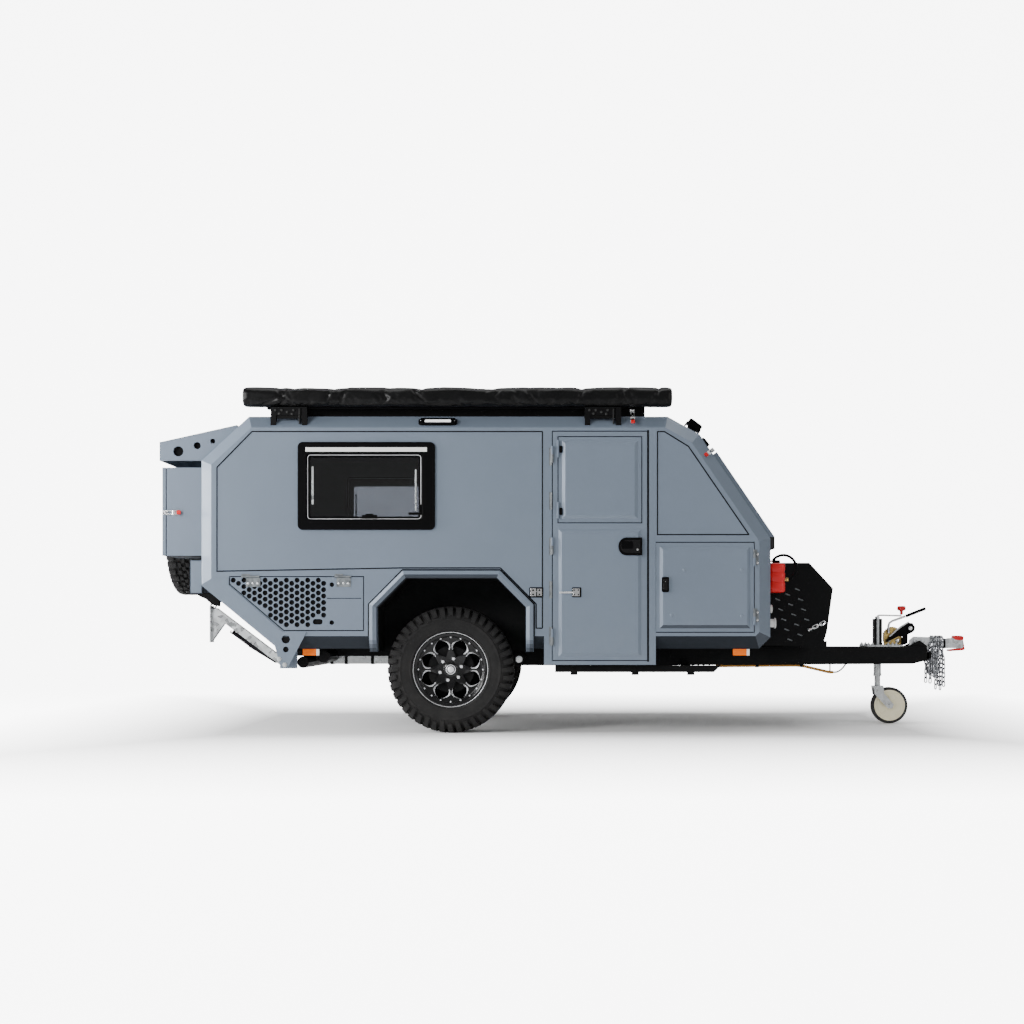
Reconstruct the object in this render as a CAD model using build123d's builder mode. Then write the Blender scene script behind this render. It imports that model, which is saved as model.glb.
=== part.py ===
from build123d import *
import os
from math import cos, hypot, pi, radians, sin, sqrt, tan

os.makedirs("parts", exist_ok=True)

# All sizes are in millimetres. X points to the coupling, Y to the left, Z up; the floor is Z = 0.

# Body shell, seen from the side
body_width = 1950
body_length = 3614
rear_overhang = 1584
sill_height = 534
roof_height = 2008
rear_corner_drop = 280
roof_rear_setback = 302
roof_front_setback = 652
brow_drop = 114
brow_setback = 449
nose_height = 1235
nose_foot = 72
tail_ramp_run = 502
tail_ramp_drop = 42
wall = 30
bevel = 80

# Wheels
tyre_diameter = 803
tyre_width = 265
tyre_inset = 30
tyre_sides = 24
sidewall_radius = 320
shoulder_drop = 46
shoulder_inset = 6
tread_drop = 16
tread_inset = 34
lug_count = 12
lug_length = 84
lug_reach = 118
bead_radius = 216
rim_flange_radius = 238
rim_flange = 12
rim_width = 232
rim_sheet = 9
rim_face_inset = 24
rim_face_depth = 34
petal_count = 8
stud_count = 6
stud_circle = 139.7
stud_radius = 11
hub_cap_radius = 30
hub_cap_height = 20
drum_radius = 152
drum_depth = 84
stub_radius = 28
stub_clearance = 0.4
seat_clearance = 0.3

# Wheel arches
arch_shift = 9
arch_half_low = 470
arch_half_top = 287
arch_shoulder_drop = 185
arch_top_height = 979
flare_width = 49
flare_proud = 25
flare_foot_drop = 19
flare_lip = 10
tub_sheet = 5
tub_depth = 355

# Doors, hatches and lids
door_gap = 6
door_thickness = 40
press_inset = 22
press_height = 12
door_ahead = 648
door_width = 594
door_bottom = 463
door_head = 106
door_frame_width = 55
door_sill_drop = 30
door_sill_sheet = 15
hatch_side_margin = 36
hatch_top_margin = 34
hatch_height = 537
hatch_thickness = 30
handle_drop = 153
handle_inset = 106
handle_width = 150
handle_height = 112
storage_ahead = 1299
storage_width = 616
storage_rise = 107
storage_height = 561
storage_thickness = 30
vent_ahead = -1385
vent_width = 838
vent_rise = 118
vent_arch_rise = 7
vent_toe = 44
vent_slope = 1.172
vent_thickness = 12
vent_hole_radius = 13
vent_hole_pitch = 67
vent_hole_row = 20
vent_hole_margin = 20
vent_hole_span = 600

# Hinges
pin_radius = 4
pin_clearance = 0.4
hinge_rise = 8
barrel_radius = 6.9
knuckle_length = 52
knuckle_gap = 1
leaf_width = 17
leaf_thickness = 3

# Windows
window_ahead = -958
window_width = 865
window_head = 172
window_height = 553
window_corner = 30
window_bezel = 56
window_overlap = 26
bezel_proud = 14
sleeve_sheet = 12
pane_thickness = 5

# Panel seams in the side walls
seam_width = 7
seam_depth = 4
seam_head = 102
seam_rear_inset = 113
seam_corner_drop = 329
seam_corner_inset = 335

# Roof lid, front lid and awning
roof_lid_ahead = -1040
roof_lid_length = 2275
roof_lid_inset = 133
roof_lid_height = 78
roof_lid_lift = 6
lid_sheet = 20
roof_opening_margin = 120
front_lid_start = 150
front_lid_length = 655
front_lid_inset = 125
front_lid_thickness = 30
front_lid_lift = 5
front_lid_lip = 78
front_opening_margin = 90
awning_ahead = -1312
awning_length = 2718
awning_lift = 52
awning_height = 128
awning_depth = 124
awning_overhang = 19
bracket_length = 230
bracket_leg = 34
bracket_thickness = 36
bracket_sheet = 6
bracket_inset = 16

# Chassis and drawbar
rail_depth = 118
rail_rear_depth = 56
rail_width = 62
rail_inset = 525
rail_step_back = 420
rail_rear_back = 1060
knee_ahead = 1420
drawbar_ahead = 3227
drawbar_spread = 48
head_length = 190
cheek_width = 16
cheek_rise = 43
crossmember_width = 50
cross_tube_radius = 38

# Coupling
coupling_reach = 3500
coupling_base_width = 70
coupling_rise = 22
coupling_head_width = 72
coupling_head_height = 66
coupling_head_length = 120
coupling_collar_radius = 36
socket_radius = 17.5
socket_depth = 50
socket_back = 75
release_bar = 13
release_width = 40
release_gap = 9

# Safety chains
chain_pitch = 36
chain_wire = 9
chain_link_width = 34
chain_corner = 10
chain_clearance = 0.3
chain_spread = 62
chain_lug_sheet = 12
chain_lug_height = 68
chain_lug_rim = 18
chain_eye_radius = 9
chain_eye_ahead = 30
chain_eye_height = 54

# Jockey wheel
jockey_ahead = 2900
jockey_tube_radius = 26
jockey_stem_radius = 20
jockey_stem_clearance = 0.5
jockey_top = 728
jockey_tube_bottom = 330
jockey_trail = 80
jockey_diameter = 254
jockey_width = 64
jockey_clamp_sheet = 12
crank_reach = 168
crank_bar = 14
knob_radius = 29
knob_height = 26
knob_stem = 34
fork_crown_drop = 4
fork_sheet = 6
fork_gap = 6
fork_pin_radius = 9
fork_pin_clearance = 0.4

# Handbrake
brake_ahead = 3008
brake_foot = 120
brake_foot_sheet = 14
brake_sheet = 12

# Rear end
spare_standoff = 112
spare_drop = 715
toolbox_width = 410
toolbox_gap = 5
toolbox_head = 323
toolbox_height = 560
toolbox_depth = 223
toolbox_sheet = 6
toolbox_door_thickness = 22
visor_depth = 269
visor_rise = 116
visor_inset = 120
visor_sheet = 8
visor_top_setback = 216
visor_lip = 24
bumper_depth = 76
bumper_drop = 52
bumper_height = 212
bumper_sheet = 4
skirt_drop = 44
lamp_width = 150
lamp_height = 90
lamp_depth = 22
lamp_inset = 215

# Skid plates and stabiliser legs
skid_proud = 6
skid_hole_radius = 26
leg_pivot_ahead = -1046
leg_pivot_drop = 96
leg_length = 560
leg_angle = 37
leg_width = 50
leg_depth = 46
leg_sheet = 5
leg_inset = 26
leg_pin_radius = 10
leg_pin_clearance = 0.4
leg_foot_length = 230
leg_foot_width = 90
leg_foot_sheet = 8
leg_foot_standoff = 14
leg_boss_radius = 23
leg_side_gap = 1
leg_ear_sheet = 10

# Front rack, can and small fittings
rack_reach = 452
rack_inset = 375
rack_rise = 13
rack_height = 545
rack_sheet = 6
slot_length = 36
slot_width = 9
slot_tilt = 20
can_depth = 104
can_width = 240
can_bottom = 893
can_height = 188
can_corner = 16
can_inset = 125
can_cap_radius = 24
marker_width = 104
marker_height = 46
marker_depth = 26
marker_inset = 2
step_ahead = 662
step_length = 1050
step_drop = 107
step_height = 42
step_depth = 44
step_inset = 70
tank_length = 480
tank_height = 110
tank_gap = 4
conduit_radius = 11
bed_thickness = 110
bed_margin = 10

# Places that follow from the sizes above
side = body_width / 2
across = side - bevel
axle_x = (rear_overhang + spare_standoff + tyre_width - coupling_reach) / 2
axle_z = tyre_diameter / 2
rear_x = axle_x - rear_overhang
nose_x = rear_x + body_length
brow_x = nose_x - brow_setback
brow_height = roof_height - brow_drop
roof_rear_x = rear_x + roof_rear_setback
roof_front_x = nose_x - roof_front_setback
rear_high_height = roof_height - rear_corner_drop
rear_low_height = arch_top_height - tail_ramp_drop
right_side = Plane.XZ.offset(side)
silhouette = [
    (rear_x, rear_low_height),
    (rear_x, rear_high_height),
    (roof_rear_x, roof_height),
    (roof_front_x, roof_height),
    (brow_x, brow_height),
    (nose_x, nose_height),
    (nose_x, sill_height + nose_foot),
    (nose_x - nose_foot, sill_height),
    (rear_x + tail_ramp_run, sill_height),
]
to_front = (1, 0, 0)
to_rear = (-1, 0, 0)
to_right = (0, -1, 0)
to_left = (0, 1, 0)
upward = (0, 0, 1)
downward = (0, 0, -1)


rail_spread = side - rail_inset
rail_bottom = sill_height - rail_depth
knee_x = axle_x + knee_ahead
drawbar_x = axle_x + drawbar_ahead
rail_rear_x = axle_x - rail_rear_back
rail_step_x = axle_x - rail_step_back
crossmembers = [rail_step_x + 40, axle_x + 560, knee_x, axle_x + 2080]


def rail_line(x):
    """Half the distance between the two rails' centre lines at a place along the trailer."""
    if x <= knee_x:
        return rail_spread
    return rail_spread - (x - knee_x) / (drawbar_x - knee_x) * (rail_spread - drawbar_spread)


def inset(points, distance):
    """Move every edge of a clockwise outline inwards and return the new corners."""
    lines = []
    for (x0, z0), (x1, z1) in zip(points, points[1:] + points[:1]):
        length = hypot(x1 - x0, z1 - z0)
        shift_x = distance * (z1 - z0) / length
        shift_z = -distance * (x1 - x0) / length
        lines.append((x0 + shift_x, z0 + shift_z, x1 - x0, z1 - z0))
    corners = []
    for (ax, az, adx, adz), (bx, bz, bdx, bdz) in zip(lines[-1:] + lines[:-1], lines):
        along = ((bx - ax) * bdz - (bz - az) * bdx) / (adx * bdz - adz * bdx)
        corners.append((ax + adx * along, az + adz * along))
    return corners


def outline(plane, points):
    """A flat face with the given corners on the given plane."""
    with BuildSketch(plane) as drawn:
        with BuildLine():
            Polyline(*points, close=True)
        make_face()
    return drawn.sketch


def box_points(x0, x1, z0, z1):
    """The corners of an upright rectangle, clockwise from its low left corner."""
    return [(x0, z0), (x0, z1), (x1, z1), (x1, z0)]


def soft_box(x0, x1, z0, z1, corner):
    """A rectangle with each corner turned in two short edges, clockwise."""
    near = corner * (1 - cos(pi / 4))
    points = [(x0 + corner, z0), (x0 + near, z0 + near), (x0, z0 + corner)]
    points += [(x0, z1 - corner), (x0 + near, z1 - near), (x0 + corner, z1)]
    points += [(x1 - corner, z1), (x1 - near, z1 - near), (x1, z1 - corner)]
    points += [(x1, z0 + corner), (x1 - near, z0 + near), (x1 - corner, z0)]
    return points


def turned(profile, sides):
    """A many-sided solid round the Z axis; the profile lists radius and height from bottom to top."""
    with BuildPart() as solid:
        for (low_radius, low), (high_radius, high) in zip(profile, profile[1:]):
            if high == low:
                continue
            with BuildSketch(Plane.XY.offset(low)) as bottom:
                RegularPolygon(low_radius, sides)
            with BuildSketch(Plane.XY.offset(high)) as top:
                RegularPolygon(high_radius, sides)
            loft([bottom.sketch, top.sketch], ruled=True)
    return solid.part


def save(piece, name):
    """Label a finished piece and write it."""
    piece.part.label = name
    export_step(piece.part, f"parts/{name}.step")


def hinge_half(origin, along, normal, spots, fixed):
    """Leaves and barrels of one half of a lift-off hinge; the fixed half also carries the pins."""
    frame = Plane(origin=origin, x_dir=along, z_dir=Vector(*along).cross(Vector(*normal)))
    with BuildPart() as half:
        for spot in spots:
            low = spot - knuckle_gap / 2 - knuckle_length
            with BuildSketch(frame.offset(low)):
                RegularPolygon(barrel_radius, 6, major_radius=False)
                with Locations((leaf_width / 2, leaf_thickness / 2 - hinge_rise)):
                    Rectangle(leaf_width, leaf_thickness)
                if not fixed:
                    RegularPolygon(pin_radius + pin_clearance, 6, major_radius=False, mode=Mode.SUBTRACT)
            extrude(amount=knuckle_length)
            if fixed:
                with BuildSketch(frame.offset(low + knuckle_length)):
                    if spot == spots[0]:
                        Circle(pin_radius)
                    else:
                        RegularPolygon(pin_radius, 6)
                extrude(amount=knuckle_gap + knuckle_length)
    return half.part


def flipped(vector):
    """The opposite direction."""
    return tuple(-value for value in vector)


# Side walls: a flat panel with a bevelled rim, one tray on each side
with BuildPart() as tray:
    loft([outline(Plane.XZ.offset(across), silhouette), outline(right_side, inset(silhouette, bevel))], ruled=True)
    loft(
        [
            outline(Plane.XZ.offset(across), inset(silhouette, wall)),
            outline(Plane.XZ.offset(side - wall), inset(silhouette, bevel)),
        ],
        ruled=True,
        mode=Mode.SUBTRACT,
    )

arch_x = axle_x + arch_shift
arch_inner = [
    (arch_x - arch_half_low, 0),
    (arch_x - arch_half_low, arch_top_height - arch_shoulder_drop),
    (arch_x - arch_half_top, arch_top_height),
    (arch_x + arch_half_top, arch_top_height),
    (arch_x + arch_half_low, arch_top_height - arch_shoulder_drop),
    (arch_x + arch_half_low, 0),
]
arch_cut = inset(arch_inner, -flare_lip)
arch_outer = inset(arch_inner, -flare_width)

window_x = axle_x + window_ahead
window_top = roof_height - window_head
window_bottom = window_top - window_height
window_end = window_x + window_width


def window_shape(margin):
    """The window's outline, drawn in from its outer edge by a margin."""
    corner = max(window_corner - margin / 2, 8)
    return soft_box(window_x + margin, window_end - margin, window_bottom + margin, window_top - margin, corner)


vent_x = axle_x + vent_ahead
vent_bottom = sill_height + vent_rise
vent_top = arch_top_height + vent_arch_rise
vent_slope_rise = vent_top - vent_bottom - vent_toe
vent_slope_run = vent_slope_rise * vent_slope
vent_end = vent_x + vent_width
vent_outline = [
    (vent_x, vent_top),
    (vent_end, vent_top),
    (vent_end, vent_bottom),
    (vent_x + vent_slope_run, vent_bottom),
    (vent_x, vent_bottom + vent_slope_rise),
]
vent_cut = inset(vent_outline, -door_gap)

storage_x = axle_x + storage_ahead
storage_end = storage_x + storage_width
storage_bottom = sill_height + storage_rise
storage_outline = box_points(storage_x, storage_end, storage_bottom, storage_bottom + storage_height)
storage_cut = inset(storage_outline, -door_gap)

door_x = axle_x + door_ahead
door_end = door_x + door_width
door_top = roof_height - door_head
door_height = door_top - door_bottom
door_outline = box_points(door_x, door_end, door_bottom, door_top)
door_cut = inset(door_outline, -door_gap)
frame_x = door_x - door_frame_width
frame_end = door_end + door_frame_width
frame_bottom = door_bottom - door_sill_drop

seam_top = roof_height - seam_head
seam_gap = 12
seam_rear = [
    (rear_x + seam_rear_inset, arch_top_height + 40),
    (rear_x + seam_rear_inset, roof_height - seam_corner_drop),
    (rear_x + seam_corner_inset, seam_top),
    (frame_x - seam_width, seam_top),
    (frame_x - seam_width, storage_bottom + 19),
    (arch_outer[4][0] + seam_gap, storage_bottom + 19),
    (arch_outer[4][0] + seam_gap, arch_outer[4][1]),
    (arch_outer[3][0], arch_outer[3][1] + seam_gap),
    (arch_outer[2][0], arch_outer[2][1] + seam_gap),
]
seam_front = [
    (frame_end + seam_width, nose_height + 15),
    (frame_end + seam_width, seam_top),
    (brow_x - 229, seam_top),
    (brow_x - 76, seam_top - 94),
    (nose_x - 140, nose_height + 15),
]

with BuildPart() as side_rear_cuts:
    extrude(outline(Plane.XZ.offset(across - 1), arch_cut), amount=bevel + 2)
    extrude(outline(Plane.XZ.offset(across), window_shape(window_overlap)), amount=bevel + 1)
    extrude(outline(Plane.XZ.offset(across), vent_cut), amount=bevel + 1)

with BuildPart() as side_rear_right:
    add(tray.part)
    split(bisect_by=Plane.YZ.offset(frame_x), keep=Keep.BOTTOM)
    add(side_rear_cuts.part, mode=Mode.SUBTRACT)
    extrude(outline(right_side, seam_rear), amount=-seam_depth, mode=Mode.SUBTRACT)
    extrude(outline(right_side, inset(seam_rear, seam_width)), amount=-seam_depth)
    add(side_rear_cuts.part, mode=Mode.SUBTRACT)
save(side_rear_right, "side_rear_right")

with BuildPart() as side_front_right:
    add(tray.part)
    split(bisect_by=Plane.YZ.offset(frame_end), keep=Keep.TOP)
    extrude(outline(Plane.XZ.offset(across), storage_cut), amount=bevel + 1, mode=Mode.SUBTRACT)
    extrude(outline(right_side, seam_front), amount=-seam_depth, mode=Mode.SUBTRACT)
    extrude(outline(right_side, inset(seam_front, seam_width)), amount=-seam_depth)
save(side_front_right, "side_front_right")

with BuildPart() as door_frame:
    add(tray.part)
    split(bisect_by=Plane.YZ.offset(frame_x), keep=Keep.TOP)
    split(bisect_by=Plane.YZ.offset(frame_end), keep=Keep.BOTTOM)
    extrude(outline(right_side, box_points(frame_x, frame_end, frame_bottom, sill_height + bevel)), amount=-wall)
    extrude(outline(Plane.XZ.offset(across), door_cut), amount=bevel + 1, mode=Mode.SUBTRACT)
    extrude(
        outline(right_side, box_points(frame_x, frame_end, frame_bottom, frame_bottom + door_sill_sheet)),
        amount=-bevel,
    )
    extrude(
        outline(Plane.XZ.offset(across), box_points(frame_x, frame_end, frame_bottom, sill_height + wall)),
        amount=door_sill_sheet,
    )
save(door_frame, "door_frame")

with BuildPart() as side_wall_left:
    mirror(tray.part, about=Plane.XZ)
    mirror(side_rear_cuts.part, about=Plane.XZ, mode=Mode.SUBTRACT)
    extrude(outline(Plane.XZ.offset(-side - 1), storage_cut), amount=bevel + 1, mode=Mode.SUBTRACT)
save(side_wall_left, "side_wall_left")

# Panels that run across between the side walls, one strip for each run of the silhouette
inner = inset(silhouette, wall)


def strip(first, last):
    """The outline of a wall that follows the silhouette from one corner to another."""
    corners = [index % len(silhouette) for index in range(first, last + 1)]
    return [silhouette[index] for index in corners] + [inner[index] for index in reversed(corners)]


slope_length = hypot(nose_x - brow_x, brow_height - nose_height)
slope_x = (nose_x - brow_x) / slope_length
slope_z = (nose_height - brow_height) / slope_length
slope_plane = Plane(origin=(brow_x, 0, brow_height), x_dir=(0, 1, 0), z_dir=(-slope_z, 0, slope_x))
roof_lid_x = axle_x + roof_lid_ahead
tub_outer = inset(arch_inner, -tub_sheet)
tub_wall = side - tub_depth
flare_foot = sill_height - flare_foot_drop
roof_lid_half = side - roof_lid_inset
front_lid_half = side - front_lid_inset

with BuildPart() as rear_wall:
    extrude(outline(Plane.XZ, strip(0, 1)), amount=across, both=True)
save(rear_wall, "rear_wall")

with BuildPart() as roof_panel:
    extrude(outline(Plane.XZ, strip(1, 4)), amount=across, both=True)
    with BuildSketch(Plane.XY.offset(roof_height)):
        with Locations((roof_lid_x + roof_lid_length / 2, 0)):
            Rectangle(roof_lid_length - 2 * roof_opening_margin, 2 * (roof_lid_half - roof_opening_margin))
    extrude(amount=-wall, mode=Mode.SUBTRACT)
save(roof_panel, "roof_panel")

with BuildPart() as front_slope:
    extrude(outline(Plane.XZ, strip(4, 5)), amount=across, both=True)
    with BuildSketch(slope_plane):
        with Locations((0, -(front_lid_start + front_lid_length / 2))):
            Rectangle(2 * (front_lid_half - front_opening_margin), front_lid_length - 2 * front_opening_margin)
    extrude(amount=wall * 2, both=True, mode=Mode.SUBTRACT)
save(front_slope, "front_slope")

with BuildPart() as front_wall:
    extrude(outline(Plane.XZ, strip(5, 7)), amount=across, both=True)
save(front_wall, "front_wall")

with BuildPart() as floor_pan:
    extrude(outline(Plane.XZ, strip(7, 9)), amount=across, both=True)
    for sign in (-1, 1):
        with BuildSketch(Plane.XY.offset(sill_height)):
            with Locations((arch_x, sign * (tub_wall - tub_sheet + across) / 2)):
                Rectangle(2 * (arch_half_low + tub_sheet), across - tub_wall + tub_sheet)
        extrude(amount=wall, mode=Mode.SUBTRACT)
save(floor_pan, "floor_pan")

# Wheel tubs and arch flares
with BuildPart() as tub:
    extrude(outline(Plane.XZ.offset(tub_wall - tub_sheet), tub_outer), amount=across - tub_wall + tub_sheet)
    extrude(outline(Plane.XZ.offset(tub_wall), arch_inner), amount=across, mode=Mode.SUBTRACT)
    split(bisect_by=Plane.XY.offset(flare_foot), keep=Keep.TOP)

with BuildPart() as wheel_tubs:
    add(tub.part)
    mirror(tub.part, about=Plane.XZ)
save(wheel_tubs, "wheel_tubs")

with BuildPart() as flare:
    extrude(outline(right_side, arch_outer), amount=flare_proud, taper=30)
    extrude(outline(Plane.XZ.offset(across), arch_cut), amount=bevel)
    extrude(outline(Plane.XZ.offset(across), arch_inner), amount=bevel + flare_proud, mode=Mode.SUBTRACT)
    split(bisect_by=Plane.XY.offset(flare_foot), keep=Keep.TOP)

with BuildPart() as arch_flares:
    add(flare.part)
    mirror(flare.part, about=Plane.XZ)
save(arch_flares, "arch_flares")

# Windows: a bezel with a sleeve through the wall, and a pane seated behind the bezel
sleeve_outer = window_overlap + seat_clearance
sleeve_inner = window_overlap + sleeve_sheet
with BuildPart() as bezel:
    extrude(outline(right_side, window_shape(0)), amount=bezel_proud)
    extrude(outline(right_side, window_shape(sleeve_outer)), amount=-wall)
    extrude(outline(right_side, window_shape(sleeve_inner)), amount=-wall, mode=Mode.SUBTRACT)
    extrude(outline(right_side, window_shape(window_bezel)), amount=bezel_proud, mode=Mode.SUBTRACT)

with BuildPart() as window_frames:
    add(bezel.part)
    mirror(bezel.part, about=Plane.XZ)
save(window_frames, "window_frames")

with BuildPart() as pane:
    extrude(outline(right_side, window_shape(sleeve_inner + seat_clearance)), amount=-pane_thickness)

with BuildPart() as window_panes:
    add(pane.part)
    mirror(pane.part, about=Plane.XZ)
save(window_panes, "window_panes")

# Hinge lines: an origin on the axis and the places of the hinges along it
hinge_y = -side - hinge_rise
door_axis = (door_x - door_gap / 2, hinge_y, door_bottom + door_height / 2)
door_spots = [door_height * share for share in (-0.4, 0, 0.4)]
hatch_x = door_x + hatch_side_margin
hatch_end = door_end - hatch_side_margin
hatch_top = door_top - hatch_top_margin
hatch_bottom = hatch_top - hatch_height
hatch_outline = box_points(hatch_x, hatch_end, hatch_bottom, hatch_top)
hatch_axis = (hatch_x - door_gap / 2, hinge_y, hatch_top - hatch_height / 2)
hatch_spots = [hatch_height * share for share in (-0.36, 0.36)]
storage_axis = (storage_end + door_gap / 2, hinge_y, storage_bottom + storage_height / 2)
storage_spots = [storage_height * share for share in (-0.33, 0.33)]
vent_axis = (vent_x + vent_width / 2, hinge_y, vent_top + door_gap / 2)
vent_spots = [vent_width * share for share in (-0.35, 0.35)]

# Entry door with its own hatch
with BuildPart() as entry_door:
    extrude(outline(right_side, door_outline), amount=-door_thickness)
    lower_press = box_points(hatch_x, hatch_end, door_bottom + press_inset, hatch_bottom - 2 * press_inset)
    extrude(outline(right_side, lower_press), amount=press_height, taper=60)
    extrude(outline(right_side, inset(hatch_outline, -door_gap)), amount=-door_thickness, mode=Mode.SUBTRACT)
    add(hinge_half(door_axis, to_front, to_right, door_spots, False))
    add(hinge_half(hatch_axis, to_rear, to_right, hatch_spots, True))
save(entry_door, "entry_door")

with BuildPart() as door_hatch:
    extrude(outline(right_side, hatch_outline), amount=-hatch_thickness)
    extrude(outline(right_side, inset(hatch_outline, press_inset)), amount=press_height, taper=60)
    add(hinge_half(hatch_axis, to_front, to_right, hatch_spots, False))
save(door_hatch, "door_hatch")

with BuildPart() as door_handle:
    handle_plane = Plane.XZ.offset(side + press_height)
    handle_x = door_end - handle_inset
    handle_z = hatch_bottom - handle_drop
    half_handle = handle_height / 2
    plate = [
        (handle_x - handle_width / 2, handle_z - half_handle / 2),
        (handle_x - handle_width / 2, handle_z + half_handle / 2),
        (handle_x - handle_width / 4, handle_z + half_handle),
        (handle_x + handle_width / 2, handle_z + half_handle),
        (handle_x + handle_width / 2, handle_z - half_handle),
        (handle_x - handle_width / 4, handle_z - half_handle),
    ]
    extrude(outline(handle_plane, plate), amount=6)
    paddle = soft_box(handle_x - 20, handle_x + handle_width / 2 - 8, handle_z - 34, handle_z + 34, 10)
    extrude(outline(handle_plane, paddle), amount=13)
save(door_handle, "door_handle")

# Storage doors at the front and vent hatches at the rear, the same on both sides
with BuildPart() as storage_door_right:
    extrude(outline(right_side, storage_outline), amount=-storage_thickness)
    extrude(outline(right_side, inset(storage_outline, press_inset)), amount=press_height, taper=60)
    add(hinge_half(storage_axis, to_rear, to_right, storage_spots, False))
    latch_z = storage_bottom + storage_height / 2 + 19
    latch = soft_box(storage_x + 41, storage_x + 87, latch_z - 48, latch_z + 48, 8)
    extrude(outline(Plane.XZ.offset(side + press_height), latch), amount=9)
save(storage_door_right, "storage_door_right")

with BuildPart() as storage_door_left:
    mirror(storage_door_right.part, about=Plane.XZ)
save(storage_door_left, "storage_door_left")

with BuildPart() as vent_hatch_right:
    with BuildSketch(right_side):
        add(outline(right_side, vent_outline))
        rows = int((vent_top - vent_bottom - 2 * vent_hole_margin) / vent_hole_row) + 1
        for row in range(rows):
            hole_z = vent_top - vent_hole_margin - row * vent_hole_row
            ramp_x = vent_x + max(0, vent_bottom + vent_slope_rise - hole_z) * vent_slope
            for column in range(int(vent_hole_span / vent_hole_pitch) + 1):
                hole_x = vent_x + vent_hole_margin + (column + row % 2 / 2) * vent_hole_pitch
                in_ramp = hole_x < ramp_x + vent_hole_margin * 1.3
                past_span = hole_x > vent_x + vent_hole_span
                near_grip = hole_x > vent_x + vent_hole_span - 110 and hole_z < vent_bottom + 92
                if in_ramp or past_span or near_grip:
                    continue
                with Locations((hole_x, hole_z)):
                    RegularPolygon(vent_hole_radius, 4, mode=Mode.SUBTRACT)
        with Locations((vent_x + vent_hole_span - 48, vent_bottom + 52)):
            Rectangle(62, 34, mode=Mode.SUBTRACT)
    extrude(amount=-vent_thickness)
    add(hinge_half(vent_axis, downward, to_right, vent_spots, False))
save(vent_hatch_right, "vent_hatch_right")

with BuildPart() as vent_hatch_left:
    mirror(vent_hatch_right.part, about=Plane.XZ)
save(vent_hatch_left, "vent_hatch_left")

# Roof lid, hinged at its rear edge
roof_lid_end = roof_lid_x + roof_lid_length
roof_lid_axis = (roof_lid_x - hinge_rise, 0, roof_height + hinge_rise)
roof_lid_spots = [roof_lid_half * share for share in (-0.7, 0.7)]
with BuildPart() as roof_lid:
    lid_bottom = Plane.XY.offset(roof_height + roof_lid_lift)
    with BuildSketch(lid_bottom):
        with Locations((roof_lid_x + roof_lid_length / 2, 0)):
            Rectangle(roof_lid_length, 2 * roof_lid_half)
    extrude(amount=roof_lid_height)
    with BuildSketch(lid_bottom):
        with Locations((roof_lid_x + roof_lid_length / 2, 0)):
            Rectangle(roof_lid_length - 2 * lid_sheet, 2 * (roof_lid_half - lid_sheet))
    extrude(amount=roof_lid_height - lid_sheet, mode=Mode.SUBTRACT)
    add(hinge_half(roof_lid_axis, upward, to_rear, roof_lid_spots, False))
save(roof_lid, "roof_lid")

# Front lid, a plate over the sloping front with a lip at its foot, hinged at its upper edge
slope_down = (slope_x, 0, slope_z)
slope_out = (-slope_z, 0, slope_x)


def on_slope(down, out):
    """The side-view point a given way down the front slope and out from it."""
    return (brow_x + slope_x * down - slope_z * out, brow_height + slope_z * down + slope_x * out)


front_lid_end = front_lid_start + front_lid_length
lip_top = on_slope(front_lid_end, front_lid_lift + front_lid_thickness)
lip_back = on_slope(front_lid_end, front_lid_lift)
front_lid_profile = [
    on_slope(front_lid_start, front_lid_lift),
    on_slope(front_lid_start, front_lid_lift + front_lid_thickness),
    lip_top,
    (lip_top[0], lip_top[1] - front_lid_lip),
    (lip_back[0], lip_top[1] - front_lid_lip),
    lip_back,
]
axis_x, axis_z = on_slope(front_lid_start - hinge_rise, hinge_rise)
front_lid_axis = (axis_x, 0, axis_z)
front_lid_spots = [front_lid_half * share for share in (-0.66, 0.66)]
with BuildPart() as front_lid:
    extrude(outline(Plane.XZ, front_lid_profile), amount=front_lid_half, both=True)
    add(hinge_half(front_lid_axis, slope_out, flipped(slope_down), front_lid_spots, False))
save(front_lid, "front_lid")

# Toolboxes on the rear wall
toolbox_outer = across - toolbox_gap
toolbox_inner = toolbox_outer - toolbox_width
toolbox_top = roof_height - toolbox_head
toolbox_bottom = toolbox_top - toolbox_height
toolbox_rear = rear_x - toolbox_depth
toolbox_axis = (toolbox_rear - door_gap / 2, -toolbox_inner + hinge_rise, toolbox_bottom + toolbox_height / 2)
toolbox_spots = [0]
toolbox_face = [
    (-toolbox_inner, toolbox_bottom),
    (-toolbox_inner, toolbox_top),
    (-toolbox_outer, toolbox_top),
    (-toolbox_outer, toolbox_bottom),
]
rear_plane = Plane(origin=(rear_x, 0, 0), x_dir=(0, 1, 0), z_dir=(1, 0, 0))
with BuildPart() as toolbox:
    extrude(outline(rear_plane, toolbox_face), amount=-toolbox_depth)
    extrude(
        outline(rear_plane.offset(-toolbox_sheet), inset(toolbox_face, -toolbox_sheet)),
        amount=-toolbox_depth,
        mode=Mode.SUBTRACT,
    )

with BuildPart() as toolboxes:
    add(toolbox.part)
    mirror(toolbox.part, about=Plane.XZ)
save(toolboxes, "toolboxes")

with BuildPart() as toolbox_door_right:
    extrude(outline(rear_plane.offset(-toolbox_depth - door_gap), toolbox_face), amount=-toolbox_door_thickness)
    add(hinge_half(toolbox_axis, to_rear, to_left, toolbox_spots, False))
save(toolbox_door_right, "toolbox_door_right")

with BuildPart() as toolbox_door_left:
    mirror(toolbox_door_right.part, about=Plane.XZ)
save(toolbox_door_left, "toolbox_door_left")

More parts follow.
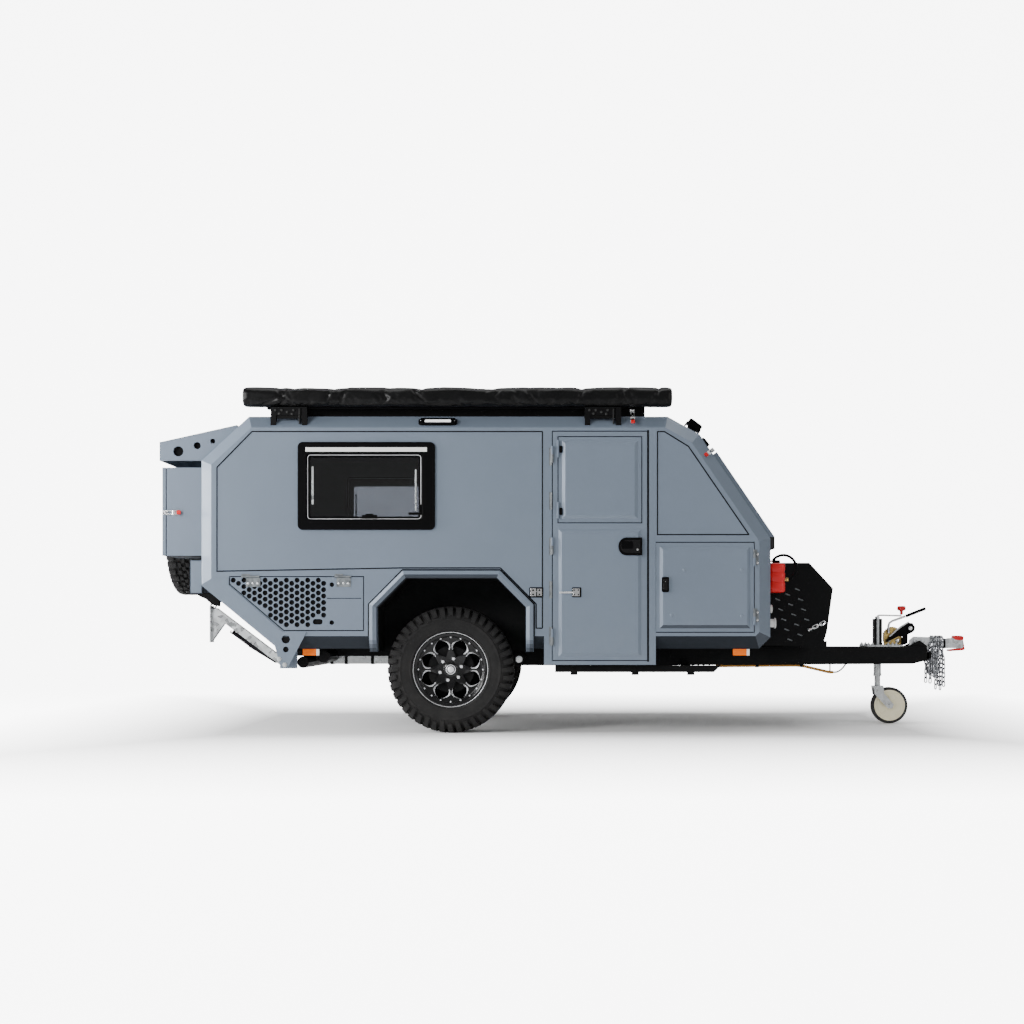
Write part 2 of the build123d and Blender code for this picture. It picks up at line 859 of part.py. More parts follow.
# The fixed halves of all hinges that the body carries
with BuildPart() as fixed_hinges:
    add(hinge_half(door_axis, to_rear, to_right, door_spots, True))
    for axis, along, normal, spots in (
        (storage_axis, to_front, to_right, storage_spots),
        (vent_axis, upward, to_right, vent_spots),
        (toolbox_axis, to_front, to_left, toolbox_spots),
    ):
        add(hinge_half(axis, along, normal, spots, True))
        mirror(hinge_half(axis, along, normal, spots, True), about=Plane.XZ)
    add(hinge_half(roof_lid_axis, to_rear, upward, roof_lid_spots, True))
    add(hinge_half(front_lid_axis, flipped(slope_down), slope_out, front_lid_spots, True))
save(fixed_hinges, "fixed_hinges")

# Rear visor between the upper corners
visor_x = rear_x - visor_depth
visor_half = side - visor_inset
visor_end_z = rear_high_height + visor_rise
visor_top_x = rear_x + visor_top_setback
visor_top_z = rear_high_height + visor_top_setback * rear_corner_drop / roof_rear_setback
visor_low_z = rear_high_height + 4
visor_side = [
    (visor_x, visor_low_z),
    (visor_x, visor_end_z),
    (visor_top_x, visor_top_z + visor_lip),
    (visor_top_x, visor_top_z),
    (rear_x, rear_high_height),
    (rear_x, visor_low_z),
]
visor_holes = [(112, 64, 33), (232, 100, 23), (331, 128, 17)]
with BuildPart() as rear_visor:
    for sign in (-1, 1):
        with BuildSketch(Plane.XZ.offset(sign * visor_half - visor_sheet / 2)):
            with BuildLine():
                Polyline(*visor_side, close=True)
            make_face()
            for back, up, radius in visor_holes:
                with Locations((visor_x + back, rear_high_height + up)):
                    RegularPolygon(radius, 10, mode=Mode.SUBTRACT)
        extrude(amount=visor_sheet)
    roof_edge = [
        (visor_x, visor_end_z),
        (visor_x, visor_end_z + visor_sheet),
        (visor_top_x, visor_top_z + visor_lip + visor_sheet),
        (visor_top_x, visor_top_z + visor_lip),
    ]
    extrude(outline(Plane.XZ, roof_edge), amount=visor_half + visor_sheet / 2, both=True)
    back_edge = box_points(visor_x - visor_sheet, visor_x, visor_low_z, visor_end_z + visor_sheet)
    extrude(outline(Plane.XZ, back_edge), amount=visor_half + visor_sheet / 2, both=True)
save(rear_visor, "rear_visor")

# Rear beam, tail lamps and the spare wheel's carrier
beam_x = rear_x - bumper_depth
beam_low = rear_low_height - bumper_drop
beam_high = beam_low + bumper_height
ramp_slope = (rear_low_height - sill_height) / tail_ramp_run
with BuildPart() as rear_bumper:
    beam_outer = box_points(beam_x, rear_x, beam_low, beam_high)
    extrude(outline(Plane.XZ, beam_outer), amount=across - bed_margin, both=True)
    extrude(outline(Plane.XZ, inset(beam_outer, bumper_sheet)), amount=across, both=True, mode=Mode.SUBTRACT)
    skirt = box_points(beam_x + 20, rear_x + 60, beam_low - skirt_drop, beam_low)
    extrude(outline(Plane.XZ, skirt), amount=rail_spread - 30, both=True)
    ramp = [
        (rear_x, rear_low_height),
        (rear_x + bevel, rear_low_height),
        (rear_x + bevel, rear_low_height - bevel * ramp_slope),
    ]
    extrude(outline(Plane.XZ, ramp), amount=across, both=True, mode=Mode.SUBTRACT)
save(rear_bumper, "rear_bumper")

with BuildPart() as tail_lamps:
    beam_back = Plane(origin=(beam_x, 0, 0), x_dir=(0, 1, 0), z_dir=(1, 0, 0))
    lamp_z = beam_low + bumper_height / 2
    for sign in (-1, 1):
        lamp_y = sign * (side - lamp_inset)
        lamp = soft_box(lamp_y - lamp_width / 2, lamp_y + lamp_width / 2, lamp_z - 45, lamp_z + 45, 20)
        extrude(outline(beam_back, lamp), amount=-lamp_depth)
save(tail_lamps, "tail_lamps")

# Wheels: one tyre and one rim, drawn with the axis up and the outer face on top
tyre_radius = tyre_diameter / 2
tyre_half = tyre_width / 2
rim_half = rim_width / 2
bead_half = rim_half - rim_flange - seat_clearance
sidewall_crest = 4
tyre_side = [
    (sidewall_radius + sidewall_crest, tyre_half),
    (tyre_radius - shoulder_drop, tyre_half - shoulder_inset),
    (tyre_radius - tread_drop, tyre_half - tread_inset),
]
bore_side = [
    (sidewall_radius, tyre_half),
    (rim_flange_radius + 10, tyre_half - 5),
    (rim_flange_radius + seat_clearance, rim_half),
    (rim_flange_radius + seat_clearance, bead_half),
    (bead_radius + seat_clearance, bead_half),
]
lug_top = sqrt(tyre_radius**2 - (lug_length / 2) ** 2)
lug_profile = [
    (tyre_radius - shoulder_drop - 8, tyre_half - shoulder_inset + 1),
    (lug_top, tyre_half - 22),
    (lug_top, tyre_half - lug_reach),
    (tyre_radius - tread_drop - 6, tyre_half - lug_reach),
]


def both_ends(half_profile):
    """A profile for the turned function from the half that lies above the middle, outer end first."""
    return [(radius, -height) for radius, height in half_profile] + half_profile[::-1]


with BuildPart() as tyre:
    add(turned(both_ends(tyre_side), tyre_sides))
    add(turned(both_ends(bore_side), tyre_sides), mode=Mode.SUBTRACT)
    for face in (-1, 1):
        for index in range(lug_count):
            turn = radians(360 / lug_count * (index + 0.25 * face))
            spoke = Plane(origin=(0, 0, 0), x_dir=(cos(turn), sin(turn), 0), z_dir=(sin(turn), -cos(turn), 0))
            lug = [(radius, face * height) for radius, height in lug_profile]
            extrude(outline(spoke, lug), amount=lug_length / 2, both=True)

petal_shape = [(86, 0), (106, 21), (144, 42), (176, 40), (194, 20), (197, 0)]
rim_face = rim_half - rim_face_inset
back_z = rim_face - rim_face_depth
barrel_inner = bead_radius - rim_sheet
with BuildPart() as plain_rim:
    flange_z = rim_half - rim_flange
    barrel = [(rim_flange_radius, rim_half), (rim_flange_radius, flange_z), (bead_radius, flange_z)]
    add(turned(both_ends(barrel), tyre_sides))
    add(turned([(barrel_inner, -rim_half), (barrel_inner, rim_half)], tyre_sides), mode=Mode.SUBTRACT)
    add(turned([(barrel_inner + 1, back_z), (barrel_inner + 1, rim_face)], tyre_sides))
    for index in range(petal_count):
        turn = radians(360 / petal_count * (index + 0.5))
        petal = []
        for side_sign, shape in ((1, petal_shape), (-1, petal_shape[-2:0:-1])):
            for radius, half in shape:
                out = side_sign * half
                petal.append((radius * cos(turn) - out * sin(turn), radius * sin(turn) + out * cos(turn)))
        extrude(outline(Plane.XY.offset(back_z - 1), petal), amount=rim_face_depth + 30, mode=Mode.SUBTRACT)
    with BuildSketch(Plane.XY.offset(rim_face)):
        RegularPolygon(hub_cap_radius, 10)
        with PolarLocations(stud_circle / 2, stud_count):
            RegularPolygon(stud_radius, 4)
    extrude(amount=hub_cap_height)

with BuildPart() as rim:
    add(plain_rim.part)
    add(turned([(drum_radius, back_z - drum_depth), (drum_radius, back_z)], tyre_sides))
    with BuildSketch(Plane.XY.offset(back_z - drum_depth)):
        RegularPolygon(stub_radius + stub_clearance, 12, major_radius=False)
    extrude(amount=drum_depth, mode=Mode.SUBTRACT)

wheel_y = side - tyre_inset - tyre_width / 2
spare_x = rear_x - spare_standoff - tyre_width / 2
right_hub = Plane(origin=(axle_x, -wheel_y, axle_z), x_dir=(1, 0, 0), z_dir=(0, -1, 0))
left_hub = Plane(origin=(axle_x, wheel_y, axle_z), x_dir=(-1, 0, 0), z_dir=(0, 1, 0))
spare_height = roof_height - spare_drop
spare_hub = Plane(origin=(spare_x, 0, spare_height), x_dir=(0, 1, 0), z_dir=(-1, 0, 0))
for template, hub, name in (
    (tyre, right_hub, "wheel_right_tyre"),
    (rim, right_hub, "wheel_right_rim"),
    (tyre, left_hub, "wheel_left_tyre"),
    (rim, left_hub, "wheel_left_rim"),
    (tyre, spare_hub, "spare_tyre"),
    (plain_rim, spare_hub, "spare_rim"),
):
    with BuildPart() as wheel_piece:
        with Locations(hub.location):
            add(template.part)
    save(wheel_piece, name)

spare_pad_x = spare_x - back_z
with BuildPart() as spare_carrier:
    with BuildSketch(Plane(origin=(rear_x, 0, spare_height), x_dir=(0, 1, 0), z_dir=(-1, 0, 0))):
        Rectangle(300, 300)
    extrude(amount=10)
    with BuildSketch(Plane(origin=(rear_x, 0, spare_height), x_dir=(0, 1, 0), z_dir=(-1, 0, 0))):
        RegularPolygon(84, 12)
    extrude(amount=rear_x - spare_pad_x)
save(spare_carrier, "spare_carrier")

# Suspension: trailing arms with stub axles, and an air spring on each
stub_tip = wheel_y + back_z - 2
arm_inner = rail_spread + rail_width / 2 + 12
arm_outer = arm_inner + 70
drum_inner = wheel_y + back_z - drum_depth
arm_pivot_x = axle_x + 410
arm_pivot_z = rail_bottom + 60
arm_top_slope = (rail_bottom + 96 - axle_z - 50) / 480
with BuildPart() as arm:
    arm_side = [
        (axle_x - 60, axle_z - 40),
        (axle_x - 60, axle_z + 50),
        (axle_x + 420, rail_bottom + 96),
        (axle_x + 470, rail_bottom + 60),
        (axle_x + 440, rail_bottom + 10),
    ]
    extrude(outline(Plane.XZ.offset(arm_inner), arm_side), amount=arm_outer - arm_inner)
    with BuildSketch(Plane.XZ.offset(arm_outer)):
        with Locations((axle_x, axle_z)):
            RegularPolygon(stub_radius + 16, 12)
    extrude(amount=drum_inner - 6 - arm_outer)
    with BuildSketch(Plane.XZ.offset(arm_outer)):
        with Locations((axle_x, axle_z)):
            Circle(stub_radius)
    extrude(amount=stub_tip - arm_outer)
    with BuildSketch(Plane.XZ.offset(arm_inner - 12)):
        with Locations((arm_pivot_x, arm_pivot_z)):
            RegularPolygon(24, 10)
    extrude(amount=arm_outer - arm_inner + 24)

with BuildPart() as trailing_arms:
    add(arm.part)
    mirror(arm.part, about=Plane.XZ)
save(trailing_arms, "trailing_arms")

spring_x = axle_x + 32
spring_y = (arm_inner + arm_outer) / 2
with BuildPart() as springs:
    for sign in (-1, 1):
        with BuildSketch(Plane.XY.offset(axle_z)):
            with Locations((spring_x, sign * spring_y)):
                RegularPolygon(33, 16)
        extrude(amount=sill_height - axle_z)
    arm_space = [
        (axle_x - 60, axle_z - 40),
        (axle_x - 60, axle_z + 50),
        (axle_x + 420, axle_z + 50 + 480 * arm_top_slope),
        (axle_x + 420, axle_z - 40),
    ]
    extrude(outline(Plane.XZ, arm_space), amount=arm_outer + 10, both=True, mode=Mode.SUBTRACT)
save(springs, "springs")

# Chassis: two rails that run together into the drawbar, with crossmembers and a head block
head_bottom = rail_bottom + 24
with BuildPart() as chassis_frame:
    for sign in (-1, 1):
        outer_y = rail_spread + rail_width / 2
        inner_y = rail_spread - rail_width / 2
        rail_plan = [
            (rail_step_x, sign * outer_y),
            (knee_x, sign * outer_y),
            (drawbar_x, sign * (drawbar_spread + rail_width / 2)),
            (drawbar_x, sign * (drawbar_spread - rail_width / 2)),
            (knee_x - 20, sign * inner_y),
            (rail_step_x, sign * inner_y),
        ]
        extrude(outline(Plane.XY.offset(rail_bottom), rail_plan), amount=rail_depth)
        with BuildSketch(Plane.XY.offset(sill_height - rail_rear_depth)):
            with Locations(((rail_rear_x + rail_step_x) / 2, sign * rail_spread)):
                Rectangle(rail_step_x - rail_rear_x, rail_width)
        extrude(amount=rail_rear_depth)
    with BuildSketch(Plane.XY.offset(rail_bottom + 20)):
        for member_x in crossmembers:
            with Locations((member_x, 0)):
                Rectangle(crossmember_width, 2 * rail_line(member_x))
    extrude(amount=rail_depth - 20)
    with BuildSketch(Plane.XY.offset(sill_height - rail_rear_depth)):
        with Locations((rail_rear_x + 30, 0)):
            Rectangle(60, 2 * rail_spread)
    extrude(amount=rail_rear_depth)
    with BuildSketch(Plane.XY.offset(rail_bottom)):
        with Locations((drawbar_x - head_length / 2, 0)):
            Rectangle(head_length, 2 * drawbar_spread + rail_width)
    extrude(amount=rail_depth)
    nose_cut = [(drawbar_x - 105, rail_bottom), (drawbar_x, head_bottom), (drawbar_x, rail_bottom)]
    extrude(outline(Plane.XZ, nose_cut), amount=rail_spread, both=True, mode=Mode.SUBTRACT)
    cheek = [
        (drawbar_x - 136, sill_height),
        (drawbar_x - 50, sill_height + cheek_rise),
        (drawbar_x, sill_height + 6),
        (drawbar_x, sill_height),
    ]
    for sign in (-1, 1):
        cheek_y = sign * (drawbar_spread + rail_width / 2 - cheek_width / 2)
        extrude(outline(Plane.XZ.offset(cheek_y - cheek_width / 2), cheek), amount=cheek_width)
    for tube_x, tube_z in ((axle_x - 952, sill_height - 88), (axle_x - 818, sill_height - 54)):
        with BuildSketch(Plane.XZ):
            with Locations((tube_x, tube_z)):
                RegularPolygon(cross_tube_radius, 12)
        extrude(amount=side - 150, both=True)
        hanger = box_points(tube_x - 20, tube_x + 20, tube_z, sill_height)
        for sign in (-1, 1):
            extrude(outline(Plane.XZ.offset(sign * rail_spread - rail_width / 2), hanger), amount=rail_width)
save(chassis_frame, "chassis_frame")

# Coupling: a base on the drawbar head, a collar and a head with a socket that opens downwards
coupling_x = axle_x + coupling_reach
coupling_z = sill_height + coupling_rise
coupling_back = coupling_x - release_bar - coupling_head_length
head_low = coupling_z - coupling_head_height / 2
head_high = coupling_z + coupling_head_height / 2
socket_x = coupling_x - socket_back
with BuildPart() as coupling_body:
    base_side = [
        (drawbar_x - 100, sill_height),
        (drawbar_x - 100, sill_height + 44),
        (drawbar_x - 70, sill_height + 70),
        (drawbar_x + 40, sill_height + 66),
        (coupling_back - 16, coupling_z + 26),
        (coupling_back - 16, coupling_z - 30),
        (drawbar_x, sill_height - 20),
        (drawbar_x, sill_height),
    ]
    extrude(outline(Plane.XZ, base_side), amount=coupling_base_width / 2, both=True)
    with BuildSketch(Plane(origin=(coupling_back - 16, 0, coupling_z), x_dir=(0, 1, 0), z_dir=(1, 0, 0))):
        RegularPolygon(coupling_collar_radius, 12)
    extrude(amount=16)
    head = box_points(coupling_back, coupling_x - release_bar, head_low, head_high)
    extrude(outline(Plane.XZ, head), amount=coupling_head_width / 2, both=True)
    with BuildSketch(Plane.XY.offset(head_low)):
        with Locations((socket_x, 0)):
            Circle(socket_radius)
    extrude(amount=socket_depth, mode=Mode.SUBTRACT)
save(coupling_body, "coupling_body")

with BuildPart() as coupling_handle:
    bar_low = head_low - release_gap
    bar_high = head_high + release_gap
    release = [
        (coupling_x - 62, bar_high),
        (coupling_x - 62, bar_high + release_bar),
        (coupling_x - 16, bar_high + release_bar),
        (coupling_x, bar_high),
        (coupling_x, bar_low),
        (coupling_x - 16, bar_low - release_bar),
        (coupling_x - 52, bar_low - release_bar),
        (coupling_x - 52, bar_low),
        (coupling_x - release_bar, bar_low),
        (coupling_x - release_bar, bar_high),
    ]
    extrude(outline(Plane.XZ, release), amount=release_width / 2, both=True)
save(coupling_handle, "coupling_handle")

# Safety chains: a lug on each side of the drawbar's end, runs of links from its eye and over the neck
eye_x = drawbar_x + chain_eye_ahead
eye_z = rail_bottom + chain_eye_height
first_link = eye_z - chain_eye_radius * cos(pi / 8) - chain_pitch / 2
neck_link = sill_height + 44
chain_runs = [
    {"ahead": 0, "out": 0, "top": first_link, "links": 5, "phase": 0},
    {"ahead": 44, "out": -4, "top": neck_link, "links": 6, "phase": 1},
    {"ahead": 80, "out": 0, "top": neck_link, "links": 7, "phase": 0},
]
half_width = chain_link_width / 2
half_length = chain_pitch / 2 + chain_wire + chain_clearance
link_outer = [
    (-half_width + chain_corner, -half_length),
    (-half_width, -half_length + chain_corner),
    (-half_width, half_length - chain_corner),
    (-half_width + chain_corner, half_length),
    (half_width - chain_corner, half_length),
    (half_width, half_length - chain_corner),
    (half_width, -half_length + chain_corner),
    (half_width - chain_corner, -half_length),
]


def chain_link(plane):
    """One link lying in the given plane."""
    with BuildPart() as link:
        with BuildSketch(plane):
            with BuildLine():
                Polyline(*link_outer, close=True)
            make_face()
            add(outline(plane, inset(link_outer, chain_wire)), mode=Mode.SUBTRACT)
        extrude(amount=chain_wire / 2, both=True)
    return link.part


with BuildPart() as chain:
    lug = [
        (drawbar_x, eye_z - chain_lug_height / 2),
        (drawbar_x, eye_z + chain_lug_height / 2),
        (eye_x + chain_lug_rim, eye_z + chain_lug_height / 4),
        (eye_x + chain_lug_rim, eye_z - chain_lug_height / 4),
        (eye_x, eye_z - chain_lug_height / 2),
    ]
    extrude(outline(Plane.XZ.offset(chain_spread - chain_lug_sheet / 2), lug), amount=chain_lug_sheet)
    with BuildSketch(Plane.XZ.offset(chain_spread - chain_lug_sheet)):
        with Locations((eye_x, eye_z)):
            RegularPolygon(chain_eye_radius, 8, rotation=22.5)
    extrude(amount=2 * chain_lug_sheet, mode=Mode.SUBTRACT)
    for run in chain_runs:
        for index in range(run["links"]):
            place = (eye_x + run["ahead"], -chain_spread - run["out"], run["top"] - index * chain_pitch)
            if (index + run["phase"]) % 2:
                add(chain_link(Plane(origin=place, x_dir=(1, 0, 0), z_dir=(0, -1, 0))))
            else:
                add(chain_link(Plane(origin=place, x_dir=(0, 1, 0), z_dir=(1, 0, 0))))

with BuildPart() as safety_chains:
    add(chain.part)
    mirror(chain.part, about=Plane.XZ)
save(safety_chains, "safety_chains")

# Jockey wheel: clamp and tube on the drawbar, a swivel fork, and the wheel
jockey_x = axle_x + jockey_ahead
jockey_radius = jockey_diameter / 2
jockey_wheel_x = jockey_x + jockey_trail
crown_z = jockey_diameter - fork_crown_drop
with BuildPart() as jockey_tube:
    with BuildSketch(Plane.XY.offset(jockey_tube_bottom)):
        with Locations((jockey_x, 0)):
            RegularPolygon(jockey_tube_radius, 16)
            RegularPolygon(jockey_stem_radius + jockey_stem_clearance, 16, major_radius=False, mode=Mode.SUBTRACT)
    extrude(amount=jockey_top - jockey_tube_bottom)
    with BuildSketch(Plane.XY.offset(jockey_top)):
        with Locations((jockey_x, 0)):
            RegularPolygon(jockey_tube_radius - 8, 16)
    extrude(amount=16)
    with BuildSketch(Plane.XY.offset(sill_height)):
        with Locations((jockey_x, 0)):
            Rectangle(84, 2 * rail_line(jockey_x) + rail_width / 2)
            RegularPolygon(jockey_stem_radius + jockey_stem_clearance, 16, major_radius=False, mode=Mode.SUBTRACT)
    extrude(amount=jockey_clamp_sheet)
    crank_z = jockey_top + 16
    crank = box_points(jockey_x - 10, jockey_x + crank_reach + 8, crank_z, crank_z + crank_bar)
    extrude(outline(Plane.XZ, crank), amount=crank_bar / 2, both=True)
    knob_z = crank_z + crank_bar
    knob = [(10, knob_z), (12, knob_z + knob_stem), (knob_radius, knob_z + knob_stem + 6)]
    knob += [(knob_radius - 4, knob_z + knob_stem + knob_height)]
    with Locations((jockey_x + crank_reach, 0, 0)):
        add(turned(knob, 10))
save(jockey_tube, "jockey_tube")

with BuildPart() as jockey_fork:
    with BuildSketch(Plane.XY.offset(crown_z)):
        with Locations((jockey_x, 0)):
            Circle(jockey_stem_radius)
    extrude(amount=jockey_tube_bottom + 160 - crown_z)
    with BuildSketch(Plane.XY.offset(crown_z)):
        with Locations((jockey_x, 0)):
            Rectangle(68, jockey_width + 2 * (fork_gap + fork_sheet))
    extrude(amount=12)
    blade = [
        (jockey_x - 34, crown_z + 12),
        (jockey_x + 34, crown_z + 12),
        (jockey_x + 38, crown_z - 40),
        (jockey_wheel_x + 24, jockey_radius + 8),
        (jockey_wheel_x + 16, jockey_radius - 20),
        (jockey_wheel_x - 16, jockey_radius - 20),
        (jockey_x - 26, crown_z - 46),
    ]
    for sign in (-1, 1):
        blade_y = sign * (jockey_width / 2 + fork_gap + fork_sheet / 2) - fork_sheet / 2
        extrude(outline(Plane.XZ.offset(blade_y), blade), amount=fork_sheet)
    with BuildSketch(Plane.XZ):
        with Locations((jockey_wheel_x, jockey_radius)):
            Circle(fork_pin_radius)
    extrude(amount=jockey_width / 2 + fork_gap + fork_sheet, both=True)
save(jockey_fork, "jockey_fork")

half_tread = jockey_width / 2
hub_half = half_tread - 2
jockey_side = [
    (jockey_radius - 22, half_tread - 6),
    (jockey_radius - 6, half_tread - 10),
    (jockey_radius, half_tread - 20),
]
with BuildPart() as jockey_template:
    add(turned(both_ends(jockey_side), 20))
    for low, high in ((-half_tread + 6, -half_tread + 14), (half_tread - 14, half_tread - 6)):
        add(turned([(jockey_radius - 26, low), (jockey_radius - 26, high)], 20), mode=Mode.SUBTRACT)
    add(turned([(30, -hub_half), (30, hub_half)], 12))
    with BuildSketch(Plane.XY.offset(-half_tread)):
        RegularPolygon(fork_pin_radius + fork_pin_clearance, 12, major_radius=False)
    extrude(amount=jockey_width, mode=Mode.SUBTRACT)

with BuildPart() as jockey_wheel:
    with Locations(Plane(origin=(jockey_wheel_x, 0, jockey_radius), x_dir=(1, 0, 0), z_dir=(0, -1, 0)).location):
        add(jockey_template.part)
save(jockey_wheel, "jockey_wheel")

# Handbrake on the drawbar: a toothed quadrant, a housing and a lever with a grip
brake_x = axle_x + brake_ahead
brake_z = sill_height + brake_foot_sheet
with BuildPart() as handbrake:
    foot = box_points(brake_x - brake_foot / 2, brake_x + brake_foot / 2, sill_height, brake_z)
    extrude(outline(Plane.XZ, foot), amount=52, both=True)
    quadrant = [
        (brake_x - 58, brake_z),
        (brake_x - 58, brake_z + 60),
        (brake_x - 30, brake_z + 120),
        (brake_x + 10, brake_z + 136),
        (brake_x + 58, brake_z + 30),
        (brake_x + 58, brake_z),
    ]
    extrude(outline(Plane.XZ.offset(8), quadrant), amount=brake_sheet)
    housing = [
        (brake_x - 20, brake_z + 12),
        (brake_x - 26, brake_z + 50),
        (brake_x + 90, brake_z + 150),
        (brake_x + 128, brake_z + 152),
        (brake_x + 146, brake_z + 120),
        (brake_x + 130, brake_z + 84),
        (brake_x + 58, brake_z + 36),
        (brake_x + 40, brake_z),
    ]
    extrude(outline(Plane.XZ.offset(-20), housing), amount=28)
    lever = [
        (brake_x - 34, brake_z + 80),
        (brake_x - 36, brake_z + 150),
        (brake_x - 12, brake_z + 174),
        (brake_x + 216, brake_z + 262),
        (brake_x + 226, brake_z + 238),
        (brake_x + 4, brake_z + 150),
        (brake_x - 8, brake_z + 84),
    ]
    extrude(outline(Plane.XZ.offset(20), lever), amount=16)
save(handbrake, "handbrake")

# Skid plates in line with the side walls, with an inner ear for each leg's pin
leg_pivot_x = axle_x + leg_pivot_ahead
leg_pivot_z = sill_height - leg_pivot_drop
leg_outer_y = side - leg_inset
leg_inner_y = leg_outer_y - leg_width
skid_gap = door_gap + 2
skid_outline = [
    (rear_x + 17, rear_low_height - 1),
    (rear_x + 83, vent_top - 9),
    (vent_x - skid_gap, vent_top - 9),
    (vent_x - skid_gap, vent_bottom + vent_slope_rise - 8),
    (vent_x + vent_slope_run - 10, vent_bottom - skid_gap - 2),
    (leg_pivot_x + 145, vent_bottom - skid_gap - 2),
    (leg_pivot_x + 26, leg_pivot_z - 24),
    (leg_pivot_x - 20, leg_pivot_z - 16),
    (rear_x + tail_ramp_run - 21, sill_height + 18),
]
skid_holes = [(13, 156, 28), (13, 92, 19)]
with BuildPart() as skid:
    extrude(outline(right_side, skid_outline), amount=skid_proud)
    with BuildSketch(right_side):
        for ahead, up, radius in skid_holes:
            with Locations((leg_pivot_x + ahead, leg_pivot_z + up)):
                RegularPolygon(radius, 8)
    extrude(amount=skid_proud, mode=Mode.SUBTRACT)
    ear = box_points(leg_pivot_x - 40, leg_pivot_x + 70, leg_pivot_z - 30, sill_height)
    extrude(outline(Plane.XZ.offset(leg_inner_y - leg_side_gap), ear), amount=-leg_ear_sheet)
    with BuildSketch(Plane.XZ.offset(side + skid_proud)):
        with Locations((leg_pivot_x, leg_pivot_z)):
            Circle(leg_pin_radius)
    extrude(amount=-(side + skid_proud - leg_inner_y + leg_side_gap + leg_ear_sheet))
    with BuildSketch(right_side):
        with Locations((leg_pivot_x, leg_pivot_z)):
            RegularPolygon(leg_pin_radius + 8, 8)
    extrude(amount=-(leg_inset - leg_side_gap))

with BuildPart() as skid_plates:
    add(skid.part)
    mirror(skid.part, about=Plane.XZ)
save(skid_plates, "skid_plates")

# Stabiliser legs, drawn along their own line and folded up under the tail
leg_dir = (-cos(radians(leg_angle)), 0, sin(radians(leg_angle)))
leg_frame = Plane(origin=(leg_pivot_x, -leg_outer_y, leg_pivot_z), x_dir=leg_dir, z_dir=to_right)
foot_x = leg_pivot_x + leg_dir[0] * leg_length
foot_z = leg_pivot_z + leg_dir[2] * leg_length
with BuildPart() as leg_right:
    with BuildSketch(leg_frame):
        with Locations((leg_length / 2, 0)):
            Rectangle(leg_length, leg_depth)
        RegularPolygon(leg_boss_radius, 12)
    extrude(amount=-leg_width)
    with BuildSketch(leg_frame.offset(-leg_sheet)):
        with Locations((leg_length / 2 + 60, -leg_sheet)):
            Rectangle(leg_length, leg_depth)
    extrude(amount=-(leg_width - 2 * leg_sheet), mode=Mode.SUBTRACT)
    with BuildSketch(leg_frame):
        RegularPolygon(leg_pin_radius + leg_pin_clearance, 12, major_radius=False)
    extrude(amount=-leg_width, mode=Mode.SUBTRACT)
    foot_back = foot_x - leg_foot_standoff
    foot_low = foot_z + 30 - leg_foot_length
    foot = box_points(foot_back - leg_foot_sheet, foot_back, foot_low, foot_low + leg_foot_length)
    extrude(outline(Plane.XZ.offset(leg_outer_y - leg_width / 2), foot), amount=leg_foot_width / 2, both=True)
    brace = [
        (foot_back - 2, foot_low + 4),
        (foot_back - 2, foot_z + 16),
        (foot_x + 80, foot_z - 46),
        (foot_x + 66, foot_z - 80),
    ]
    extrude(outline(Plane.XZ.offset(leg_outer_y), brace), amount=-leg_sheet)
    extrude(outline(Plane.XZ.offset(leg_inner_y + leg_sheet), brace), amount=-leg_sheet)
save(leg_right, "stabiliser_leg_right")

with BuildPart() as leg_left:
    mirror(leg_right.part, about=Plane.XZ)
save(leg_left, "stabiliser_leg_left")

# Awning bag on two brackets above the right edge of the roof
awning_x = axle_x + awning_ahead
awning_outer = side + awning_overhang
awning_y = -awning_outer + awning_depth / 2
awning_bottom = roof_height + awning_lift
awning_middle = awning_bottom + awning_height / 2
half_bag = awning_depth / 2
half_height = awning_height / 2
bag_profile = [
    (-half_bag, -20),
    (-half_bag, 28),
    (-half_bag + 30, half_height),
    (half_bag - 30, half_height),
    (half_bag, 28),
    (half_bag, -half_height),
    (-half_bag + 34, -half_height),
]
with BuildPart() as awning_bag:
    bag_end = Plane(origin=(awning_x, awning_y, awning_middle), x_dir=to_left, z_dir=to_front)
    extrude(outline(bag_end, bag_profile), amount=awning_length)
save(awning_bag, "awning_bag")

bracket_places = [axle_x - 1018, axle_x + 965]
bracket_outer = side - bracket_inset
bracket_foot = roof_height - (bracket_outer - across)
bracket_profile = [
    (-bracket_outer, bracket_foot),
    (-bracket_outer, awning_bottom),
    (-bracket_outer + bracket_thickness, awning_bottom),
    (-bracket_outer + bracket_thickness, bracket_foot + bracket_thickness),
]
with BuildPart() as awning_brackets:
    for bracket_x in bracket_places:
        half = bracket_length / 2
        for leg_x in (bracket_x - half, bracket_x + half - bracket_leg):
            leg_end = Plane(origin=(leg_x, 0, 0), x_dir=to_left, z_dir=to_front)
            extrude(outline(leg_end, bracket_profile), amount=bracket_leg)
        with BuildSketch(Plane.XY.offset(awning_bottom - bracket_sheet)):
            with Locations((bracket_x, -bracket_outer + bracket_thickness / 2)):
                Rectangle(bracket_length, bracket_thickness)
        extrude(amount=bracket_sheet)
        web = box_points(bracket_x - half, bracket_x + half, bracket_foot + 44, awning_bottom)
        extrude(outline(Plane.XZ.offset(bracket_outer - 8), web), amount=-bracket_sheet)
save(awning_brackets, "awning_brackets")

# Lamps
with BuildPart() as marker_lamps:
    for ahead in (-891, 1846):
        for sign in (-1, 1):
            with BuildSketch(Plane.XY.offset(sill_height)):
                with Locations((axle_x + ahead, sign * (across - marker_depth / 2 - marker_inset))):
                    Rectangle(marker_width, marker_depth)
            extrude(amount=-marker_height)
save(marker_lamps, "marker_lamps")

